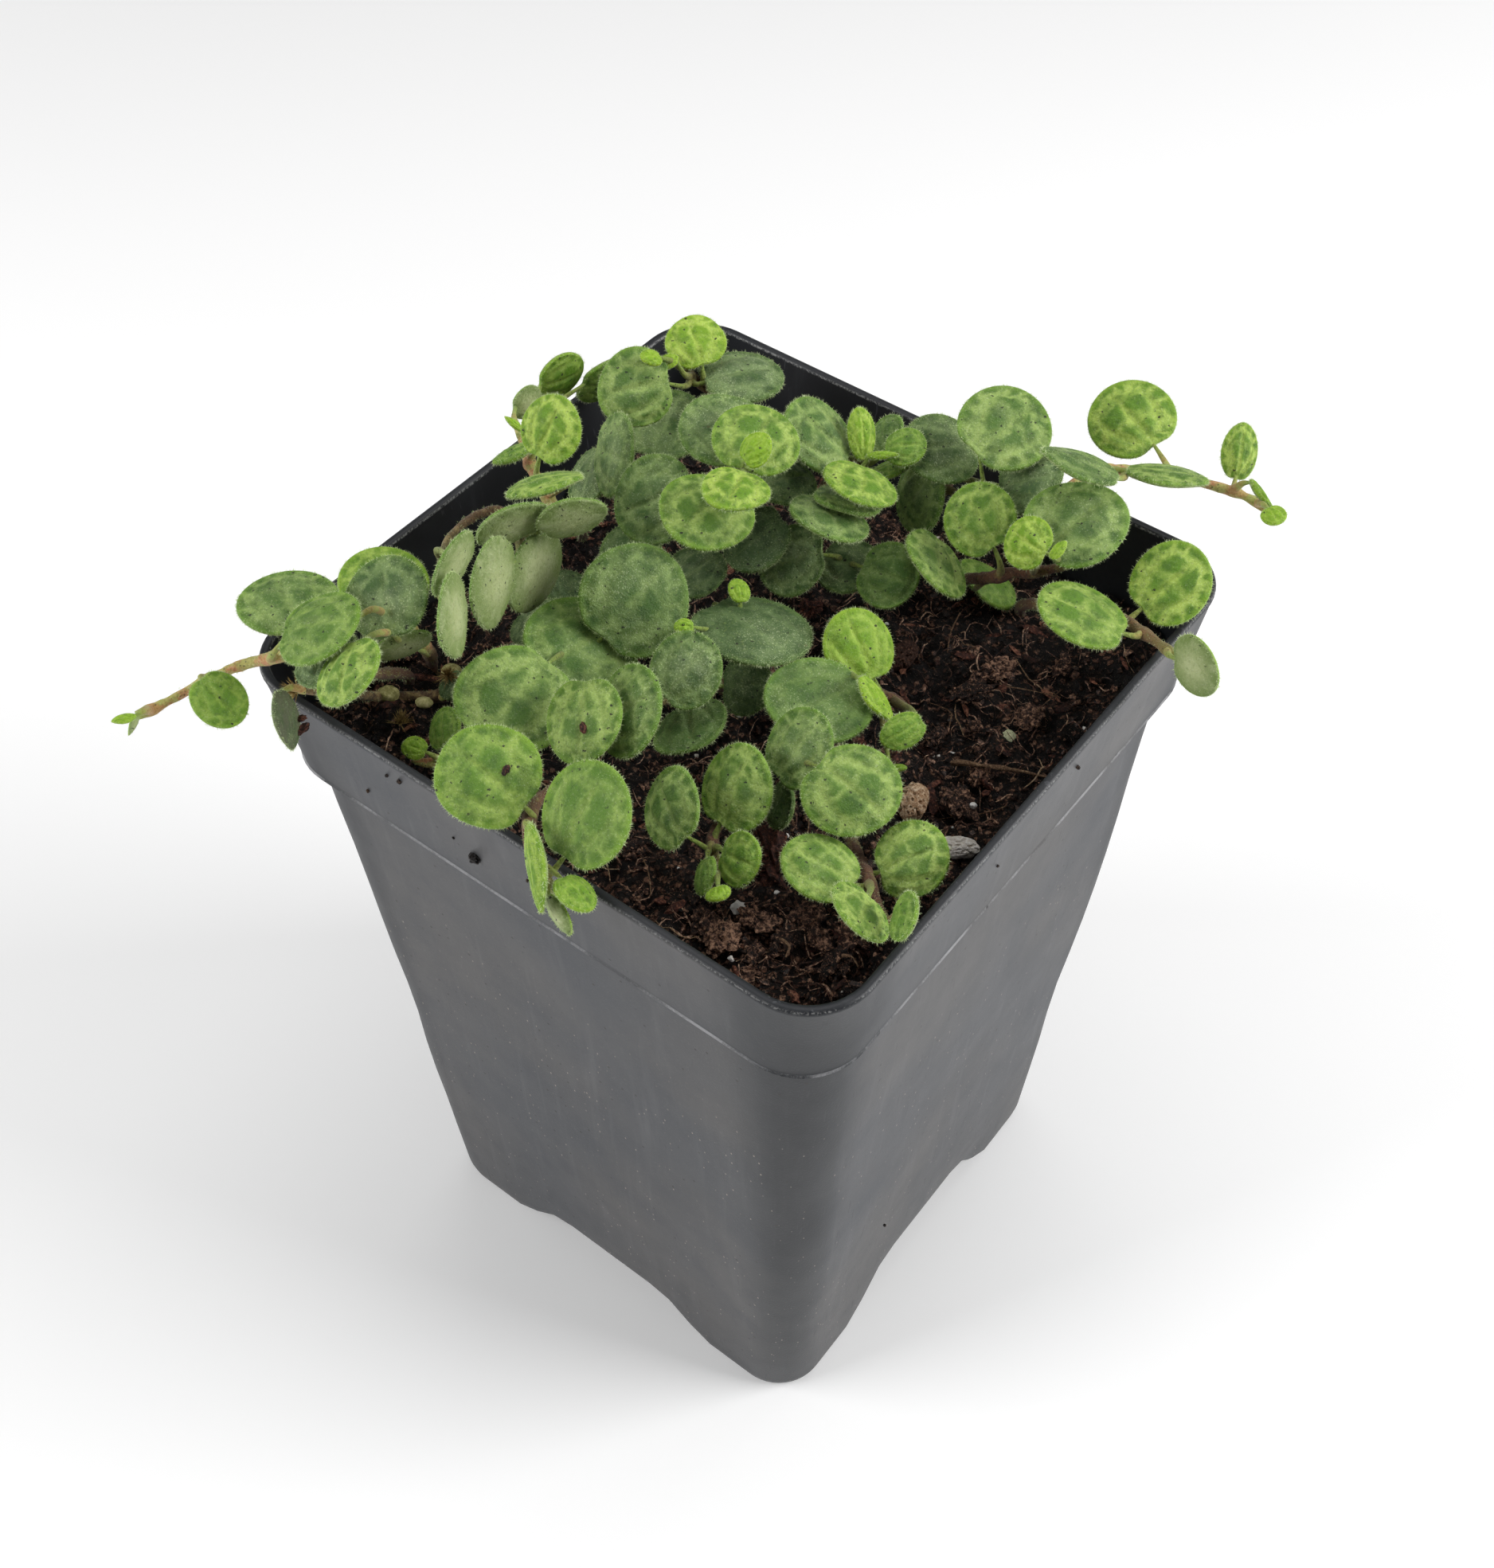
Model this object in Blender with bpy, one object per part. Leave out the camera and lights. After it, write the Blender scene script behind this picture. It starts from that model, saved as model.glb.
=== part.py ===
"""Potted string of turtles: a creeping plant with round leaves in a square nursery pot, in metres, +Z up.

The origin is the middle of the pot's underside. Every leafy stem is one solid: its stem, leaf stalks
and blades are joined. Leaves and stems are placed by a plan, as someone who stands in front of the pot
sees them: ACROSS to the right, AWAY from the viewer, and LIFT above the rim, in millimetres.
"""
import math

import bmesh
import bpy
import numpy as np
from mathutils import Matrix, Vector

MM = 0.001

# The pot, in millimetres.
RIM_HALF = 44.5
POT_HEIGHT = 123.3
COLLAR_TALL = 16.5
COLLAR_FOOT_HALF = 42.7
BODY_TOP_HALF = 41.3
BODY_FOOT_HALF = 35.6
RIM_CORNER = 8.7
FOOT_CORNER = 7.4
WALL = 1.2
LIP_ROUND = 0.5
FOOT_ROUND = 3.0
ARCH_SIDE = 9.5
ARCH_FRONT = 6.5
ARCH_FLAT = 9.0
ARCH_END = 19.0
PAD_RADIUS = 9.5
PAD_END = 14.0
DRAIN_RADIUS = 3.5
DRAIN_PLACE = 25.0
FLOOR_RINGS = (0.2, 0.4, 0.55, 0.75, 1.0)

# The soil, in millimetres.
GAP = 0.35
SOIL_DROP = 12.0
SOIL_LUMP = 0.9
HOLE_CLEAR = 0.45
HOLE_DEEP = 9.0
HOLE_PROUD = 2.0

# The viewer of the plan: how far back from the pot's middle, how far above the rim, and the turn.
VIEW_TURN = math.radians(37.61)
EYE_BACK = 168.8
EYE_UP = 165.9

# The plant, in millimetres.
STEM_RADIUS = 0.8
STEM_TAPER = 0.75
STALK_RADIUS = 0.5
STALK_TAPER = 0.6
BASE = 0.53
STALK_END = 0.35
BEND_COST = 4.0
ROOT_DEEP = 6.0
BLADE_SIDES = 10
BLADE_TURN = 0.19
BUD_SIDES = 6
BUD_SPAN = 4.0
RIM_THICK = 0.7
CROWN = 0.3
BELLY = 0.6
BLADE_CLEAR = 0.25
ROUNDNESS = 0.93
NOTCH = 0.10
NOTCH_TURN = 0.4
POINT = 0.12
POINT_TURN = 0.5
LOW_EDGE = 0.95
HALF_BLADE = RIM_THICK / 2 + (CROWN + BELLY) / 2

# How blades and stems are kept apart, in millimetres, or as shares where no length is meant.
NEARLY = 1.1
HARDLY = (0.7, 0.6, 0.5)
ROUNDS = 30
SPARE_REACH = 1.04
PAIR_SHARE = 0.4
STEM_SHARE = 0.5
MOST_SHORT = 2.0
MOST_PUSH = 1.2
MOST_CLIMB = 1.5
OVER_SOIL = 0.6
OVER_LIP = 0.4
LIP_MARGIN = 1.5
LEAF_MARGIN = 0.15
STEM_MARGIN = 0.4
STEM_WIDE_MARGIN = 1.0
OVER_FIRST = 12.0
FOLLOW = 0.9
STEM_BEHIND = 2.5
STEM_NEAR = 9.0
STEM_FIXED = 3
EASE_KERNEL = (1, 2, 3, 2, 1)
KNEE_SHARE = 0.6
KNEE_BOWS = (0.0, 0.25, 0.5)
KNEE_ROOM = 1.2
KNEE_COST = 0.15
FOLD_LIMIT = 0.3
FOLD_COST = 0.8

# Each vine: its route, as (across, away, lift), and its leaves, as
# (across, away, lift, span, squash, lie, side, slim, age).
# span is the long axis as seen, in mm. squash is the short axis over the long one. lie is the long axis'
# slope, in degrees. side is TOP, or UNDER where the viewer sees the leaf's underside; TOP_DOWN leans away
# at its lower edge. slim is the blade's own width over its length. age runs from 0, a bud, to 1, old.
TOP, UNDER, TOP_DOWN, UNDER_UP = "top", "under", "top down", "under up"

VINES = {
    "vine_left_trailer": (
        [(-40.5, -11.5, -11), (-44.5, -10.5, -8), (-50, -8.5, -2), (-55, -7.5, 3), (-58.5, -8.3, 4),
         (-62, -10, 4.5),
         (-66.5, -13.5, 4), (-70, -16.4, 3.5), (-71.5, -17.3, 3.5)],
        [(-57, 2.5, 6, 12.8, 0.66, 8, TOP, 1, 0.6),
         (-51.6, -2.2, 9, 11.8, 0.64, 38, TOP, 1, 0.5),
         (-62, -15, 5, 7.4, 0.88, -50, TOP, 0.95, 0.3),
         (-73, -17.8, 3.5, 3.0, 0.45, 12, TOP, 0.5, 0.05),
         (-71.6, -18.8, 3.2, 3.0, 0.35, 68, UNDER, 0.4, 0.1)]),
    "vine_left_inner": (
        [(-38, -8, -11), (-40, -5, -8), (-43, -2, -5), (-45, 1, -2.5), (-46, 3, -1)],
        [(-45.6, 6, 0, 11.6, 0.8, 0, TOP, 1, 0.3),
         (-44.8, 3.2, 4, 11.3, 0.9, 60, TOP, 1, 0.8),
         (-47.7, -11, 1, 9.9, 0.62, 52, TOP, 1, 0.4),
         (-42, -5.4, -2, 7.6, 0.45, 18, UNDER, 1, 0.5),
         (-50.8, -8.8, -3, 9.0, 0.6, 40, TOP, 1, 0.85)]),
    "old_runner": (
        [(-31.5, -13, -11), (-36, -14, -10.2), (-43, -14.2, -9.6), (-47, -13.8, -4.4), (-50.5, -13.2, 1.4),
         (-54.5, -13, 3)],
        [(-53.6, -18.3, 1.2, 7.4, 0.45, -78, TOP_DOWN, 0.6, 0.95),
         (-35, -12.2, -8.6, 4.2, 0.7, 60, TOP, 0.8, 0.9)]),
    "sprout_left": (
        [(-31, -24.5, -11), (-34.5, -24.6, -10.2), (-37, -24.6, -9.5), (-38.3, -24, -8.8)],
        [(-38.4, -22.3, -7.5, 3.3, 0.92, 0, TOP, 1, 0.15),
         (-35.2, -19, -8, 5.8, 0.7, 75, TOP, 1, 0.4)]),
    "vine_bent_back": (
        [(-28, 10, -11), (-28.6, 12.6, -6), (-29.8, 15.8, 0), (-32, 18.5, 4), (-35, 17.5, 6),
         (-38, 13, 6.5), (-38.3, 6, 6)],
        [(-30.5, 17, 8, 10.6, 0.48, 22, UNDER, 1, 0.6),
         (-22, 18, 6, 9.7, 0.54, 15, UNDER, 1, 0.6),
         (-37.6, 9, 6, 9.6, 0.42, 60, UNDER, 1, 0.6),
         (-36.5, -1.4, 6, 11.4, 0.37, 88, UNDER, 1, 0.6),
         (-32, 4.6, 5, 12.2, 0.48, 79, UNDER, 1, 0.6),
         (-26.8, 6.4, 2, 11.4, 0.56, 68, UNDER, 1, 0.65)]),
    "vine_back_left": (
        [(-21, 13.5, -11), (-23.4, 17, -7), (-26, 21.5, -2), (-28, 26, 3), (-29.2, 30, 7),
         (-30, 33, 9), (-30.6, 34.6, 10)],
        [(-26.2, 36, 12, 9.8, 0.86, 82, TOP, 1, 0.25),
         (-31.6, 29.6, 8, 6.4, 0.36, 25, TOP, 0.8, 0.4),
         (-27.6, 24, 6, 11.2, 0.27, 14, TOP, 0.9, 0.4),
         (-25.4, 46.4, 6, 8.4, 0.62, 45, TOP_DOWN, 1, 0.3),
         (-18.8, 45.6, 4, 9.6, 0.5, 32, TOP_DOWN, 1, 0.45),
         (-29.8, 41, 8, 5.2, 0.75, 50, UNDER, 1, 0.4),
         (-31.6, 36.4, 10.4, 3.2, 0.4, -40, TOP, 0.45, 0.05)]),
    "vine_back_mid": (
        [(-14, 17, -11), (-15.5, 21, -7), (-17.5, 25.5, -2), (-19, 30, 2), (-18, 34, 4)],
        [(-17.3, 29.4, 5, 11.6, 0.5, 82, TOP, 1, 0.7),
         (-20.6, 25, 0, 9.0, 0.6, 60, TOP, 1, 0.85),
         (-11, 36.5, 1, 12.4, 0.8, 10, TOP, 1, 0.75)]),
    "vine_back_top": (
        [(-3, 33, -11), (-3, 37.5, -6), (-4.6, 42.5, 0), (-7.5, 46.5, 5), (-9.6, 49.4, 8)],
        [(-7.3, 55, 10, 8.9, 0.88, 5, TOP, 1, 0.15),
         (-13.6, 50.6, 11, 3.4, 0.75, -20, TOP, 1, 0.05),
         (-11.2, 49.8, 11.4, 3.2, 0.75, 20, TOP, 1, 0.05),
         (-15.6, 43.8, 9, 11.3, 0.95, 70, TOP, 1, 0.55),
         (0, 47.2, 6, 12.6, 0.58, -4, TOP, 1, 0.85)]),
    "vine_top": (
        [(0.5, 19.5, -11), (0.2, 20.6, -5), (-0.2, 22.2, 2), (-0.6, 24.6, 8), (-0.8, 27, 11)],
        [(1.6, 31.2, 14, 5.2, 0.86, 60, TOP, 1, 0.08),
         (1.6, 34, 11, 12.4, 0.8, -10, TOP, 1, 0.4),
         (-3.2, 36, 7, 13.2, 0.76, -4, TOP, 1, 0.75),
         (-1.6, 22.4, 13, 9.3, 0.66, -8, TOP, 1, 0.25),
         (-5.6, 18, 10, 12.8, 0.8, -14, TOP, 1, 0.45),
         (-12.2, 20.4, 7, 12.2, 0.92, 60, TOP, 1, 0.7),
         (5.4, 24.8, 4, 9.4, 0.7, -20, TOP, 1, 0.85)]),
    "vine_back_right_bud": (
        [(9, 17, -11), (9.4, 20.4, -6), (10.8, 24.8, 0), (12.8, 27.3, 5), (15.2, 29, 8)],
        [(9.4, 34.6, 7, 11.8, 0.72, -52, TOP, 1, 0.6),
         (15.6, 34.6, 11, 7.4, 0.55, 95, TOP, 0.62, 0.15),
         (18.6, 29.8, 11.5, 4.4, 0.3, 4, TOP, 0.4, 0.1),
         (18.8, 34.4, 6, 6.4, 0.7, 60, TOP, 1, 0.6),
         (21.6, 31.4, 8, 6.2, 0.85, 20, TOP, 1, 0.3),
         (19.8, 27.4, 6, 6.6, 0.4, 20, TOP, 0.8, 0.4),
         (15, 23.4, 10, 10.6, 0.52, -24, TOP, 1, 0.3),
         (13.6, 20.2, 5, 9.6, 0.42, -14, TOP, 1, 0.6),
         (11, 16.6, 3, 11.2, 0.5, -22, TOP, 1, 0.65)]),
    "vine_back_right": (
        [(22, 12, -11), (23.6, 17, -6), (26, 23, 0), (29, 28, 5), (32, 31.4, 8)],
        [(35.6, 36, 11, 13.2, 0.88, -20, TOP, 1, 0.55),
         (25.6, 31, 6, 11.2, 0.82, -30, TOP, 1, 0.8),
         (22.2, 21.2, 5, 10.7, 0.62, 84, TOP, 1, 0.65),
         (37.6, 24.4, 1, 10.4, 0.75, 40, TOP, 1, 0.85)]),
    "vine_right_trailer": (
        [(33, 9, -11), (34.5, 11, -8), (37, 15.5, -3.5), (40.5, 21, 2), (45.5, 25.8, 6.5),
         (50, 26.5, 9), (56, 25.4, 9),
         (61.5, 23.4, 9), (65, 21.4, 8.6), (67.6, 18.8, 8)],
        [(52, 38, 11, 12.3, 0.88, 10, TOP, 1, 0.3),
         (43.4, 28.4, 10, 11.6, 0.34, -22, TOP, 0.9, 0.65),
         (56.6, 25.6, 10.5, 11.4, 0.28, -8, TOP, 0.9, 0.5),
         (66, 30.8, 9.5, 7.8, 0.64, 84, TOP, 0.7, 0.3),
         (67.4, 21.4, 9, 4.6, 0.2, -52, TOP, 0.35, 0.2),
         (68.2, 17.4, 8, 3.4, 0.85, 0, TOP, 1, 0.1)]),
    "vine_right": (
        [(27, 4.6, -11), (30, 6, -9.6), (34, 7, -8.4), (38, 7.5, -6), (40.6, 8.6, -2), (41, 10.2, 2)],
        [(43, 17, 6, 13.6, 0.86, 6, TOP, 1, 0.6),
         (30, 17.4, 5, 10.0, 0.94, 80, TOP, 1, 0.4),
         (35.6, 12.8, 8, 7.1, 0.9, 70, TOP, 1, 0.2),
         (39.8, 11.4, 8.6, 3.0, 0.6, 50, TOP, 0.7, 0.08),
         (30.4, 5.4, -3, 9.4, 0.5, -38, TOP, 1, 0.45)]),
    "vine_right_corner": (
        [(34, 0.5, -11), (37.5, 1.2, -8.6), (41, 2, -6.4), (45, 0, -3), (48.4, -3.6, 0.6),
         (51, -6.6, 2.8), (51.8, -7.8, 3)],
        [(53.4, 5.4, 5, 11.1, 0.92, 60, TOP, 1, 0.25),
         (41, 0, 1, 12.2, 0.62, -27, TOP, 1, 0.4),
         (54.4, -9.2, 3.4, 8.0, 0.68, -66, UNDER, 1, 0.25)]),
    "vine_centre_right": (
        [(19, 4, -11), (17, 6, -9), (13, 8.4, -6.5), (8, 10.5, -4), (3, 12, -2)],
        [(24, 8, 1, 10.8, 0.5, -52, TOP, 1, 0.5),
         (18, 6.4, -1, 8.8, 0.92, 60, TOP, 1, 0.6),
         (13.2, 8, -4, 9.0, 0.8, 10, TOP, 1, 0.85),
         (5.6, 9.2, -1, 9.8, 0.88, 50, TOP, 1, 0.8),
         (1, 12.8, 2, 9.8, 0.8, 40, TOP, 1, 0.9)]),
    "vine_centre": (
        [(-11, -3, -11), (-14, -1, -8), (-17, -1.4, -6), (-20, -6, -5.5), (-23, -10, -5)],
        [(-13.6, 2.4, 4, 14.6, 0.96, 90, TOP, 1, 0.7),
         (-20.4, -5.6, 3, 14.4, 0.78, -20, TOP, 1, 0.6),
         (-27.6, -14.8, 3, 14.4, 0.9, -10, TOP, 1, 0.55),
         (-14.6, 12, 0, 8.4, 0.85, 30, TOP, 1, 0.8),
         (-6.2, 7.4, -2, 8.6, 0.8, 20, TOP, 1, 0.9),
         (-21.6, 3.6, -4, 8.4, 0.7, -35, TOP, 1, 0.9),
         (-26, -1.6, -4, 8.4, 0.5, 38, TOP, 1, 0.9)]),
    "vine_folded": (
        [(2, -9, -11), (0.5, -6, -9.4), (-1.4, -2, -7.4), (-3, 1.6, -5)],
        [(1.2, -3.4, 1, 15.6, 0.56, -8, TOP, 1, 0.8),
         (-0.9, 4, 2.6, 3.4, 0.85, -60, TOP, 1, 0.1),
         (-7.7, -2.6, 2.4, 2.6, 0.9, 0, TOP, 1, 0.12)]),
    "vine_front_centre": (
        [(-3, -13, -11), (-6, -13.6, -9.4), (-10, -15, -7.6), (-14, -17, -6), (-17, -19, -5)],
        [(-7, -9.6, 0, 9.8, 0.92, 70, TOP, 1, 0.75),
         (0.2, -12.4, -3, 7.8, 0.85, 80, TOP, 1, 0.85),
         (-13.4, -16.2, 2, 11.6, 0.68, 78, TOP, 1, 0.6),
         (-19, -18.6, 5, 11.0, 0.82, 70, TOP, 1, 0.5),
         (-6.4, -19.4, -3, 9.8, 0.62, 30, TOP, 1, 0.75)]),
    "vine_front_left": (
        [(-18.5, -27, -11), (-20.8, -28, -8), (-23, -29.6, -4), (-24, -31.4, 0.6), (-24.2, -34.2, 3),
         (-23.8, -37.4, 2.6),
         (-22, -41, 0.8), (-19.6, -44.6, -1)],
        [(-29.6, -26.4, 5, 12.6, 0.98, 0, TOP, 1, 0.4),
         (-17.8, -31.6, 4, 13.0, 0.8, 80, TOP, 1, 0.4),
         (-23, -40.8, 4, 10.2, 0.24, -82, TOP, 0.5, 0.25),
         (-19.8, -46.6, 0.6, 5.2, 0.4, -60, UNDER, 0.6, 0.2),
         (-18.2, -43.6, 1.4, 5.4, 0.72, -35, TOP, 1, 0.25)]),
    "vine_front_mid": (
        [(1, -29, -11), (-1.6, -31.4, -9.2), (-3.4, -34.6, -8), (-3.6, -38, -7.6), (-2.6, -41, -8)],
        [(-8.6, -31, -2, 9.8, 0.68, 84, TOP, 1, 0.5),
         (-1, -28, -2, 10.7, 0.8, 82, TOP, 1, 0.4),
         (-0.6, -38.8, -5, 6.6, 0.78, 80, TOP, 1, 0.35),
         (-4.6, -41.4, -6.4, 4.8, 0.55, 75, TOP, 1, 0.45),
         (-3, -43.6, -6.4, 3.0, 0.7, 20, TOP, 1, 0.1)]),
    "vine_front_right": (
        [(18, -17, -11), (16, -14, -9), (13, -11, -6.6), (9, -10.6, -4.4)],
        [(13.6, -5.6, 1, 9.8, 0.9, -65, TOP, 1, 0.2),
         (8.2, -15.2, -1, 13.4, 0.78, -12, TOP, 1, 0.65),
         (15.6, -15, -2, 6.8, 0.4, -55, TOP, 0.7, 0.1),
         (18.2, -19.8, -4, 5.8, 0.72, 28, TOP, 0.75, 0.3),
         (17.6, -25.4, -9, 2.4, 0.5, 5, TOP, 0.8, 0.2)]),
    "vine_front_low": (
        [(14, -24, -11), (11.6, -24.4, -9.4), (8, -25, -8), (4.6, -27, -7.6)],
        [(6.4, -22, 1, 10.0, 0.82, 68, TOP, 1, 0.6),
         (12.2, -29, 1, 11.8, 0.92, 0, TOP, 1, 0.5),
         (3.6, -31.4, -7, 6.0, 0.6, 80, TOP, 1, 0.8)]),
    "vine_front_corner": (
        [(11.6, -36.6, -11), (12.6, -39.2, -9.6), (13.4, -42, -8.8), (14.6, -46, -8.4), (15.6, -49, -8.4)],
        [(8, -39.4, -3.6, 9.6, 0.8, -30, TOP, 1, 0.45),
         (18.4, -38.6, -3, 9.4, 0.92, 60, TOP, 1, 0.35),
         (12.2, -46.2, -5.6, 8.2, 0.55, -48, TOP, 1, 0.35),
         (17.2, -46.4, -5.6, 5.8, 0.55, 72, TOP, 1, 0.35)]),
}

# Loose lumps on the soil: (across, away, lift) as seen, half sizes, turn in degrees.
LUMPS = {
    "pumice_stone": ((18.9, -30.4, -10.6), (1.9, 2.7, 1.7), 20),
    "pitted_chunk": ((19.0, -7.4, -10.8), (1.7, 2.6, 1.4), 10),
    "perlite_lump": ((23.4, -37.0, -10.9), (2.7, 1.4, 1.2), 35),
    "perlite_grain": ((30.3, -20.8, -11.2), (1.1, 1.2, 0.9), 0),
}

COLOURS = {
    "pot": ((0.045, 0.046, 0.050, 1), 0.42),
    "soil": ((0.035, 0.022, 0.016, 1), 0.95),
    "leaf": ((0.16, 0.30, 0.07, 1), 0.5),
    "old": ((0.24, 0.20, 0.10, 1), 0.7),
    "pumice": ((0.45, 0.34, 0.24, 1), 0.9),
    "perlite": ((0.75, 0.73, 0.68, 1), 0.9),
}


def unit(vectors):
    return vectors / np.linalg.norm(vectors, axis=-1, keepdims=True)


def world(plan):
    """Turns plan points (across, away, lift) in mm into points of the model in mm."""
    plan = np.asarray(plan, float)
    cos, sin = math.cos(VIEW_TURN), math.sin(VIEW_TURN)
    x = plan[..., 0] * cos - plan[..., 1] * sin
    y = plan[..., 0] * sin + plan[..., 1] * cos
    return np.stack([x, y, plan[..., 2] + POT_HEIGHT], -1)


EYE = world((0, -EYE_BACK, EYE_UP))


def place(seen):
    """A point seen on the rim's plane at (across, away) slides along its line of sight up to its lift."""
    seen = np.asarray(seen, float)
    on_rim = world(seen * (1, 1, 0))
    return on_rim + (EYE - on_rim) * (seen[..., 2:] / EYE_UP)


def smooth(points, per_leg=4):
    """A Catmull-Rom curve through the points, with per_leg steps between each two."""
    points = np.asarray(points, float)
    ends = np.vstack([2 * points[0] - points[1], points, 2 * points[-1] - points[-2]])
    t = np.arange(per_leg)[:, None] / per_leg
    legs = []
    for a, b, c, d in zip(ends, ends[1:], ends[2:], ends[3:]):
        slope, bend, twist = c - a, 2 * a - 5 * b + 4 * c - d, 3 * b - a - 3 * c + d
        legs.append(0.5 * (2 * b + slope * t + bend * t**2 + twist * t**3))
    return np.vstack([*legs, points[-1:]])


def evenly(path, per_leg=4):
    """Points evenly along each leg of a path."""
    t = np.arange(per_leg)[:, None] / per_leg
    return np.vstack([a + (b - a) * t for a, b in zip(path, path[1:])] + [path[-1:]])


def soil_top(x, y):
    """Height of the soil over the pot's underside: low lumps of three waves, in mm."""
    broad = np.sin(0.31 * x + 1.1) * np.cos(0.27 * y - 0.4)
    fine = 0.6 * np.sin(0.55 * x - 0.47 * y) * np.cos(0.2 * x + 2)
    return POT_HEIGHT - SOIL_DROP + SOIL_LUMP * (broad + fine)


class Leaves:
    """All blades as arrays: each a tilted disc with its centre, axes and half sizes, in mm."""

    def __init__(self):
        rows = [(vine, *leaf) for vine, (_, leaves) in VINES.items() for leaf in leaves]
        self.vine = np.array([row[0] for row in rows])
        seen = np.array([row[1:4] for row in rows], float)
        span, squash, lie = (np.array([row[i] for row in rows], float) for i in (4, 5, 6))
        self.slim = np.array([row[8] for row in rows], float)
        self.age = np.array([row[9] for row in rows], float)
        self.lift = seen[:, 2].copy()
        self.centre = place(seen)
        self.sight = unit(EYE - self.centre)
        right = np.array([math.cos(VIEW_TURN), math.sin(VIEW_TURN), 0])
        right = unit(right - self.sight * (self.sight @ right)[:, None])
        up = np.cross(self.sight, right)
        lie = np.radians(lie)[:, None]
        self.along = np.cos(lie) * right + np.sin(lie) * up
        beside = np.cos(lie) * up - np.sin(lie) * right
        beside *= np.sign(beside @ np.array([0, 0, 1.0]) + 1e-9)[:, None]
        side = [row[7] for row in rows]
        down = np.array([-1.0 if word in (UNDER, TOP_DOWN) else 1.0 for word in side])
        cos = np.clip(squash / self.slim / ROUNDNESS, 0.1, 1)
        self.normal = cos[:, None] * self.sight + (down * np.sqrt(1 - cos**2))[:, None] * beside
        self.shows_top = np.array([word in (TOP, TOP_DOWN) for word in side])
        self.normal[~self.shows_top] *= -1
        self.length = span
        self.width = span * self.slim

    def turn_from(self, stems):
        """Each blade is turned in its plane so that its stalk to its own stem is short and bends little."""
        self.foot = np.empty_like(self.centre)
        side = np.cross(self.normal, self.along)
        for i, vine in enumerate(self.vine):
            stem = stems[vine][3:-1]
            turns = np.radians([0, 180] if self.slim[i] < 1 else np.arange(0, 360, 20))
            tips = np.outer(np.cos(turns), self.along[i]) + np.outer(np.sin(turns), side[i])
            bases = self.centre[i] - tips * self.length[i] * BASE
            feet = stem[np.linalg.norm(stem[None] - bases[:, None] + tips[:, None] * 2, axis=2).argmin(1)]
            reach = bases - feet
            length = np.linalg.norm(reach, axis=1)
            bend = 1 - (reach * tips).sum(1) / length
            best = np.argmin(length + BEND_COST * bend)
            self.tip[i], self.foot[i] = tips[best], feet[best]

    def points(self, reach=1.0):
        """Sample points of each disc, its middle, a ring half way out and its edge, and their shares out."""
        turns = np.radians(np.arange(0, 360, 30))
        rings = [np.zeros((1, 2))]
        for share, step in ((0.55, 2), (1.0, 1)):
            rings.append(share * np.stack([np.cos(turns[::step]), np.sin(turns[::step])], 1))
        disc = np.vstack(rings)
        side = np.cross(self.normal, self.tip)
        x = self.tip[:, None] * (self.length * reach / 2)[:, None, None] * disc[None, :, :1]
        y = side[:, None] * (self.width * reach / 2)[:, None, None] * disc[None, :, 1:]
        return self.centre[:, None] + x + y, np.linalg.norm(disc, axis=1)


def over_disc(leaves, which, points, margin):
    """How far each point lies in front of the disc along the line of sight, and how far out it passes."""
    sight = leaves.sight[which]
    slope = sight @ leaves.normal[which]
    slope = math.copysign(max(abs(slope), 0.3), slope)
    rise = (points - leaves.centre[which]) @ leaves.normal[which] / slope
    hit = points - sight * rise[..., None] - leaves.centre[which]
    x = hit @ leaves.tip[which] / (leaves.length[which] / 2 + margin)
    y = hit @ np.cross(leaves.normal[which], leaves.tip[which]) / (leaves.width[which] / 2 + margin)
    out = np.sqrt(x**2 + y**2)
    return np.where(out < 1, rise, np.nan), out, abs(slope)


def thickness(leaves, which, out, viewer_side):
    """Half a blade's thickness at a share of its radius, on the viewer's side or on the far one."""
    swell = CROWN if leaves.shows_top[which] == viewer_side else BELLY
    return RIM_THICK / 2 + swell * np.clip(1 - out, 0, 1)


def worst(values):
    values = values[~np.isnan(values)]
    return float(values.max()) if values.size else 0.0


def shortfall(leaves, front, back, points, out):
    """How much further apart along the line of sight two blades have to be, the first in front."""
    ahead, share, slope = over_disc(leaves, back, points[front], LEAF_MARGIN)
    thick = thickness(leaves, front, out, False) + thickness(leaves, back, share, True)
    short = worst((thick + BLADE_CLEAR) / slope - ahead)
    behind, share, slope = over_disc(leaves, front, points[back], LEAF_MARGIN)
    thick = thickness(leaves, back, out, True) + thickness(leaves, front, share, False)
    return max(short, worst((thick + BLADE_CLEAR) / slope + behind), 0)


def overlapping_pairs(leaves):
    """Pairs (front, back) of blades that overlap as seen: the one with the higher lift is in front."""
    reach = leaves.length / 2
    pairs = []
    for i in range(len(reach)):
        for j in range(i + 1, len(reach)):
            gap = leaves.centre[i] - leaves.centre[j]
            apart = np.linalg.norm(gap - leaves.sight[i] * (gap @ leaves.sight[i])) / (reach[i] + reach[j])
            if apart < NEARLY:
                pairs.append(((i, j) if leaves.lift[i] > leaves.lift[j] else (j, i), apart))
    return pairs


def swap_cheap_pairs(leaves, hardly):
    """Where two blades hardly overlap, the one in front is whichever is nearer to its place."""
    points, out = leaves.points(SPARE_REACH)
    swapped = []
    for pair, apart in leaves.pairs:
        if apart > hardly:
            cost = shortfall(leaves, *pair, points, out)
            if cost > 0.2 and shortfall(leaves, *pair[::-1], points, out) < cost:
                pair = pair[::-1]
        swapped.append((pair, apart))
    leaves.pairs = swapped


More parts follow.
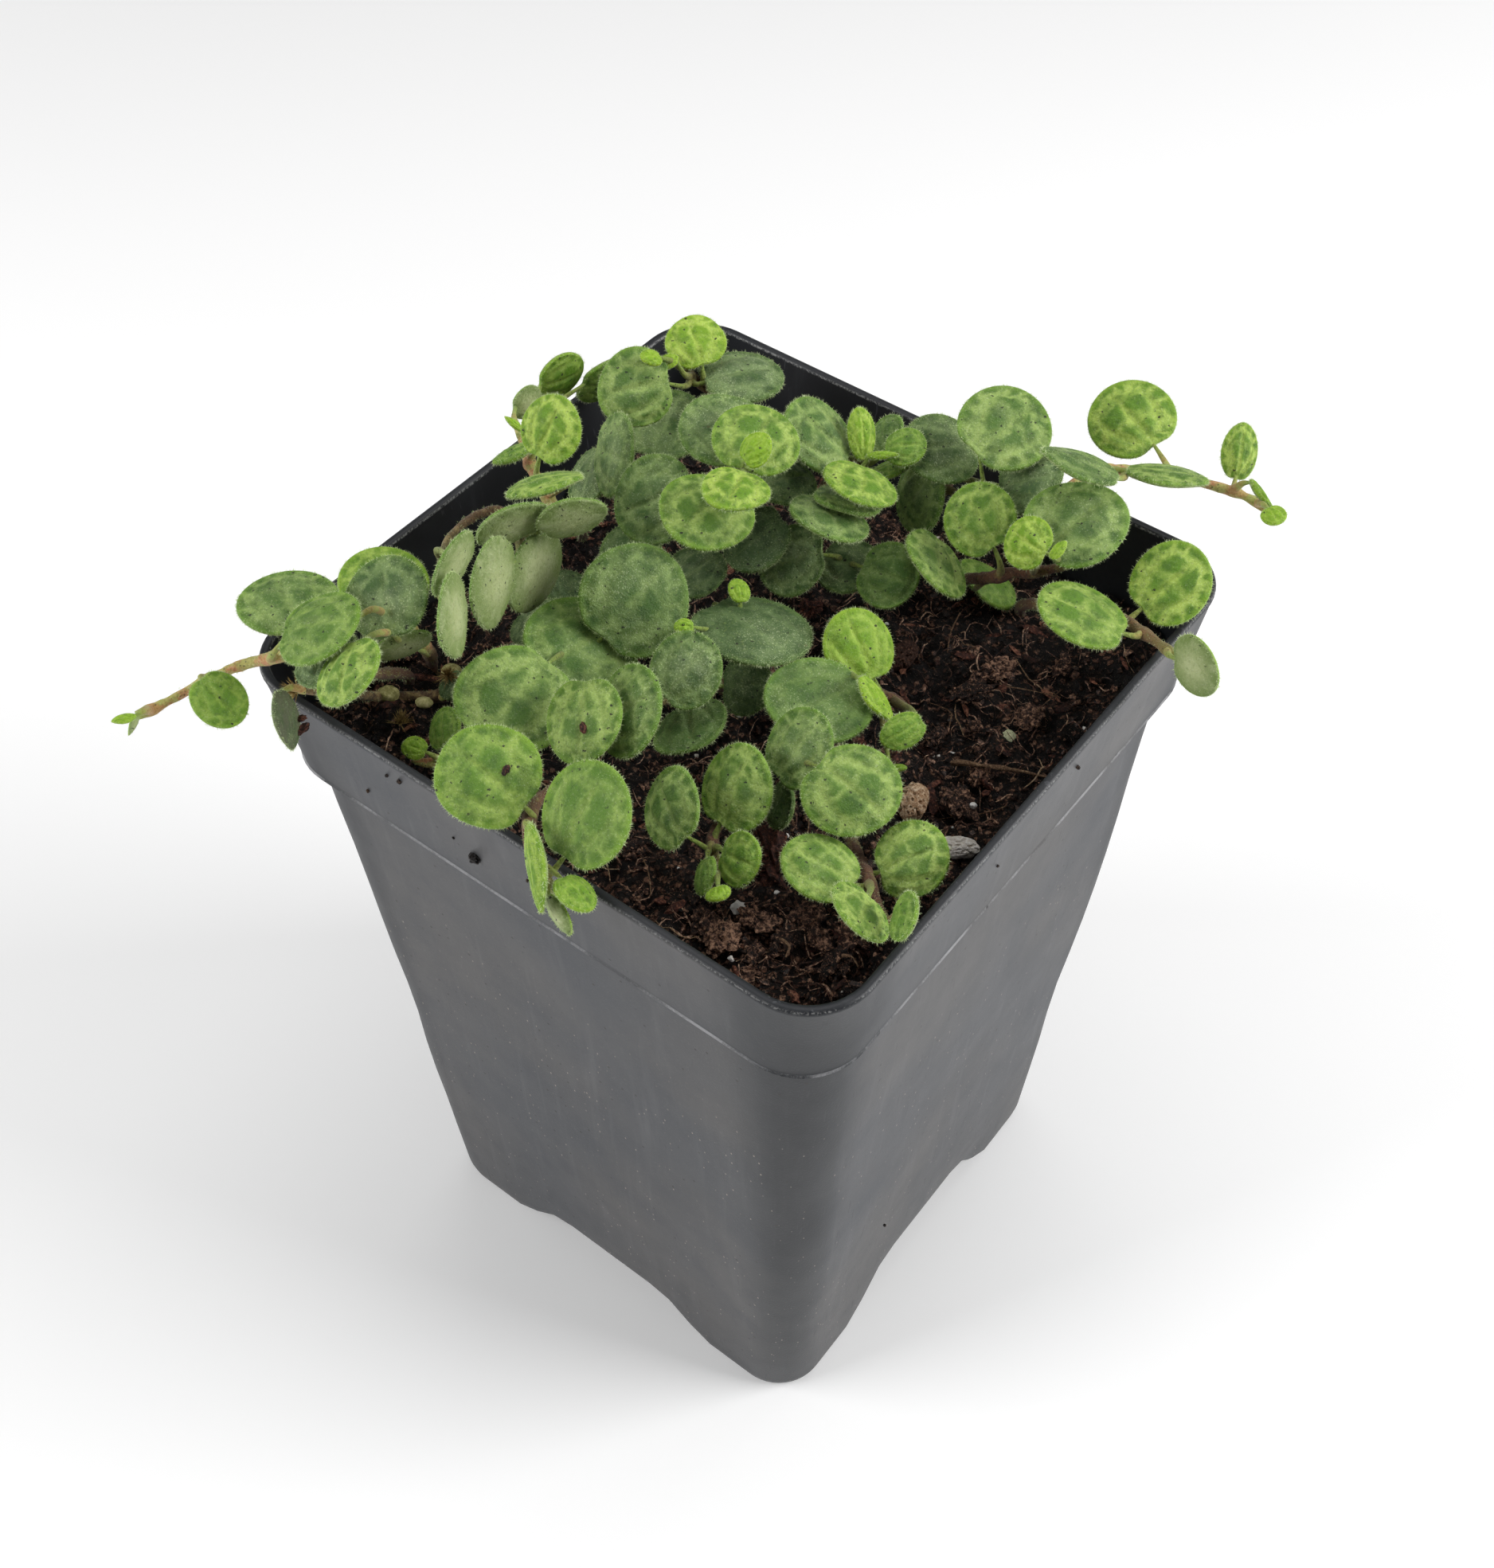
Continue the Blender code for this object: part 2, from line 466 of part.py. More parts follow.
def passing_stems(leaves, stems):
    """For each blade, the points of each stem that it covers as seen, and whether it goes over or under."""
    found = []
    for i in range(len(leaves.vine)):
        for vine, stem in stems.items():
            line = np.vstack([stem[2:], (stem[2:-1] + stem[3:]) / 2])
            ahead, _, slope = over_disc(leaves, i, line, STEM_MARGIN)
            covered = ~np.isnan(ahead)
            if covered.any():
                need = (HALF_BLADE + STEM_RADIUS + BLADE_CLEAR) / slope
                over = worst(need + ahead) < OVER_FIRST or worst(need + ahead) < worst(need - ahead)
                found.append((i, line[covered], need, over))
    return found


def clear_soil_and_lip(leaves):
    """Lifts each blade along its line of sight until it is clear of the soil and of the pot's lip."""
    points, _ = leaves.points(SPARE_REACH)
    edge = np.abs(points[..., :2]).max(-1)
    over_soil = soil_top(points[..., 0], points[..., 1]) + OVER_SOIL + HALF_BLADE
    floor = np.where(edge < RIM_HALF, over_soil, -np.inf)
    on_lip = (edge > RIM_HALF - WALL - LIP_MARGIN) & (edge < RIM_HALF + LIP_MARGIN)
    floor = np.where(on_lip, POT_HEIGHT + OVER_LIP + HALF_BLADE, floor)
    low = np.clip((floor - points[..., 2]).max(1), 0, MOST_CLIMB)
    leaves.centre += leaves.sight * (low / leaves.sight[:, 2])[:, None]


def part_blades(leaves, stems):
    """Slides blades along their lines of sight until none touches another, a stem, the soil or the pot.

    The blade in front stays in front, so the plant looks the same from where it is seen.
    """
    passing = passing_stems(leaves, stems)
    for _ in range(ROUNDS):
        push = np.zeros(len(leaves.vine))
        points, out = leaves.points(SPARE_REACH)
        for (front, back), _ in leaves.pairs:
            short = min(shortfall(leaves, front, back, points, out), MOST_SHORT) * PAIR_SHARE
            push[front] += short
            push[back] -= short
        for i, line, need, over in passing:
            ahead, _, _ = over_disc(leaves, i, line, STEM_WIDE_MARGIN)
            side = 1 if over else -1
            push[i] += side * min(max(worst(need + side * ahead), 0), MOST_SHORT) * STEM_SHARE
        leaves.centre += leaves.sight * np.clip(push, -MOST_PUSH, MOST_PUSH)[:, None]
        clear_soil_and_lip(leaves)


def raise_stems(stems, leaves):
    """Each stem climbs part of the way after its own blades, so that their stalks stay short."""
    for vine, stem in stems.items():
        own = leaves.centre[leaves.vine == vine]
        climb = np.zeros(len(stem))
        for k, point in enumerate(stem):
            gap = own - point
            sight = unit(EYE - point)
            near = own[np.linalg.norm(gap - np.outer(gap @ sight, sight), axis=1) < STEM_NEAR]
            if k > STEM_FIXED and len(near):
                climb[k] = max(near[:, 2].mean() - STEM_BEHIND - point[2], 0) * FOLLOW
        kernel = np.array(EASE_KERNEL) / sum(EASE_KERNEL)
        climb = np.convolve(np.pad(climb, len(kernel) // 2, "edge"), kernel, "valid")
        climb[:STEM_FIXED] = 0
        sight = unit(EYE - stem)
        stems[vine] = stem + sight * (climb / sight[:, 2])[:, None]


def stalk_path(leaves, which, stems, stalks):
    """A leaf stalk from its foot on the stem, over one knee, into the blade.

    The knee is bowed to whichever side keeps the stalk most clear of the rest and bends it least.
    """
    tip = leaves.tip[which]
    normal = leaves.normal[which]
    end = leaves.centre[which] - tip * leaves.length[which] * STALK_END
    base = leaves.centre[which] - tip * leaves.length[which] * BASE
    foot = leaves.foot[which]
    reach = np.linalg.norm(base - foot)
    across = np.cross(tip, normal)
    others = [stem[1:] for vine, stem in stems.items() if vine != leaves.vine[which]]
    others += [evenly(stalk) for i, stalk in enumerate(stalks) if leaves.vine[i] != leaves.vine[which]]
    rest = np.vstack(others)
    gaps = np.linalg.norm(leaves.centre - (base + foot) / 2, axis=1)
    near = [i for i in range(len(gaps)) if i != which and gaps[i] < reach / 2 + leaves.length[i]]
    best, best_room = None, -1e9
    for turn in np.radians(np.arange(0, 360, 45)):
        for bow in KNEE_BOWS:
            side = (across * math.cos(turn) + normal * math.sin(turn)) * bow * max(reach, 2.0)
            path = np.array([foot, foot + (base - foot) * KNEE_SHARE + side, end])
            probe = evenly(path)[1:-1]
            room = np.linalg.norm(probe[:, None] - rest[None], axis=2).min() - STEM_RADIUS
            for i in near:
                offset = probe - leaves.centre[i]
                rise = offset @ leaves.normal[i]
                flat = np.linalg.norm(offset - np.outer(rise, leaves.normal[i]), axis=1)
                beyond = np.maximum(flat - leaves.length[i] / 2, 0)
                above = np.maximum(np.abs(rise) - HALF_BLADE, 0)
                room = min(room, np.hypot(beyond, above).min())
            fold = unit(path[1] - foot) @ unit(end - path[1])
            room = min(room, KNEE_ROOM) - KNEE_COST * bow * reach - FOLD_COST * max(FOLD_LIMIT - fold, 0)
            inside = (np.abs(probe[:, :2]) < RIM_HALF).all()
            if inside and (probe[:, 2] < soil_top(probe[:, 0], probe[:, 1]) + 1).any():
                room -= 1.0
            if room > best_room:
                best, best_room = path, room
    return best


def plan_plant():
    """Works out where every stem, blade and stalk lies."""
    stems = {}
    for vine, (route, _) in VINES.items():
        points = place(np.array(route, float))
        ground = soil_top(points[0, 0], points[0, 1])
        foot = [points[0, :2].tolist() + [ground + rise] for rise in (-ROOT_DEEP, -1.0, 2.0)]
        low = soil_top(points[1:, 0], points[1:, 1]) + STEM_RADIUS + 0.4 - points[1:, 2]
        inside = np.abs(points[1:, :2]).max(1) < RIM_HALF
        sight = unit(EYE - points[1:])
        points[1:] += sight * (np.where(inside, np.maximum(low, 0), 0) / sight[:, 2])[:, None]
        stems[vine] = smooth(np.vstack([foot, points[1:]]), 2)[1:]
    leaves = Leaves()
    leaves.tip = leaves.along.copy()
    leaves.turn_from(stems)
    leaves.pairs = overlapping_pairs(leaves)
    for hardly in HARDLY:
        swap_cheap_pairs(leaves, hardly)
        part_blades(leaves, stems)
    raise_stems(stems, leaves)
    leaves.turn_from(stems)
    for hardly in HARDLY:
        swap_cheap_pairs(leaves, hardly)
        part_blades(leaves, stems)
    stalks = []
    for i in range(len(leaves.vine)):
        stalks.append(stalk_path(leaves, i, stems, stalks))
    return stems, leaves, stalks


def material(name):
    found = bpy.data.materials.get(name)
    if found:
        return found
    colour, roughness = COLOURS[name]
    made = bpy.data.materials.new(name)
    made.use_nodes = True
    shader = made.node_tree.nodes["Principled BSDF"]
    shader.inputs["Base Color"].default_value = colour
    shader.inputs["Roughness"].default_value = roughness
    return made


def add_object(name, mesh, group, finish):
    piece = bpy.data.objects.new(name, mesh)
    group.objects.link(piece)
    piece.data.materials.append(material(finish))
    return piece


def from_bmesh(name, body):
    mesh = bpy.data.meshes.new(name)
    bmesh.ops.recalc_face_normals(body, faces=body.faces[:])
    if body.calc_volume(signed=True) < 0:
        bmesh.ops.reverse_faces(body, faces=body.faces[:])
    body.to_mesh(mesh)
    body.free()
    return mesh


def rounded_square(half, corner):
    """The points of a square with round corners, in mm, and with points along each side for the arches."""
    stops = np.array([-ARCH_END, -ARCH_FLAT, ARCH_FLAT, ARCH_END]) * half / BODY_FOOT_HALF
    arc = np.radians([0, 30, 60, 90])
    quarter = [(half, y) for y in stops]
    quarter += [(half - corner + corner * math.cos(a), half - corner + corner * math.sin(a)) for a in arc]
    turns = []
    for k in range(4):
        cos, sin = round(math.cos(k * math.pi / 2)), round(math.sin(k * math.pi / 2))
        turns += [(x * cos - y * sin, x * sin + y * cos) for x, y in quarter]
    return np.array(turns)


def ease(value):
    value = np.clip(value, 0, 1)
    return value * value * (3 - 2 * value)


def underside(x, y):
    """Height of the pot's underside in mm: feet at the corners, a pad in the middle, channels between."""
    x_out, y_out = np.abs(x), np.abs(y)
    side_channel = ease((ARCH_END - y_out) / (ARCH_END - ARCH_FLAT)) * ARCH_SIDE
    front_channel = ease((ARCH_END - x_out) / (ARCH_END - ARCH_FLAT)) * ARCH_FRONT
    channel = np.where(x_out > y_out, side_channel, front_channel)
    middle = np.maximum(x_out, y_out) < ARCH_END
    channel = np.where(middle, np.maximum(side_channel, front_channel), channel)
    return channel * ease((np.hypot(x, y) - PAD_RADIUS) / (PAD_END - PAD_RADIUS))


def loft(name, rings):
    """Skins a list of equal closed rings and closes both ends with a fan."""
    body = bmesh.new()
    rows = [[body.verts.new(Vector(point) * MM) for point in ring] for ring in rings]
    count = len(rows[0])
    for low, high in zip(rows, rows[1:]):
        for i in range(count):
            j = (i + 1) % count
            body.faces.new((low[i], low[j], high[j], high[i]))
    for row in (rows[0], rows[-1]):
        hub = body.verts.new(sum((v.co for v in row), Vector()) / count)
        for i in range(count):
            body.faces.new((row[i], row[(i + 1) % count], hub))
    bmesh.ops.triangulate(body, faces=body.faces[:])
    return from_bmesh(name, body)


def ring_at(half, corner, height):
    flat = rounded_square(half, corner)
    return np.column_stack([flat, np.full(len(flat), height)])


def wall_half(height):
    """Half the body's width at a height: it tapers from below the collar to the foot."""
    share = height / (POT_HEIGHT - COLLAR_TALL)
    return BODY_FOOT_HALF + (BODY_TOP_HALF - BODY_FOOT_HALF) * share


def floor_rings(half, corner, raise_by):
    """Rings that shrink towards the middle and follow the underside, raised by some height."""
    rings = []
    for share in FLOOR_RINGS:
        flat = rounded_square(half, corner) * share
        height = underside(flat[:, 0], flat[:, 1]) + raise_by
        rings.append(np.column_stack([flat, height]))
    return rings


def pot_mesh():
    """Lofted from the pad in the middle of the floor, up the outer wall, over the lip and down inside."""
    foot = BODY_FOOT_HALF - FOOT_ROUND * 0.6
    outer = floor_rings(foot, FOOT_CORNER, 0)
    lifted = ring_at(wall_half(FOOT_ROUND), FOOT_CORNER, 0)
    edge = outer[-1][:, 2]
    lifted[:, 2] = edge + FOOT_ROUND * (1 - 0.35 * edge / ARCH_SIDE)
    outer.append(lifted)
    step = POT_HEIGHT - COLLAR_TALL
    for half, corner, height in (
        (wall_half(0.45 * step), FOOT_CORNER + 0.6, 0.45 * step),
        (BODY_TOP_HALF, RIM_CORNER - 0.4, step - 0.3),
        (COLLAR_FOOT_HALF, RIM_CORNER, step),
        (RIM_HALF, RIM_CORNER, POT_HEIGHT - LIP_ROUND),
        (RIM_HALF - 0.35, RIM_CORNER - 0.3, POT_HEIGHT),
        (RIM_HALF - WALL + 0.2, RIM_CORNER - WALL + 0.2, POT_HEIGHT),
        (RIM_HALF - WALL - 0.1, RIM_CORNER - WALL, POT_HEIGHT - LIP_ROUND),
        (COLLAR_FOOT_HALF - WALL - 0.1, RIM_CORNER - WALL, step + 1.2),
        (BODY_TOP_HALF - WALL, RIM_CORNER - 0.4 - WALL, step - 0.6),
    ):
        outer.append(ring_at(half, corner, height))
    inner_floor = floor_rings(foot - WALL * 0.7, FOOT_CORNER - WALL, WALL)
    lowest = ring_at(wall_half(FOOT_ROUND) - WALL, FOOT_CORNER - WALL, 0)
    lowest[:, 2] = inner_floor[-1][:, 2] + FOOT_ROUND * 0.6
    return loft("pot", outer + [lowest] + inner_floor[::-1])


def soil_mesh():
    """One block inside the pot: sides along the walls, a lumpy top, an underside that follows the floor."""
    inset = WALL + GAP
    foot = BODY_FOOT_HALF - FOOT_ROUND * 0.6 - inset
    rings = floor_rings(foot, FOOT_CORNER - inset, WALL + GAP * 1.6)
    lowest = ring_at(wall_half(FOOT_ROUND) - inset - 0.2, FOOT_CORNER - inset, 0)
    lowest[:, 2] = rings[-1][:, 2] + FOOT_ROUND
    rings.append(lowest)
    step = POT_HEIGHT - COLLAR_TALL
    rings.append(ring_at(BODY_TOP_HALF - inset - 0.1, RIM_CORNER - 0.4 - inset, step - 1.2))
    top_half = COLLAR_FOOT_HALF - inset - 0.15
    for share in (1.0, 0.85, 0.66, 0.45, 0.22):
        flat = rounded_square(top_half, RIM_CORNER - inset) * share
        rings.append(np.column_stack([flat, soil_top(flat[:, 0], flat[:, 1])]))
    return loft("soil", rings)


def tube(name, points, radius, sides_step, taper=1.0):
    """A tube along points in mm, as a bevelled curve made a mesh with its caps welded on."""
    curve = bpy.data.curves.new(name, "CURVE")
    curve.dimensions = "3D"
    curve.bevel_depth = radius * MM
    curve.bevel_resolution = sides_step
    curve.use_fill_caps = True
    line = curve.splines.new("POLY")
    line.points.add(len(points) - 1)
    for i, (knot, point) in enumerate(zip(line.points, points)):
        knot.co = (*(point * MM), 1)
        knot.radius = 1 + (taper - 1) * i / (len(points) - 1)
    guide = bpy.data.objects.new(name, curve)
    bpy.context.scene.collection.objects.link(guide)
    graph = bpy.context.evaluated_depsgraph_get()
    mesh = bpy.data.meshes.new_from_object(guide.evaluated_get(graph))
    bpy.data.objects.remove(guide)
    body = bmesh.new()
    body.from_mesh(mesh)
    bpy.data.meshes.remove(mesh)
    bmesh.ops.remove_doubles(body, verts=body.verts[:], dist=0.01 * MM)
    return from_bmesh(name, body)


def blade_mesh(name, leaves, which):
    """A flattened ball of three bands: round, notched at the stalk, with a crowned top and a fuller belly."""
    body = bmesh.new()
    length, width = leaves.length[which], leaves.width[which]
    sides = BLADE_SIDES if length > BUD_SPAN else BUD_SIDES
    bmesh.ops.create_uvsphere(body, u_segments=sides, v_segments=3, radius=1)
    small = min(1.0, length / 7)
    for vert in body.verts:
        x, y, z = vert.co
        turn = (math.atan2(y, x) + BLADE_TURN + math.pi) % (2 * math.pi) - math.pi
        if math.hypot(x, y) < 0.1:
            swell = CROWN if z > 0 else BELLY
            vert.co = (0, 0, math.copysign(RIM_THICK / 2 + swell * small, z))
            continue
        back = math.exp(-(((abs(turn) - math.pi) / NOTCH_TURN) ** 2))
        point = math.exp(-((turn / POINT_TURN) ** 2))
        reach = 1 - NOTCH * back * leaves.slim[which]
        lean = POINT * (1 - leaves.slim[which]) * point
        low = 1.0 if z > 0 else LOW_EDGE
        forward = length / 2 * math.cos(turn) * (reach + lean) * low
        vert.co = (forward, width / 2 * math.sin(turn) * low, math.copysign(RIM_THICK / 2, z))
    side = np.cross(leaves.normal[which], leaves.tip[which])
    frame = Matrix([[*row] for row in np.column_stack([leaves.tip[which], side, leaves.normal[which]])])
    body.transform(Matrix.Scale(MM, 4) @ Matrix.Translation(leaves.centre[which]) @ frame.to_4x4())
    return from_bmesh(name, body)


def keep_largest(mesh):
    """Drops loose scraps and the walls of sealed hollows that a union leaves: the largest shell stays."""
    body = bmesh.new()
    body.from_mesh(mesh)
    left = set(body.verts)
    shells = []
    while left:
        shell, edge = set(), [left.pop()]
        while edge:
            vert = edge.pop()
            shell.add(vert)
            for link in vert.link_edges:
                other = link.other_vert(vert)
                if other in left:
                    left.remove(other)
                    edge.append(other)
        shells.append(shell)
    for shell in sorted(shells, key=len)[:-1]:
        bmesh.ops.delete(body, geom=list(shell), context="VERTS")
    body.to_mesh(mesh)
    body.free()


def join(name, meshes, group, finish):
    """Joins the meshes into one solid with one Boolean union on a collection, and applies it."""
    base = add_object(name, meshes[0], group, finish)
    pieces = bpy.data.collections.new(name + "_pieces")
    bpy.context.scene.collection.children.link(pieces)
    for i, mesh in enumerate(meshes[1:]):
        pieces.objects.link(bpy.data.objects.new(f"{name}_piece_{i}", mesh))
    union = base.modifiers.new("join", "BOOLEAN")
    union.operation = "UNION"
    union.operand_type = "COLLECTION"
    union.collection = pieces
    union.solver = "MANIFOLD"
    graph = bpy.context.evaluated_depsgraph_get()
    joined = bpy.data.meshes.new_from_object(base.evaluated_get(graph))
    base.modifiers.clear()
    keep_largest(joined)
    base.data = joined
    for piece in list(pieces.objects):
        bpy.data.objects.remove(piece)
    bpy.data.collections.remove(pieces)
    return base


def build_vines(group, stems, leaves, stalks):
    made = []
    for vine, stem in stems.items():
        meshes = [tube(vine, stem, STEM_RADIUS, 1, STEM_TAPER)]
        for i in np.flatnonzero(leaves.vine == vine):
            meshes.append(blade_mesh(f"{vine}_blade_{i}", leaves, i))
            meshes.append(tube(f"{vine}_stalk_{i}", stalks[i], STALK_RADIUS, 0, STALK_TAPER))
        made.append(join(vine, meshes, group, "old" if vine == "old_runner" else "leaf"))
    return made


def cutter(name, mesh, cutters, target):
    tool = bpy.data.objects.new(name, mesh)
    tool.hide_render = True
    tool.display_type = "WIRE"
    cutters.objects.link(tool)
    cut = target.modifiers.new(name, "BOOLEAN")
    cut.operation = "DIFFERENCE"
    cut.object = tool


def cylinder(name, place_mm, radius, tall, sides):
    body = bmesh.new()
    size = {"radius1": radius * MM, "radius2": radius * MM, "depth": tall * MM}
    bmesh.ops.create_cone(body, cap_ends=True, segments=sides, **size)
    body.transform(Matrix.Translation(Vector(place_mm) * MM) @ Matrix.Rotation(0.1, 4, "Z"))
    return from_bmesh(name, body)


def lump_mesh(name, grow=0.0):
    """A rough stone: a ball of few faces, squashed, turned and dented. grow widens it for its seat."""
    seen, half, turn = LUMPS[name]
    centre = place(np.array(seen, float))
    body = bmesh.new()
    bmesh.ops.create_icosphere(body, subdivisions=2, radius=1)
    for vert in body.verts:
        x, y, z = vert.co
        dent = 1 + 0.10 * math.sin(5 * x + 2 * z) * math.cos(4 * y - 3 * z)
        vert.co = [part * (size * dent + grow) for part, size in zip((x, y, z), half)]
    spin = Matrix.Rotation(math.radians(turn), 4, "Z")
    body.transform(Matrix.Scale(MM, 4) @ Matrix.Translation(centre) @ spin)
    return from_bmesh(name + ("_seat" if grow else ""), body)


def main():
    for old in list(bpy.data.objects):
        bpy.data.objects.remove(old)
    group = bpy.data.collections.new("potted_string_of_turtles")
    cutters = bpy.data.collections.new("cutters")
    for collection in (group, cutters):
        bpy.context.scene.collection.children.link(collection)
    stems, leaves, stalks = plan_plant()
    pot = add_object("pot", pot_mesh(), group, "pot")
    for k in range(4):
        turn = k * math.pi / 2
        spot = (DRAIN_PLACE * math.cos(turn), DRAIN_PLACE * math.sin(turn), ARCH_FRONT)
        cutter(f"drain_{k}", cylinder(f"drain_{k}", spot, DRAIN_RADIUS, 20, 12), cutters, pot)
    soil = add_object("soil", soil_mesh(), group, "soil")
    for vine, stem in stems.items():
        top = soil_top(stem[0, 0], stem[0, 1])
        spot = (stem[0, 0], stem[0, 1], top - HOLE_DEEP / 2 + HOLE_PROUD)
        hole = cylinder(f"hole_{vine}", spot, STEM_RADIUS + HOLE_CLEAR, HOLE_DEEP, 6)
        cutter(f"hole_{vine}", hole, cutters, soil)
    for name in LUMPS:
        finish = "perlite" if name.startswith("perlite") else "pumice"
        add_object(name, lump_mesh(name), group, finish)
        cutter(f"seat_{name}", lump_mesh(name, GAP), cutters, soil)
    build_vines(group, stems, leaves, stalks)


main()
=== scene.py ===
"""Looks of the potted string of turtles: veined leaves with hairs, stems, soil with its bits, and the pot.

The plan of the plant is the one that its solids were built from: leaves and stems are placed as someone in
front of the pot sees them, ACROSS to the right, AWAY from the viewer, and LIFT above the rim. Lengths are in
millimetres until a mesh is made.
"""
import math

import bpy
import numpy as np
from mathutils import Matrix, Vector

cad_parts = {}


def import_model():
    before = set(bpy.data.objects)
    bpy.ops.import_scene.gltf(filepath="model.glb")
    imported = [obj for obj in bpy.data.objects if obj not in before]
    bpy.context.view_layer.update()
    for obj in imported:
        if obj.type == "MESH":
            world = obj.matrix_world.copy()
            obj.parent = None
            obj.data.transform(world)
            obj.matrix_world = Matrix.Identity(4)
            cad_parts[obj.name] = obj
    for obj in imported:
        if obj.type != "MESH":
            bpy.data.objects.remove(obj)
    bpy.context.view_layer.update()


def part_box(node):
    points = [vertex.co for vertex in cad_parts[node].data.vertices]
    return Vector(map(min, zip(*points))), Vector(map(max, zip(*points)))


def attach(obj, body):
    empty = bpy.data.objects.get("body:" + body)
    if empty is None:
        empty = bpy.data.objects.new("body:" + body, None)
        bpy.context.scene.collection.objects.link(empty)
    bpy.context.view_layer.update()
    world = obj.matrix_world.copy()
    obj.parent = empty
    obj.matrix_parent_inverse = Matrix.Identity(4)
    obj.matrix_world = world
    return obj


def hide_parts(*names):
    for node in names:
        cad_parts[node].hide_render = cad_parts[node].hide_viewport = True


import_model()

MM = 0.001
POT_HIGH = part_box("pot")[1]

# The pot, in millimetres: its outer sizes come from the frame, and LEDGE is the height of its collar's foot.
RIM_HALF = round(POT_HIGH.x / MM, 1)
POT_HEIGHT = round(POT_HIGH.z / MM, 1)
COLLAR_TALL = 16.5
LEDGE = POT_HEIGHT - COLLAR_TALL
COLLAR_FOOT_HALF = 42.7
BODY_TOP_HALF = 41.3
BODY_FOOT_HALF = 35.6
RIM_CORNER = 8.7
FOOT_CORNER = 7.4
BODY_CORNER = 8.3
WALL = 1.2
FOOT_ROUND = 3.0
ARCH_SIDE = 9.5
ARCH_FRONT = 6.5
ARCH_FLAT = 9.0
ARCH_END = 19.0
PAD_RADIUS = 9.5
PAD_END = 14.0
DRAIN_RADIUS = 3.5
DRAIN_PLACE = 25.0
DRAIN_DEEP = 20.0
DRAINS = 4

# The soil, in millimetres: its gap to the pot, its depth under the rim, and the height of its low lumps.
GAP = 0.35
SOIL_DROP = 12.0
SOIL_LUMP = 0.9

# The viewer of the plan: how far back from the pot's middle, how far above the rim, and the turn.
VIEW_TURN = math.radians(37.61)
EYE_BACK = 168.8
EYE_UP = 165.9

# The plant, in millimetres. From a blade's middle, BASE is the share of its length back to its edge at the
# stalk, and STALK_END the share back to where the stalk ends. ROUNDNESS is a blade's size over its ellipse.
STEM_RADIUS = 0.8
STEM_TAPER = 0.75
STALK_RADIUS = 0.5
BASE = 0.53
STALK_END = 0.35
BEND_COST = 4.0
FOOT_RISES = (-6.0, -1.0, 2.0)
STEM_OVER_SOIL = 0.4
RIM_THICK = 0.7
CROWN = 0.3
BELLY = 0.6
BLADE_CLEAR = 0.25
ROUNDNESS = 0.93
NOTCH = 0.14
NOTCH_TURN = 0.34
POINT = 0.12
POINT_TURN = 0.5
HALF_BLADE = RIM_THICK / 2 + (CROWN + BELLY) / 2

# How blades and stems are kept apart, in millimetres, or as shares where no length is meant. Blades count
# as overlapping when they are nearer than NEARLY of their reach, and hardly so above each share in HARDLY.
NEARLY = 1.1
LEAST_SLOPE = 0.3
LEAST_FACING = 0.1
SWAP_FROM = 0.2
DISC_RINGS = ((0.55, 2), (1.0, 1))
HARDLY = (0.7, 0.6, 0.5)
ROUNDS = 30
SPARE_REACH = 1.04
PAIR_SHARE = 0.4
STEM_SHARE = 0.5
MOST_SHORT = 2.0
MOST_PUSH = 1.2
MOST_CLIMB = 1.5
OVER_SOIL = 0.6
OVER_LIP = 0.4
LIP_MARGIN = 1.5
LEAF_MARGIN = 0.15
STEM_MARGIN = 0.4
STEM_WIDE_MARGIN = 1.0
OVER_FIRST = 12.0
FOLLOW = 0.9
STEM_BEHIND = 2.5
STEM_NEAR = 9.0
STEM_FIXED = 3
EASE_KERNEL = (1, 2, 3, 2, 1)
KNEE_SHARE = 0.6
KNEE_BOWS = (0.0, 0.25, 0.5)
KNEE_ROOM = 1.2
KNEE_COST = 0.15
LEAST_REACH = 2.0
SOIL_ROOM = 1.0
FOLD_LIMIT = 0.3
FOLD_COST = 0.8

# The fine leaves, in millimetres, counts or shares. A blade is a lens where it looks flatter than
# LENS_SQUASH, and it swells and quilts less where it is seen more nearly edge-on than EDGE_ON.
SEED = 7
LEAF_COLUMNS = 54
BUD_COLUMNS = 30
SMALL_LEAF = 5.0
FULL_SPAN = 7.0
TOP_ROWS = 15
RIM_ROWS = 5
BELLY_ROWS = 5
LONG_SHARE = 0.985
LEAST_SHORT = 0.58
STALK_SHIFT = 0.3
LENS = 0.36
LENS_SQUASH = (0.6, 0.35)
EDGE_ON = (0.2, 0.7)
LEAST_PLUMP = 0.4
CUP = 0.018
DOME = 0.022
WAVES = (0.01, 0.014, 0.009)
QUILT = 0.28
QUILT_SPAN = 10
QUILT_EDGE = (0.97, 0.87)
ROUGH_SKIN = 0.07
ROUGH_SIZE = 0.32
SEED_APART = 9
CLEAR_VEINS = (5.5, 9.0)

# The fine stems, in millimetres or shares.
TUBE_SIDES = 10
STEM_BUMP = 0.2
STEM_ROUGH = 0.2
STALK_ROUGH = 0.08
NODE_REACH = 1.3
STALK_REACH = 0.84
STALK_SUNK = -0.12
PLAIN_TONE = 0.9

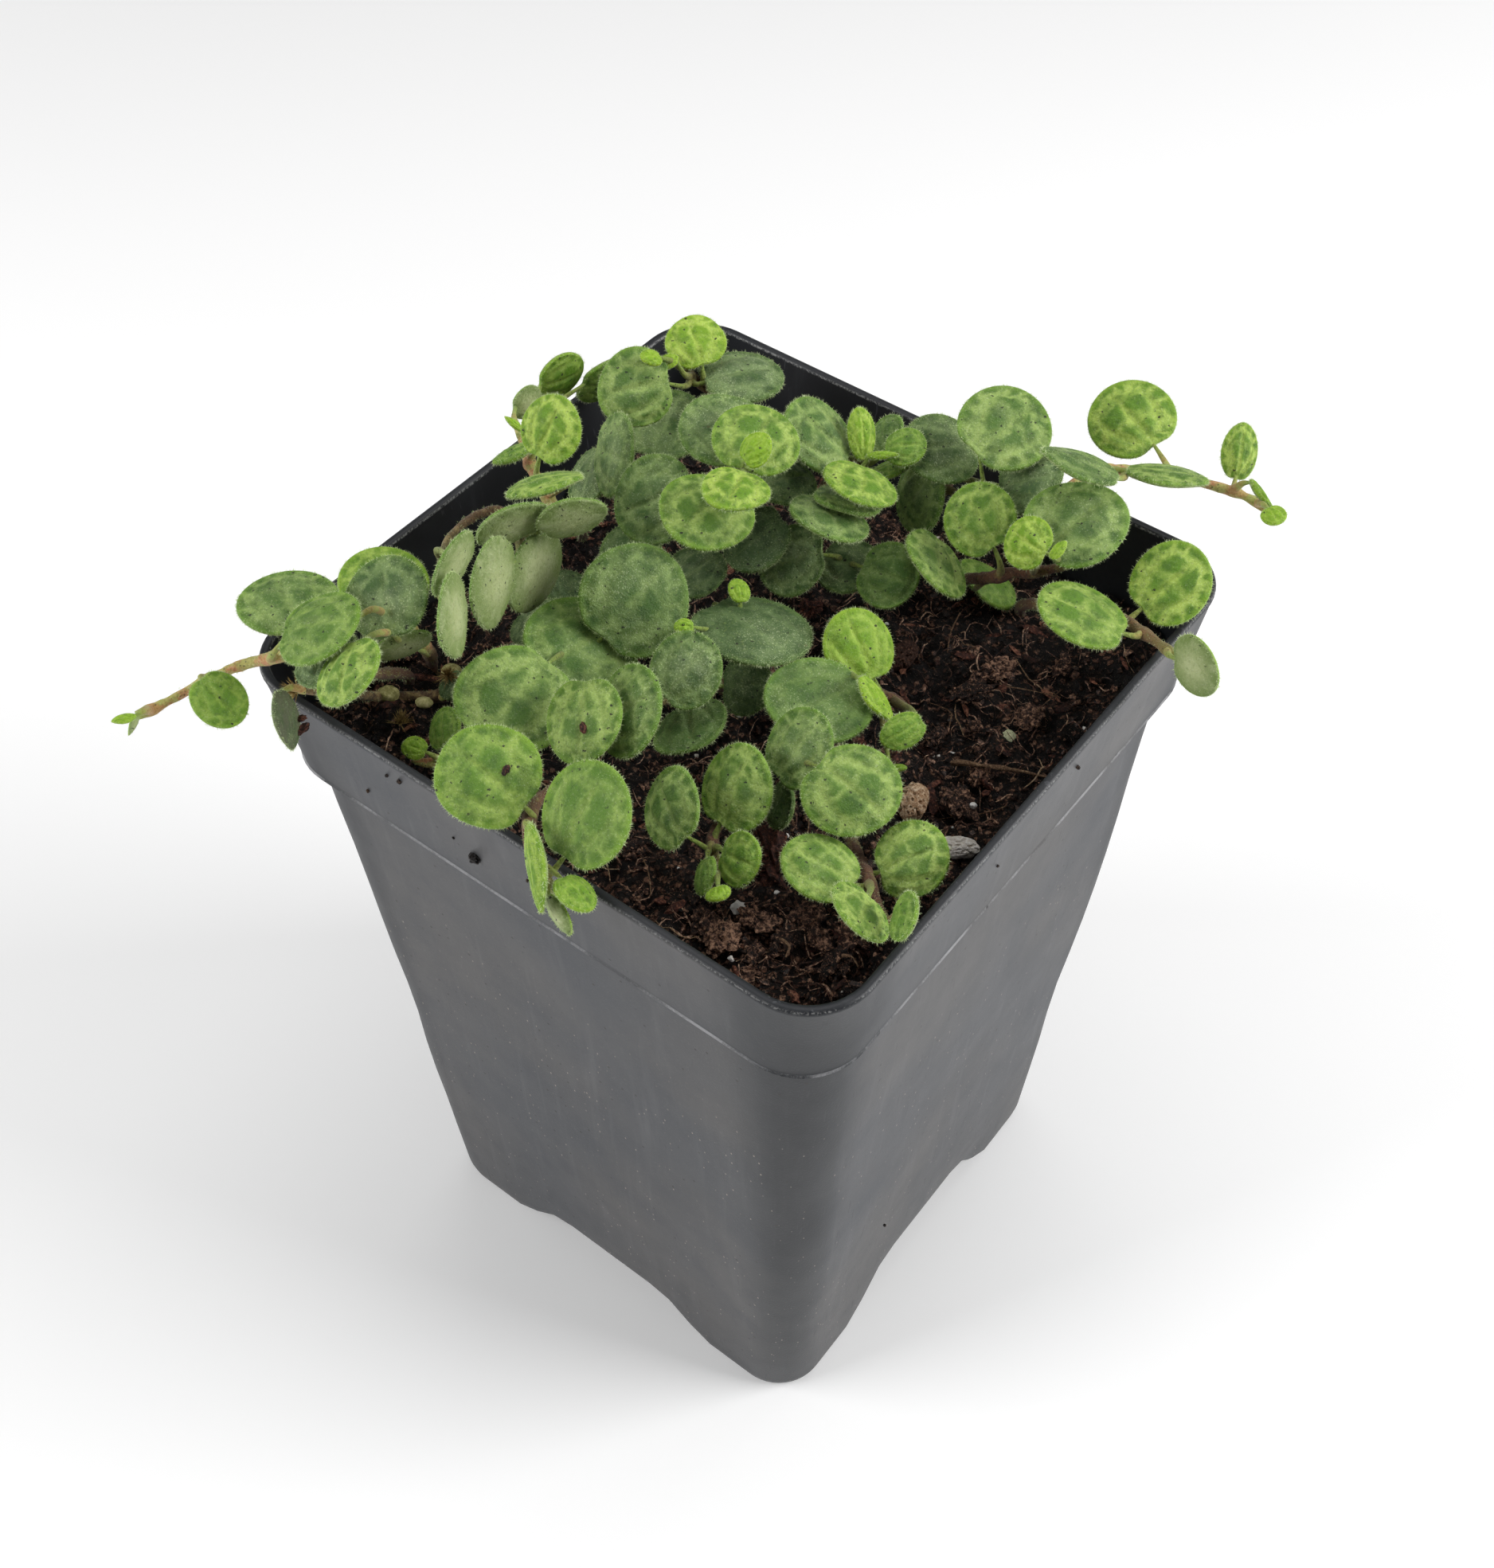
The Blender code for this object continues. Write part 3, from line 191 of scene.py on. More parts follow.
# Hairs, in millimetres, counts or shares. RIM_TILT is how far those on the rim lean to the belly and the top.
HAIR_RADIUS = 0.028
FUZZ_RADIUS = 0.018
TUFT_RADIUS = 0.1
HAIR_LONG = (0.2, 0.5)
DOWN_LONG = (0.15, 0.4)
HAIRS_PER_MM = 36.0
FUZZ_PER_LEAF = 170
FUZZ_PER_MM = 10.0
FUZZ_SPAN = 11
HAIR_SPAN = 6
FUZZ_SHARE = 0.5
FUZZ_OUT = (0.02, 0.9)
FUZZ_ON_TOP = 0.75
RIM_TILT = (-1.0, 1.2)
HAIR_SPREAD = 0.28
DOWN_SPREAD = 0.2
HAIR_SUNK = 0.05

# The fine pot and soil: steps along a side and round a corner, and rows from the middle to the edge. Dents of
# up to DENT millimetres, DENT_SIZE wide, grow to their full depth between two heights over the foot and two
# depths under the ledge.
POT_ARC = 12
POT_SIDE = 14
SOIL_SIDE = 70
FLOOR_ROWS = 24
SOIL_FLOOR_ROWS = 10
SOIL_ROWS = 90
DENT = 0.45
DENT_SIZE = 34
DENT_FROM_FOOT = (14, 39)
DENT_FROM_LEDGE = (4, 24)
BEAD = 0.22

# Bits of the soil: how many there are, and their least and most half sizes in millimetres, long, wide and
# high. The front heap begins and is full where the model's x less its y is FRONT_SOIL. ROUGH_CRUMB is how
# deeply crumbs are dented, as a share of their size, and how far they tip, in radians. CLOD_UP, BLOCK_UP and
# GRAIN_UP are the heights of what is placed one by one, over the soil's middle level.
FRONT_SOIL = (26.0, 54.0)
CRUMBS = 2800
CRUMB_SIZE = ((0.3, 0.2, 0.12), (1.2, 0.7, 0.5))
FRONT_CRUMBS = 1500
FRONT_CRUMB_SIZE = ((0.3, 0.2, 0.2), (0.7, 0.5, 0.5))
CHIPS = 230
CHIP_SIZE = ((0.6, 0.25, 0.12), (2.2, 0.7, 0.4))
MORE_CLODS = 22
CLOD_SPAN = (0.8, 1.7)
CLOD_SIZE = ((0.9, 0.6, 0.35), (1.5, 1.0, 0.55))
CLOD_CRUMBS = 60
CLOD_CRUMB_SIZE = (0.1, 0.34)
ROUGH_CRUMB = (0.45, 1.2)
MORE_GRAINS = 60
GRAIN_SIZE = (0.12, 0.4)
CLOD_UP, BLOCK_UP, GRAIN_UP = 1.2, 1.0, 1.4

# Threads and rootlets: how many, least and most length and radius, and how high they lie, in millimetres.
THREADS = (1350, (0.8, 4.0), (0.03, 0.13), 0.3)
ROOTLETS = (50, (3.0, 8.0), (0.06, 0.12), 0.4)

# The veins of a leaf whose stalk is at -1 and whose tip is at +1: rays leave STALK_POLE and bend to
# TIP_POLE. A ray's number is the sum of its two angles: a vein runs at each whole multiple of VEIN_STEP,
# and 0 is the midrib. They join in a ring at ARC, and short forks cross the rim at each FORK_STEP of its
# bearing. Between two rays, weaker veins cross at each CROSS_STEP of the way from STALK_POLE. The pairs say
# how far from a vein a cell begins and is full.
STALK_POLE = -1.04
TIP_POLE = 2.2
VEIN_STEP = 0.76
CROSS_STEP = 0.62
ARC = 0.72
FORK_STEP = 0.5
LANE_SHIFT = 0.37
BESIDE_VEIN = (-0.05, 0.3)
BESIDE_CROSS = (-0.02, 0.16)
BESIDE_FORK = (-0.04, 0.2)
BESIDE_ARC = (0.15, 0.0)
ARC_SOFT = 0.08

# The camera: bearing and height of its line of sight, and its place as shares of the rim's half width.
CAMERA_BEARING = math.radians(-52.387)
CAMERA_RISE = math.radians(49.657)
CAMERA_BACK, CAMERA_RIGHT, CAMERA_UP = 5.296, 0.0026, -0.4762
FOCAL_PIXELS = 2403.23
PHOTO_SIZE = (1876, 1969)
SENSOR = 36.0

# The stage: where the floor's glow begins and is full, in millimetres, how strongly the surround lights the
# plant and shows behind it, and the lamps, each with its place and power in watts. They face AIM, and are
# LAMP_SIZE wide.
FLOOR_WIDE = 6
FLOOR_GLOW = (350.0, 1300.0)
SURROUND_LIGHT = 0.16
SURROUND_SHOWN = 0.88
LAMPS = {"right": ((640, 380, 500), 6.6), "left": ((-480, -560, 480), 4.6), "top": ((-60, 160, 780), 1.6)}
LAMP_SIZE = 0.5
AIM = (0, 0, 90)

# Each vine: its route, as (across, away, lift), and its leaves, as
# (across, away, lift, span, squash, lie, side, slim, age).
# span is the long axis as seen, in mm. squash is the short axis over the long one. lie is the long axis'
# slope, in degrees. side is TOP, or UNDER where the viewer sees the leaf's underside; TOP_DOWN leans away
# at its lower edge. slim is the blade's own width over its length. age runs from 0, a bud, to 1, old.
TOP, UNDER, TOP_DOWN = "top", "under", "top down"

VINES = {
    "vine_left_trailer": (
        [(-40.5, -11.5, -11), (-44.5, -10.5, -8), (-50, -8.5, -2), (-55, -7.5, 3), (-58.5, -8.3, 4),
         (-62, -10, 4.5), (-66.5, -13.5, 4), (-70, -16.4, 3.5), (-71.5, -17.3, 3.5)],
        [(-57, 2.5, 6, 12.8, 0.66, 8, TOP, 1, 0.6),
         (-51.6, -2.2, 9, 11.8, 0.64, 38, TOP, 1, 0.5),
         (-62, -15, 5, 7.4, 0.88, -50, TOP, 0.95, 0.3),
         (-73, -17.8, 3.5, 3.0, 0.45, 12, TOP, 0.5, 0.05),
         (-71.6, -18.8, 3.2, 3.0, 0.35, 68, UNDER, 0.4, 0.1)]),
    "vine_left_inner": (
        [(-38, -8, -11), (-40, -5, -8), (-43, -2, -5), (-45, 1, -2.5), (-46, 3, -1)],
        [(-45.6, 6, 0, 11.6, 0.8, 0, TOP, 1, 0.3),
         (-44.8, 3.2, 4, 11.3, 0.9, 60, TOP, 1, 0.8),
         (-47.7, -11, 1, 9.9, 0.62, 52, TOP, 1, 0.4),
         (-42, -5.4, -2, 7.6, 0.45, 18, UNDER, 1, 0.5),
         (-50.8, -8.8, -3, 9.0, 0.6, 40, TOP, 1, 0.85)]),
    "old_runner": (
        [(-31.5, -13, -11), (-36, -14, -10.2), (-43, -14.2, -9.6), (-47, -13.8, -4.4), (-50.5, -13.2, 1.4),
         (-54.5, -13, 3)],
        [(-53.6, -18.3, 1.2, 7.4, 0.45, -78, TOP_DOWN, 0.6, 1.0),
         (-35, -12.2, -8.6, 4.2, 0.7, 60, TOP, 0.8, 0.9)]),
    "sprout_left": (
        [(-31, -24.5, -11), (-34.5, -24.6, -10.2), (-37, -24.6, -9.5), (-38.3, -24, -8.8)],
        [(-38.4, -22.3, -7.5, 3.3, 0.92, 0, TOP, 1, 0.15),
         (-35.2, -19, -8, 5.8, 0.7, 75, TOP, 1, 0.4)]),
    "vine_bent_back": (
        [(-28, 10, -11), (-28.6, 12.6, -6), (-29.8, 15.8, 0), (-32, 18.5, 4), (-35, 17.5, 6),
         (-38, 13, 6.5), (-38.3, 6, 6)],
        [(-30.5, 17, 8, 10.6, 0.48, 22, UNDER, 1, 0.6),
         (-22, 18, 6, 9.7, 0.54, 15, UNDER, 1, 0.6),
         (-37.6, 9, 6, 9.6, 0.42, 60, UNDER, 1, 0.6),
         (-36.5, -1.4, 6, 11.4, 0.37, 88, UNDER, 1, 0.6),
         (-32, 4.6, 5, 12.2, 0.48, 79, UNDER, 1, 0.6),
         (-26.8, 6.4, 2, 11.4, 0.56, 68, UNDER, 1, 0.65)]),
    "vine_back_left": (
        [(-21, 13.5, -11), (-23.4, 17, -7), (-26, 21.5, -2), (-28, 26, 3), (-29.2, 30, 7),
         (-30, 33, 9), (-30.6, 34.6, 10)],
        [(-26.2, 36, 12, 9.8, 0.86, 82, TOP, 1, 0.25),
         (-31.6, 29.6, 8, 6.4, 0.36, 25, TOP, 0.8, 0.4),
         (-27.6, 24, 6, 11.2, 0.27, 14, TOP, 0.9, 0.4),
         (-25.4, 46.4, 6, 8.4, 0.62, 45, TOP_DOWN, 1, 0.3),
         (-18.8, 45.6, 4, 9.6, 0.5, 32, TOP_DOWN, 1, 0.45),
         (-29.8, 41, 8, 5.2, 0.75, 50, UNDER, 1, 0.4),
         (-31.6, 36.4, 10.4, 3.2, 0.4, -40, TOP, 0.45, 0.05)]),
    "vine_back_mid": (
        [(-14, 17, -11), (-15.5, 21, -7), (-17.5, 25.5, -2), (-19, 30, 2), (-18, 34, 4)],
        [(-17.3, 29.4, 5, 11.6, 0.5, 82, TOP, 1, 0.7),
         (-20.6, 25, 0, 9.0, 0.6, 60, TOP, 1, 0.85),
         (-11, 36.5, 1, 12.4, 0.8, 10, TOP, 1, 0.75)]),
    "vine_back_top": (
        [(-3, 33, -11), (-3, 37.5, -6), (-4.6, 42.5, 0), (-7.5, 46.5, 5), (-9.6, 49.4, 8)],
        [(-7.3, 55, 10, 8.9, 0.88, 5, TOP, 1, 0.15),
         (-13.6, 50.6, 11, 3.4, 0.75, -20, TOP, 1, 0.05),
         (-11.2, 49.8, 11.4, 3.2, 0.75, 20, TOP, 1, 0.05),
         (-15.6, 43.8, 9, 11.3, 0.95, 70, TOP, 1, 0.55),
         (0, 47.2, 6, 12.6, 0.58, -4, TOP, 1, 0.85)]),
    "vine_top": (
        [(0.5, 19.5, -11), (0.2, 20.6, -5), (-0.2, 22.2, 2), (-0.6, 24.6, 8), (-0.8, 27, 11)],
        [(1.6, 31.2, 14, 5.2, 0.86, 60, TOP, 1, 0.08),
         (1.6, 34, 11, 12.4, 0.8, -10, TOP, 1, 0.4),
         (-3.2, 36, 7, 13.2, 0.76, -4, TOP, 1, 0.75),
         (-1.6, 22.4, 13, 9.3, 0.66, -8, TOP, 1, 0.25),
         (-5.6, 18, 10, 12.8, 0.8, -14, TOP, 1, 0.45),
         (-12.2, 20.4, 7, 12.2, 0.92, 60, TOP, 1, 0.7),
         (5.4, 24.8, 4, 9.4, 0.7, -20, TOP, 1, 0.85)]),
    "vine_back_right_bud": (
        [(9, 17, -11), (9.4, 20.4, -6), (10.8, 24.8, 0), (12.8, 27.3, 5), (15.2, 29, 8)],
        [(9.4, 34.6, 7, 11.8, 0.72, -52, TOP, 1, 0.6),
         (15.6, 34.6, 11, 7.4, 0.55, 95, TOP, 0.62, 0.15),
         (18.6, 29.8, 11.5, 4.4, 0.3, 4, TOP, 0.4, 0.1),
         (18.8, 34.4, 6, 6.4, 0.7, 60, TOP, 1, 0.6),
         (21.6, 31.4, 8, 6.2, 0.85, 20, TOP, 1, 0.38),
         (19.8, 27.4, 6, 6.6, 0.4, 20, TOP, 0.8, 0.4),
         (15, 23.4, 10, 10.6, 0.52, -24, TOP, 1, 0.3),
         (13.6, 20.2, 5, 9.6, 0.42, -14, TOP, 1, 0.6),
         (11, 16.6, 3, 11.2, 0.5, -22, TOP, 1, 0.65)]),
    "vine_back_right": (
        [(22, 12, -11), (23.6, 17, -6), (26, 23, 0), (29, 28, 5), (32, 31.4, 8)],
        [(35.6, 36, 11, 13.2, 0.88, -20, TOP, 1, 0.55),
         (25.6, 31, 6, 11.2, 0.82, -30, TOP, 1, 0.8),
         (22.2, 21.2, 5, 10.7, 0.62, 84, TOP, 1, 0.65),
         (37.6, 24.4, 1, 10.4, 0.75, 40, TOP, 1, 0.85)]),
    "vine_right_trailer": (
        [(33, 9, -11), (34.5, 11, -8), (37, 15.5, -3.5), (40.5, 21, 2), (45.5, 25.8, 6.5),
         (50, 26.5, 9), (56, 25.4, 9), (61.5, 23.4, 9), (65, 21.4, 8.6), (67.6, 18.8, 8)],
        [(52, 38, 11, 12.3, 0.88, 10, TOP, 1, 0.3),
         (43.4, 28.4, 10, 11.6, 0.34, -22, TOP, 0.9, 0.65),
         (56.6, 25.6, 10.5, 11.4, 0.28, -8, TOP, 0.9, 0.5),
         (66, 30.8, 9.5, 7.8, 0.64, 84, TOP, 0.7, 0.3),
         (67.4, 21.4, 9, 4.6, 0.2, -52, TOP, 0.35, 0.2),
         (68.2, 17.4, 8, 3.4, 0.85, 0, TOP, 1, 0.1)]),
    "vine_right": (
        [(27, 4.6, -11), (30, 6, -9.6), (34, 7, -8.4), (38, 7.5, -6), (40.6, 8.6, -2), (41, 10.2, 2)],
        [(43, 17, 6, 13.6, 0.86, 6, TOP, 1, 0.6),
         (30, 17.4, 5, 10.0, 0.94, 80, TOP, 1, 0.4),
         (35.6, 12.8, 8, 7.1, 0.9, 70, TOP, 1, 0.2),
         (39.8, 11.4, 8.6, 3.0, 0.6, 50, TOP, 0.7, 0.08),
         (30.4, 5.4, -3, 9.4, 0.5, -38, TOP, 1, 0.45)]),
    "vine_right_corner": (
        [(34, 0.5, -11), (37.5, 1.2, -8.6), (41, 2, -6.4), (45, 0, -3), (48.4, -3.6, 0.6),
         (51, -6.6, 2.8), (51.8, -7.8, 3)],
        [(53.4, 5.4, 5, 11.1, 0.92, 60, TOP, 1, 0.32),
         (41, 0, 1, 12.2, 0.62, -27, TOP, 1, 0.4),
         (54.4, -9.2, 3.4, 8.0, 0.68, -66, UNDER, 1, 0.25)]),
    "vine_centre_right": (
        [(19, 4, -11), (17, 6, -9), (13, 8.4, -6.5), (8, 10.5, -4), (3, 12, -2)],
        [(24, 8, 1, 10.8, 0.5, -52, TOP, 1, 0.5),
         (18, 6.4, -1, 8.8, 0.92, 60, TOP, 1, 0.6),
         (13.2, 8, -4, 9.0, 0.8, 10, TOP, 1, 0.85),
         (5.6, 9.2, -1, 9.8, 0.88, 50, TOP, 1, 0.8),
         (1, 12.8, 2, 9.8, 0.8, 40, TOP, 1, 0.9)]),
    "vine_centre": (
        [(-11, -3, -11), (-14, -1, -8), (-17, -1.4, -6), (-20, -6, -5.5), (-23, -10, -5)],
        [(-13.6, 2.4, 4, 14.6, 0.96, 90, TOP, 1, 0.7),
         (-20.4, -5.6, 3, 14.4, 0.78, -20, TOP, 1, 0.6),
         (-27.6, -14.8, 3, 14.4, 0.9, -10, TOP, 1, 0.55),
         (-14.6, 12, 0, 8.4, 0.85, 30, TOP, 1, 0.8),
         (-6.2, 7.4, -2, 8.6, 0.8, 20, TOP, 1, 0.9),
         (-21.6, 3.6, -4, 8.4, 0.7, -35, TOP, 1, 0.9),
         (-26, -1.6, -4, 8.4, 0.5, 38, TOP, 1, 0.9)]),
    "vine_folded": (
        [(2, -9, -11), (0.5, -6, -9.4), (-1.4, -2, -7.4), (-3, 1.6, -5)],
        [(1.2, -3.4, 1, 15.6, 0.56, -8, TOP, 1, 0.9),
         (-0.9, 4, 2.6, 3.4, 0.85, -60, TOP, 1, 0.1),
         (-7.7, -2.6, 2.4, 2.6, 0.9, 0, TOP, 1, 0.12)]),
    "vine_front_centre": (
        [(-3, -13, -11), (-6, -13.6, -9.4), (-10, -15, -7.6), (-14, -17, -6), (-17, -19, -5)],
        [(-7, -9.6, 0, 9.8, 0.92, 70, TOP, 1, 0.75),
         (0.2, -12.4, -3, 7.8, 0.85, 80, TOP, 1, 0.85),
         (-13.4, -16.2, 2, 11.6, 0.68, 78, TOP, 1, 0.6),
         (-19, -18.6, 5, 11.0, 0.82, 70, TOP, 1, 0.5),
         (-6.4, -19.4, -3, 9.8, 0.62, 30, TOP, 1, 0.75)]),
    "vine_front_left": (
        [(-18.5, -27, -11), (-20.8, -28, -8), (-23, -29.6, -4), (-24, -31.4, 0.6), (-24.2, -34.2, 3),
         (-23.8, -37.4, 2.6), (-22, -41, 0.8), (-19.6, -44.6, -1)],
        [(-29.6, -26.4, 5, 12.6, 0.98, 0, TOP, 1, 0.4),
         (-17.8, -31.6, 4, 13.0, 0.8, 80, TOP, 1, 0.46),
         (-23, -40.8, 4, 10.2, 0.24, -82, TOP, 0.5, 0.25),
         (-19.8, -46.6, 0.6, 5.2, 0.4, -60, UNDER, 0.6, 0.2),
         (-18.2, -43.6, 1.4, 5.4, 0.72, -35, TOP, 1, 0.25)]),
    "vine_front_mid": (
        [(1, -29, -11), (-1.6, -31.4, -9.2), (-3.4, -34.6, -8), (-3.6, -38, -7.6), (-2.6, -41, -8)],
        [(-8.6, -31, -2, 9.8, 0.68, 84, TOP, 1, 0.55),
         (-1, -28, -2, 10.7, 0.8, 82, TOP, 1, 0.48),
         (-0.6, -38.8, -5, 6.6, 0.78, 80, TOP, 1, 0.35),
         (-4.6, -41.4, -6.4, 4.8, 0.55, 75, TOP, 1, 0.45),
         (-3, -43.6, -6.4, 3.0, 0.7, 20, TOP, 1, 0.1)]),
    "vine_front_right": (
        [(18, -17, -11), (16, -14, -9), (13, -11, -6.6), (9, -10.6, -4.4)],
        [(13.6, -5.6, 1, 9.8, 0.9, -65, TOP, 1, 0.2),
         (8.2, -15.2, -1, 13.4, 0.78, -12, TOP, 1, 0.65),
         (15.6, -15, -2, 6.8, 0.4, -55, TOP, 0.7, 0.1),
         (18.2, -19.8, -4, 5.8, 0.72, 28, TOP, 0.75, 0.3),
         (17.6, -25.4, -9, 2.4, 0.5, 5, TOP, 0.8, 0.2)]),
    "vine_front_low": (
        [(14, -24, -11), (11.6, -24.4, -9.4), (8, -25, -8), (4.6, -27, -7.6)],
        [(6.4, -22, 1, 10.0, 0.82, 68, TOP, 1, 0.6),
         (12.2, -29, 1, 11.8, 0.92, 0, TOP, 1, 0.5),
         (3.6, -31.4, -7, 6.0, 0.6, 80, TOP, 1, 0.8)]),
    "vine_front_corner": (
        [(11.6, -36.6, -11), (12.6, -39.2, -9.6), (13.4, -42, -8.8), (14.6, -46, -8.4), (15.6, -49, -8.4)],
        [(8, -39.4, -3.6, 9.6, 0.8, -30, TOP, 1, 0.45),
         (18.4, -38.6, -3, 9.4, 0.92, 60, TOP, 1, 0.45),
         (12.2, -46.2, -5.6, 8.2, 0.55, -48, TOP, 1, 0.42),
         (17.2, -46.4, -5.6, 5.8, 0.55, 72, TOP, 1, 0.42)]),
}

# Loose lumps on the soil: (across, away, lift) as seen, half sizes, turn in degrees, finish, slot, and how
# deep their pits are as a share of their size.
LUMPS = {
    "pumice_stone": ((18.9, -30.4, -10.6), (1.9, 2.7, 1.7), 20, "pumice", "stone", 0.28),
    "pitted_chunk": ((19.0, -7.4, -10.8), (1.7, 2.6, 1.4), 10, "brown_chunk", "stone", 0.3),
    "perlite_lump": ((23.4, -37.0, -10.9), (2.7, 1.4, 1.2), 35, "white_perlite", "perlite", 0.32),
    "perlite_grain": ((30.3, -20.8, -11.2), (1.1, 1.2, 0.9), 0, "green_white_grain", "perlite", 0.15),
}

# Clods of stuck crumbs that show at the front: (across, away) as seen, and half their size.
CLODS = [(2.5, -46.8, 1.6), (6.3, -46.4, 2.2), (11.7, -48.8, 2.0), (-6.0, -44.6, 1.8), (4.1, -50.0, 1.5),
         (-2.6, -49.4, 1.7), (9.6, -52.6, 1.6), (-12.4, -37.6, 1.5), (0.4, -46.4, 1.5), (7.8, -49.6, 1.7),
         (-4.4, -47.4, 1.5), (0.6, -51.6, 1.5), (26.4, -13.5, 1.7), (30.5, -9.6, 1.9), (28.0, -11.2, 1.5),
         (24.0, -30.4, 1.6), (26.8, -26.2, 1.5), (33.0, -17.6, 1.6), (22.0, -20.8, 1.5), (38.0, -9.0, 1.4)]

# Big bits of bark: (across, away) as seen, half sizes, and heading in degrees from the right.
BARK_BLOCKS = [((2.9, -38.6), (4.6, 2.3, 1.7), -72), ((7.7, 0.5), (1.6, 1.1, 0.8), 30)]

# Grains of perlite that can be told apart: (across, away) as seen, and half size.
GRAINS = [((-0.9, -45.3), 0.9), ((25.6, -31.0), 0.5), ((-1.6, -52.0), 0.4)]

# Twigs, rootlets and curls on the soil that can be told apart: (across, away, lift) as seen, and radius.
TWIGS = [([(23.6, -24.6, -10.6), (27, -25, -9.6), (31, -25.8, -9.8), (34.4, -26.8, -10.6)], 0.36),
         ([(26.3, -0.2, -9.6), (25, -3.4, -9.8), (24.3, -7, -10.6)], 0.09),
         ([(31, -12.6, -10.4), (34.3, -13.4, -9.8), (37.2, -14.4, -10.4)], 0.1),
         ([(33.4, -17.6, -10.6), (35.4, -15.2, -10), (37.6, -13, -10.4)], 0.09),
         ([(3.6, -49.4, -9.4), (4.6, -50.4, -8.9), (4.2, -51.8, -9.4)], 0.2),
         ([(10.2, -51.6, -9.8), (11.2, -51.8, -9.2), (11.8, -53, -9.8)], 0.16),
         ([(-19, -37, -10), (-17.4, -38.4, -8.6), (-17, -40.6, -9.4)], 0.16)]

# Dirt on the pot's outer skin, in mm of the model: place, and half size.
WALL_DIRT = [((-6.4, -43.5, 113.2), 1.0), ((2.4, -43.8, 116.2), 0.28), ((-16.6, -44.3, 120.4), 0.4),
             ((-18.8, -44.2, 119.8), 0.3), ((-24.3, -43.4, 112.3), 0.3), ((-9.6, -43.6, 114.6), 0.22),
             ((38.6, -17.0, 34.7), 0.3), ((44.2, 6.4, 119.4), 0.35), ((43.9, -10.0, 117.0), 0.22)]

# Stems that differ from PLAIN_TONE: 0 is yellow-green, 1 red-brown.
STEM_TONES = {"vine_left_trailer": 0.12, "old_runner": 0.3, "sprout_left": 0.1, "vine_right_trailer": 0.22,
              "vine_back_left": 0.35, "vine_front_left": 0.7, "vine_left_inner": 0.25,
              "vine_right_corner": 0.6}

# Dry husk on a stem, from none to all of it.
STEM_DRY = {"old_runner": 1.0, "vine_bent_back": 0.55}

# Dry tufts and buds on the old runner: (across, away, lift) as seen, heading, hairs, and length in mm.
TUFTS = [((-53.2, -13.3, 3.0), (-1, 0.1, 0.1), 110, 2.2), ((-35.6, -10.8, -7.0), (0.2, -0.6, 0.9), 130, 2.2),
         ((-40.4, -18.6, -9.8), (0.2, 0.2, 1), 130, 2.2), ((-33.4, -14.6, -8.6), (0.1, -0.2, 1), 80, 1.8)]
BUDS = [((-42.4, -13.8, -8.8), (1.5, 1.2, 1.0)), ((-35.2, -10.4, -8.2), (1.5, 1.3, 1.1)),
        ((-38.0, -15.2, -9.6), (1.2, 0.8, 0.7))]

# Bits that lie on a leaf: (vine, leaf, share towards the tip, share to its side, size in mm).
SCRAPS = [
    ("vine_front_centre", 3, 0.2, 0.1, 0.7),
    ("vine_front_left", 0, -0.15, -0.3, 0.7),
    ("old_runner", 0, 0.1, 0.95, 0.8),
    ("old_runner", 0, 0.45, 1.0, 0.9),
]


def unit(vectors):
    """Each vector divided by its own length."""
    return vectors / np.linalg.norm(vectors, axis=-1, keepdims=True)


def ease(value, low=0.0, high=1.0):
    """Rises smoothly from 0 at low to 1 at high: three squares of the share of the way, less two cubes."""
    share = np.clip((value - low) / (high - low), 0, 1)
    return share * share * (3 - 2 * share)


def world(plan):
    """Turns plan points (across, away, lift) in mm into points of the model in mm."""
    plan = np.asarray(plan, float)
    cos, sin = math.cos(VIEW_TURN), math.sin(VIEW_TURN)
    x = plan[..., 0] * cos - plan[..., 1] * sin
    y = plan[..., 0] * sin + plan[..., 1] * cos
    return np.stack([x, y, plan[..., 2] + POT_HEIGHT], -1)


EYE = world((0, -EYE_BACK, EYE_UP))


def heading_of(plan):
    """A direction of the plan as a direction of the model, of length 1."""
    return unit(world(plan) - world((0, 0, 0)))


def place(seen):
    """A point seen on the rim's plane at (across, away) slides along its line of sight up to its lift."""
    seen = np.asarray(seen, float)
    on_rim = world(seen * (1, 1, 0))
    return on_rim + (EYE - on_rim) * (seen[..., 2:] / EYE_UP)


def smooth(points, per_leg=4):
    """A Catmull-Rom curve through the points, with per_leg steps between each two."""
    points = np.asarray(points, float)
    ends = np.vstack([2 * points[0] - points[1], points, 2 * points[-1] - points[-2]])
    t = np.arange(per_leg)[:, None] / per_leg
    legs = []
    for a, b, c, d in zip(ends, ends[1:], ends[2:], ends[3:]):
        slope, bend, twist = c - a, 2 * a - 5 * b + 4 * c - d, 3 * b - a - 3 * c + d
        legs.append(0.5 * (2 * b + slope * t + bend * t**2 + twist * t**3))
    return np.vstack([*legs, points[-1:]])


def evenly(path, per_leg=4):
    """Points evenly along each leg of a path."""
    t = np.arange(per_leg)[:, None] / per_leg
    return np.vstack([a + (b - a) * t for a, b in zip(path, path[1:])] + [path[-1:]])


def on_soil(across, away, up):
    """A point seen at (across, away) whose height over the soil's middle level is up."""
    return place((across, away, up - SOIL_DROP))


def soil_top(x, y):
    """Height of the soil over the pot's underside: low lumps of three waves, in mm."""
    broad = np.sin(0.31 * x + 1.1) * np.cos(0.27 * y - 0.4)
    fine = 0.6 * np.sin(0.55 * x - 0.47 * y) * np.cos(0.2 * x + 2)
    return POT_HEIGHT - SOIL_DROP + SOIL_LUMP * (broad + fine)


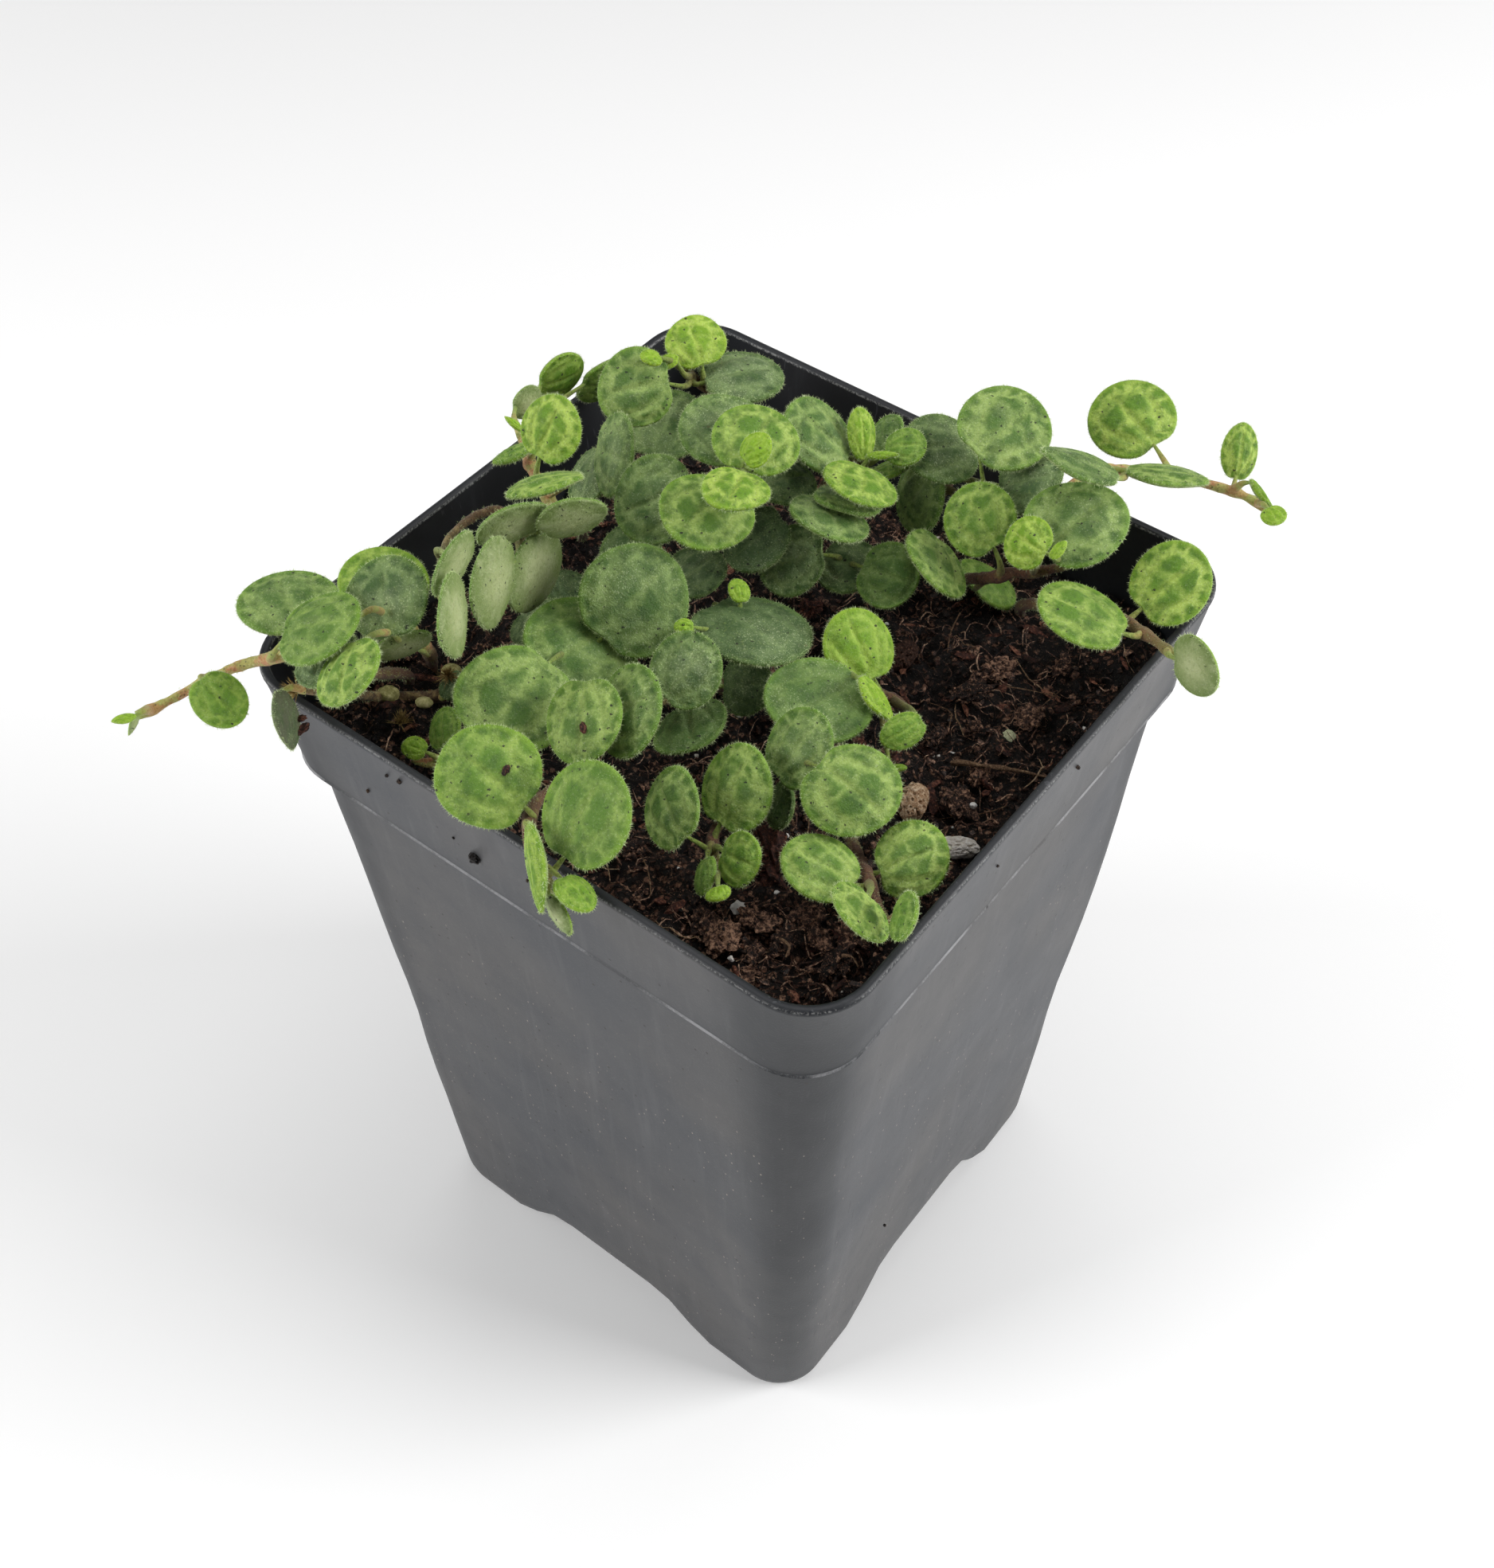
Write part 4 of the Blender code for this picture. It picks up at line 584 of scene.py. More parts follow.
class Leaves:
    """All blades as arrays: each a tilted disc with its centre, axes and sizes, in mm.

    A blade looks squashed by the cosine of its tilt, which follows from the squash seen and its slimness.
    """

    def __init__(self):
        rows = [(vine, *leaf) for vine, (_, leaves) in VINES.items() for leaf in leaves]
        self.vine = np.array([row[0] for row in rows])
        seen = np.array([row[1:4] for row in rows], float)
        span, squash, lie = (np.array([row[i] for row in rows], float) for i in (4, 5, 6))
        self.slim = np.array([row[8] for row in rows], float)
        self.age = np.array([row[9] for row in rows], float)
        self.lift = seen[:, 2].copy()
        self.centre = place(seen)
        self.sight = unit(EYE - self.centre)
        right = np.array([math.cos(VIEW_TURN), math.sin(VIEW_TURN), 0])
        right = unit(right - self.sight * (self.sight @ right)[:, None])
        up = np.cross(self.sight, right)
        lie = np.radians(lie)[:, None]
        self.along = np.cos(lie) * right + np.sin(lie) * up
        beside = np.cos(lie) * up - np.sin(lie) * right
        beside *= np.sign(beside @ np.array([0, 0, 1.0]) + 1e-9)[:, None]
        side = [row[7] for row in rows]
        down = np.array([-1.0 if word in (UNDER, TOP_DOWN) else 1.0 for word in side])
        cos = np.clip(squash / self.slim / ROUNDNESS, LEAST_FACING, 1)
        self.normal = cos[:, None] * self.sight + (down * np.sqrt(1 - cos**2))[:, None] * beside
        self.shows_top = np.array([word in (TOP, TOP_DOWN) for word in side])
        self.normal[~self.shows_top] *= -1
        self.length = span
        self.width = span * self.slim
        self.squash = squash
        self.tip = self.along.copy()

    def turn_from(self, stems):
        """Each blade is turned in its plane so that its stalk to its own stem is short and bends little."""
        self.foot = np.empty_like(self.centre)
        side = np.cross(self.normal, self.along)
        for i, vine in enumerate(self.vine):
            stem = stems[vine][3:-1]
            turns = np.radians([0, 180] if self.slim[i] < 1 else np.arange(0, 360, 20))
            tips = np.outer(np.cos(turns), self.along[i]) + np.outer(np.sin(turns), side[i])
            bases = self.centre[i] - tips * self.length[i] * BASE
            feet = stem[np.linalg.norm(stem[None] - bases[:, None] + tips[:, None] * 2, axis=2).argmin(1)]
            reach = bases - feet
            length = np.linalg.norm(reach, axis=1)
            bend = 1 - (reach * tips).sum(1) / length
            best = np.argmin(length + BEND_COST * bend)
            self.tip[i], self.foot[i] = tips[best], feet[best]

    def points(self, reach=1.0):
        """Sample points of each disc, its middle, a ring half way out and its edge, and their shares out."""
        turns = np.radians(np.arange(0, 360, 30))
        rings = [np.zeros((1, 2))]
        for share, step in DISC_RINGS:
            rings.append(share * np.stack([np.cos(turns[::step]), np.sin(turns[::step])], 1))
        disc = np.vstack(rings)
        side = np.cross(self.normal, self.tip)
        x = self.tip[:, None] * (self.length * reach / 2)[:, None, None] * disc[None, :, :1]
        y = side[:, None] * (self.width * reach / 2)[:, None, None] * disc[None, :, 1:]
        return self.centre[:, None] + x + y, np.linalg.norm(disc, axis=1)


def over_disc(leaves, which, points, margin):
    """How far each point lies in front of the disc along the line of sight, and how far out it passes."""
    sight = leaves.sight[which]
    slope = sight @ leaves.normal[which]
    slope = math.copysign(max(abs(slope), LEAST_SLOPE), slope)
    rise = (points - leaves.centre[which]) @ leaves.normal[which] / slope
    hit = points - sight * rise[..., None] - leaves.centre[which]
    x = hit @ leaves.tip[which] / (leaves.length[which] / 2 + margin)
    y = hit @ np.cross(leaves.normal[which], leaves.tip[which]) / (leaves.width[which] / 2 + margin)
    out = np.sqrt(x**2 + y**2)
    return np.where(out < 1, rise, np.nan), out, abs(slope)


def thickness(leaves, which, out, viewer_side):
    """Half a blade's thickness at a share of its radius, on the viewer's side or on the far one."""
    swell = CROWN if leaves.shows_top[which] == viewer_side else BELLY
    return RIM_THICK / 2 + swell * np.clip(1 - out, 0, 1)


def worst(values):
    """The largest of the values that are numbers, or 0 where none is."""
    values = values[~np.isnan(values)]
    return float(values.max()) if values.size else 0.0


def shortfall(leaves, front, back, points, out):
    """How much further apart along the line of sight two blades have to be, the first in front."""
    ahead, share, slope = over_disc(leaves, back, points[front], LEAF_MARGIN)
    thick = thickness(leaves, front, out, False) + thickness(leaves, back, share, True)
    short = worst((thick + BLADE_CLEAR) / slope - ahead)
    behind, share, slope = over_disc(leaves, front, points[back], LEAF_MARGIN)
    thick = thickness(leaves, back, out, True) + thickness(leaves, front, share, False)
    return max(short, worst((thick + BLADE_CLEAR) / slope + behind), 0)


def overlapping_pairs(leaves):
    """Pairs (front, back) of blades that overlap as seen: the one with the higher lift is in front."""
    reach = leaves.length / 2
    pairs = []
    for i in range(len(reach)):
        for j in range(i + 1, len(reach)):
            gap = leaves.centre[i] - leaves.centre[j]
            apart = np.linalg.norm(gap - leaves.sight[i] * (gap @ leaves.sight[i])) / (reach[i] + reach[j])
            if apart < NEARLY:
                pairs.append(((i, j) if leaves.lift[i] > leaves.lift[j] else (j, i), apart))
    return pairs


def swap_cheap_pairs(leaves, hardly):
    """Where two blades hardly overlap, the one in front is whichever is nearer to its place."""
    points, out = leaves.points(SPARE_REACH)
    swapped = []
    for pair, apart in leaves.pairs:
        if apart > hardly:
            cost = shortfall(leaves, *pair, points, out)
            if cost > SWAP_FROM and shortfall(leaves, *pair[::-1], points, out) < cost:
                pair = pair[::-1]
        swapped.append((pair, apart))
    leaves.pairs = swapped


def passing_stems(leaves, stems):
    """For each blade, the points of each stem that it covers as seen, and whether it goes over or under."""
    found = []
    for i in range(len(leaves.vine)):
        for vine, stem in stems.items():
            line = np.vstack([stem[2:], (stem[2:-1] + stem[3:]) / 2])
            ahead, _, slope = over_disc(leaves, i, line, STEM_MARGIN)
            covered = ~np.isnan(ahead)
            if covered.any():
                need = (HALF_BLADE + STEM_RADIUS + BLADE_CLEAR) / slope
                over = worst(need + ahead) < OVER_FIRST or worst(need + ahead) < worst(need - ahead)
                found.append((i, line[covered], need, over))
    return found


def clear_soil_and_lip(leaves):
    """Lifts each blade along its line of sight until it is clear of the soil and of the pot's lip."""
    points, _ = leaves.points(SPARE_REACH)
    edge = np.abs(points[..., :2]).max(-1)
    over_soil = soil_top(points[..., 0], points[..., 1]) + OVER_SOIL + HALF_BLADE
    floor = np.where(edge < RIM_HALF, over_soil, -np.inf)
    on_lip = (edge > RIM_HALF - WALL - LIP_MARGIN) & (edge < RIM_HALF + LIP_MARGIN)
    floor = np.where(on_lip, POT_HEIGHT + OVER_LIP + HALF_BLADE, floor)
    low = np.clip((floor - points[..., 2]).max(1), 0, MOST_CLIMB)
    leaves.centre += leaves.sight * (low / leaves.sight[:, 2])[:, None]


def part_blades(leaves, stems):
    """Slides blades along their lines of sight until none touches another, a stem, the soil or the pot.

    The blade in front stays in front, so the plant looks the same from where it is seen.
    """
    passing = passing_stems(leaves, stems)
    for _ in range(ROUNDS):
        push = np.zeros(len(leaves.vine))
        points, out = leaves.points(SPARE_REACH)
        for (front, back), _ in leaves.pairs:
            short = min(shortfall(leaves, front, back, points, out), MOST_SHORT) * PAIR_SHARE
            push[front] += short
            push[back] -= short
        for i, line, need, over in passing:
            ahead, _, _ = over_disc(leaves, i, line, STEM_WIDE_MARGIN)
            side = 1 if over else -1
            push[i] += side * min(max(worst(need + side * ahead), 0), MOST_SHORT) * STEM_SHARE
        leaves.centre += leaves.sight * np.clip(push, -MOST_PUSH, MOST_PUSH)[:, None]
        clear_soil_and_lip(leaves)


def raise_stems(stems, leaves):
    """Each stem climbs part of the way after its own blades, so that their stalks stay short."""
    for vine, stem in stems.items():
        own = leaves.centre[leaves.vine == vine]
        climb = np.zeros(len(stem))
        for k, point in enumerate(stem):
            gap = own - point
            sight = unit(EYE - point)
            near = own[np.linalg.norm(gap - np.outer(gap @ sight, sight), axis=1) < STEM_NEAR]
            if k > STEM_FIXED and len(near):
                climb[k] = max(near[:, 2].mean() - STEM_BEHIND - point[2], 0) * FOLLOW
        kernel = np.array(EASE_KERNEL) / sum(EASE_KERNEL)
        climb = np.convolve(np.pad(climb, len(kernel) // 2, "edge"), kernel, "valid")
        climb[:STEM_FIXED] = 0
        sight = unit(EYE - stem)
        stems[vine] = stem + sight * (climb / sight[:, 2])[:, None]


def stalk_path(leaves, which, stems, stalks):
    """A leaf stalk from its foot on the stem, over one knee, into the blade.

    The knee is bowed to whichever side keeps the stalk most clear of the rest and bends it least.
    """
    tip = leaves.tip[which]
    normal = leaves.normal[which]
    end = leaves.centre[which] - tip * leaves.length[which] * STALK_END
    base = leaves.centre[which] - tip * leaves.length[which] * BASE
    foot = leaves.foot[which]
    reach = np.linalg.norm(base - foot)
    across = np.cross(tip, normal)
    others = [stem[1:] for vine, stem in stems.items() if vine != leaves.vine[which]]
    others += [evenly(stalk) for i, stalk in enumerate(stalks) if leaves.vine[i] != leaves.vine[which]]
    rest = np.vstack(others)
    gaps = np.linalg.norm(leaves.centre - (base + foot) / 2, axis=1)
    near = [i for i in range(len(gaps)) if i != which and gaps[i] < reach / 2 + leaves.length[i]]
    best, best_room = None, -math.inf
    for turn in np.radians(np.arange(0, 360, 45)):
        for bow in KNEE_BOWS:
            side = (across * math.cos(turn) + normal * math.sin(turn)) * bow * max(reach, LEAST_REACH)
            path = np.array([foot, foot + (base - foot) * KNEE_SHARE + side, end])
            probe = evenly(path)[1:-1]
            room = np.linalg.norm(probe[:, None] - rest[None], axis=2).min() - STEM_RADIUS
            for i in near:
                offset = probe - leaves.centre[i]
                rise = offset @ leaves.normal[i]
                flat = np.linalg.norm(offset - np.outer(rise, leaves.normal[i]), axis=1)
                beyond = np.maximum(flat - leaves.length[i] / 2, 0)
                above = np.maximum(np.abs(rise) - HALF_BLADE, 0)
                room = min(room, np.hypot(beyond, above).min())
            fold = unit(path[1] - foot) @ unit(end - path[1])
            room = min(room, KNEE_ROOM) - KNEE_COST * bow * reach - FOLD_COST * max(FOLD_LIMIT - fold, 0)
            inside = (np.abs(probe[:, :2]) < RIM_HALF).all()
            if inside and (probe[:, 2] < soil_top(probe[:, 0], probe[:, 1]) + SOIL_ROOM).any():
                room -= SOIL_ROOM
            if room > best_room:
                best, best_room = path, room
    return best


def plan_plant():
    """Works out where every stem, blade and stalk lies.

    Stems are set on the soil, blades are turned and parted, stems climb after them, and all is done again.
    """
    stems = {}
    for vine, (route, _) in VINES.items():
        points = place(route)
        ground = soil_top(points[0, 0], points[0, 1])
        foot = [points[0, :2].tolist() + [ground + rise] for rise in FOOT_RISES]
        low = soil_top(points[1:, 0], points[1:, 1]) + STEM_RADIUS + STEM_OVER_SOIL - points[1:, 2]
        inside = np.abs(points[1:, :2]).max(1) < RIM_HALF
        sight = unit(EYE - points[1:])
        points[1:] += sight * (np.where(inside, np.maximum(low, 0), 0) / sight[:, 2])[:, None]
        stems[vine] = smooth(np.vstack([foot, points[1:]]), 2)[1:]
    leaves = Leaves()
    leaves.turn_from(stems)
    leaves.pairs = overlapping_pairs(leaves)
    for again in (False, True):
        if again:
            raise_stems(stems, leaves)
            leaves.turn_from(stems)
        for hardly in HARDLY:
            swap_cheap_pairs(leaves, hardly)
            part_blades(leaves, stems)
    stalks = []
    for i in range(len(leaves.vine)):
        stalks.append(stalk_path(leaves, i, stems, stalks))
    return stems, leaves, stalks


class Value:
    """A shader socket in a sum: each operator adds the Math node that works it out."""

    def __init__(self, finish, socket):
        self.finish, self.socket = finish, socket

    def __add__(self, other):
        return self.finish.math("ADD", self, other)

    def __sub__(self, other):
        return self.finish.math("SUBTRACT", self, other)

    def __rsub__(self, other):
        return self.finish.math("SUBTRACT", other, self)

    def __mul__(self, other):
        return self.finish.math("MULTIPLY", self, other)

    def __truediv__(self, other):
        return self.finish.math("DIVIDE", self, other)

    __radd__, __rmul__ = __add__, __mul__


class Finish:
    """A node material. node() makes any node; the other methods are the nodes that are used most."""

    def __init__(self, name, **fixed):
        self.material = bpy.data.materials.new(name)
        self.material.use_nodes = True
        self.tree = self.material.node_tree
        self.shader = self.tree.nodes["Principled BSDF"]
        for socket, value in fixed.items():
            self.shader.inputs[socket.replace("_", " ")].default_value = value

    def node(self, kind, settings=(), sockets=(), out=0):
        """Makes a node: its settings first, then the values or links of its sockets. Returns one output."""
        made = self.tree.nodes.new(kind)
        for name, value in dict(settings).items():
            if name == "stops":
                elements = made.color_ramp.elements
                elements.remove(elements[1])
                elements[0].position, elements[0].color = value[0]
                for position, colour in value[1:]:
                    elements.new(position).color = colour
            else:
                setattr(made, name, value)
        for name, value in dict(sockets).items():
            if isinstance(value, Value):
                self.tree.links.new(value.socket, made.inputs[name])
            else:
                made.inputs[name].default_value = value
        return Value(self, made.outputs[out])

    def math(self, operation, *values):
        """A Math node on numbers or sockets."""
        return self.node("ShaderNodeMath", {"operation": operation}, enumerate(values))

    def place(self):
        """Object coordinates in millimetres."""
        metres = self.node("ShaderNodeTexCoord", out="Object")
        return self.node("ShaderNodeVectorMath", {"operation": "SCALE"}, {0: metres, "Scale": 1 / MM})

    def noted(self, name):
        """The three numbers that a mesh holds under a name at each point."""
        return self.apart(self.node("ShaderNodeAttribute", {"attribute_name": name}, out="Vector"))

    def apart(self, vector):
        """The three numbers of a vector."""
        parts = self.tree.nodes.new("ShaderNodeSeparateXYZ")
        self.tree.links.new(vector.socket, parts.inputs[0])
        return [Value(self, socket) for socket in parts.outputs]

    def point(self, x, y, z):
        """The vector of three numbers."""
        return self.node("ShaderNodeCombineXYZ", (), {0: x, 1: y, 2: z})

    def noise(self, where, scale, detail=2.0, rough=0.5, distort=0.0):
        """Cloudy noise round 0.5, with scale clouds to a unit of the place."""
        return self.node("ShaderNodeTexNoise", (), {"Vector": where, "Scale": scale, "Detail": detail,
                                                    "Roughness": rough, "Distortion": distort})

    def spots(self, where, scale):
        """Distance to the nearest of many scattered points, in cells."""
        return self.node("ShaderNodeTexVoronoi", (), {"Vector": where, "Scale": scale}, "Distance")

    def shades(self, where, scale):
        """A random number for each cell round the points of spots()."""
        found = self.node("ShaderNodeTexVoronoi", (), {"Vector": where, "Scale": scale}, "Color")
        return self.node("ShaderNodeSeparateColor", (), {0: found})

    def step(self, value, low, high):
        """Rises smoothly from 0 at low to 1 at high; it falls where low is the larger."""
        ends = {"Value": value, "From Min": min(low, high), "From Max": max(low, high),
                "To Min": float(low > high), "To Max": float(low < high)}
        return self.node("ShaderNodeMapRange", {"interpolation_type": "SMOOTHSTEP"}, ends)

    def jostled(self, where, noise, reach):
        """The place moved by a noise, by up to reach along each axis."""
        sockets = {0: noise, 1: reach, 2: where}
        return self.node("ShaderNodeVectorMath", {"operation": "MULTIPLY_ADD"}, sockets)

    def stretched(self, where, scale, turn=(0, 0, 0)):
        """The place turned and stretched, so that a pattern on it runs long along one axis."""
        return self.node("ShaderNodeMapping", (), {"Vector": where, "Scale": scale, "Rotation": turn})

    def mix(self, first, second, share):
        """Blends two colours."""
        return self.node("ShaderNodeMix", {"data_type": "RGBA"}, {0: share, 6: first, 7: second}, 2)

    def coats(self, colour, *coats):
        """Lays coats over a colour in turn: each is a colour and how far it covers what is below."""
        for coat, share in coats:
            colour = self.mix(colour, coat, share)
        return colour

    def ramp(self, value, *stops):
        """A colour that goes from stop to stop as the value rises."""
        return self.node("ShaderNodeValToRGB", {"stops": stops}, {0: value})

    def bump(self, height, reach, strength=1.0):
        """reach is the height of a full step, in mm."""
        sockets = {"Height": height, "Distance": reach * MM, "Strength": strength}
        return self.node("ShaderNodeBump", (), sockets)

    def wear(self, **looks):
        """Links the sockets of the surface shader."""
        for socket, value in looks.items():
            self.tree.links.new(value.socket, self.shader.inputs[socket.replace("_", " ")])
        return self.material


def srgb(red, green, blue):
    """A screen colour from 0 to 255 as the linear one that shaders use."""
    levels = [level / 255 for level in (red, green, blue)]
    linear = [level / 12.92 if level < 0.04045 else ((level + 0.055) / 1.055) ** 2.4 for level in levels]
    return (*linear, 1.0)


def paints(**colours):
    """Screen colours under their names, as the linear ones that shaders use."""
    return {name: srgb(*colour) for name, colour in colours.items()}


# The top of a leaf, from a bud, through each of LEAF_AGES, to an old leaf.
LEAF_AGES = (0.0, 0.3, 0.6, 0.9)
VEINS = (srgb(188, 216, 82), srgb(180, 206, 92), srgb(164, 190, 106), srgb(138, 162, 104))
GROUND = (srgb(148, 190, 24), srgb(100, 144, 24), srgb(74, 112, 34), srgb(56, 86, 38))
SHADE = (srgb(110, 154, 14), srgb(72, 112, 18), srgb(54, 88, 26), srgb(40, 62, 28))
# The rim's colour: partly the leaf's own yellower margin, partly a painted glow of light through the thin
# edge.
EDGE = (srgb(176, 210, 40), srgb(142, 180, 44), srgb(118, 158, 50), srgb(90, 118, 52))
LEAF = paints(
    veil=(152, 168, 126), pit=(40, 70, 22), grain=(196, 214, 110), frost=(212, 224, 176), pore=(34, 58, 20),
    dry=(96, 98, 76), scab=(104, 84, 48), speck=(22, 20, 14), sheen=(214, 236, 180), belly=(178, 189, 133),
    # Partly painted shade: the darker olive of the belly's rim also darkens the whole curved belly towards
    # it.
    belly_edge=(118, 140, 72), belly_pale=(198, 206, 158), belly_pit=(104, 126, 60),
    belly_frost=(216, 222, 184), hair=(172, 198, 110), bright_hair=(226, 234, 196))
STEM = paints(
    yellow=(196, 190, 106), tan=(208, 146, 98), cream=(222, 206, 168), brown=(98, 62, 38),
    olive=(120, 104, 52), green=(138, 168, 66), husk=(166, 142, 92), husk_dark=(84, 60, 36),
    pit=(50, 32, 20), scale=(210, 186, 146), speck=(34, 24, 16))
PEAT = ((0.32, srgb(12, 8, 7)), (0.46, srgb(44, 30, 25)), (0.58, srgb(100, 70, 57)),
        (0.7, srgb(164, 121, 98)), (0.84, srgb(218, 184, 156)))
# Painted light in the soil: the gap colour is painted shadow between crumbs, and the palest one is painted
# highlights.
SOIL = paints(dark=(18, 12, 11), front=(126, 84, 64), gap=(5, 3, 3), fleck=(206, 176, 150))
POT = paints(
    # Painted dark reflection: the corner colour on this line darkens the pot's rounded corners.
    grey=(59, 61, 65), warm=(70, 69, 69), cloud=(52, 57, 64), corner=(20, 24, 30), streak=(110, 110, 112),
    # Painted highlight: the pale grey after grit lights the collar's lower edge.
    grit=(116, 116, 118), scuff=(176, 176, 178), speck=(196, 180, 168), dirt=(24, 20, 18),
    # Painted highlight: the pale grey at the end of this line lights the lip's rounded top.
    # Painted shade: the darkest grey on this line darkens the lip and the inside of the pot.
    scratch=(120, 120, 122), clean=(30, 32, 36), worn=(66, 68, 72), dust=(168, 168, 166))

# Crumbly finishes: the colour of their hollows, which paints shade there, of the most, and of single high
# grains, which paints highlights on them, their roughness, the height of their relief in mm, their grains to
# a millimetre, and how far pale painted highlights cover them.
CRUMBLY = {
    "peat_crumb": ((10, 7, 6), (56, 38, 31), (172, 132, 108), 0.45, 0.12, 3.0, 0.5),
    "peat_clod": ((9, 6, 5), (66, 43, 34), (198, 154, 126), 0.6, 0.9, 1.8, 0.6),
    "bark": ((30, 15, 12), (92, 50, 38), (176, 122, 96), 0.5, 0.5, 2.2, 0.35),
    "coir": ((30, 18, 15), (104, 70, 56), (214, 178, 150), 0.5, 0.12, 3.0, 0.35),
    "dirt": ((12, 8, 7), (38, 27, 22), (104, 80, 62), 0.6, 0.12, 3.0, 0.35),
    "dry_bud": ((112, 108, 62), (156, 152, 96), (196, 188, 136), 0.85, 0.2, 1.6, 0.35),
    "dry_tuft": ((84, 62, 36), (156, 132, 78), (206, 188, 126), 0.85, 0.12, 3.0, 0.35),
    "rootlet": ((92, 68, 50), (154, 124, 94), (214, 188, 156), 0.85, 0.3, 3.0, 0.35),
    "white_perlite": ((226, 216, 204), (250, 246, 240), (255, 253, 250), 0.85, 0.6, 2.0, 0.35),
    "green_white_grain": ((166, 168, 132), (204, 206, 168), (228, 230, 202), 0.85, 0.12, 3.0, 0.35),
    "pumice": ((164, 126, 92), (240, 212, 178), (252, 242, 222), 0.85, 0.6, 2.0, 0.35),
    "brown_chunk": ((44, 28, 22), (96, 64, 50), (170, 138, 112), 0.85, 0.25, 3.0, 0.35),
}


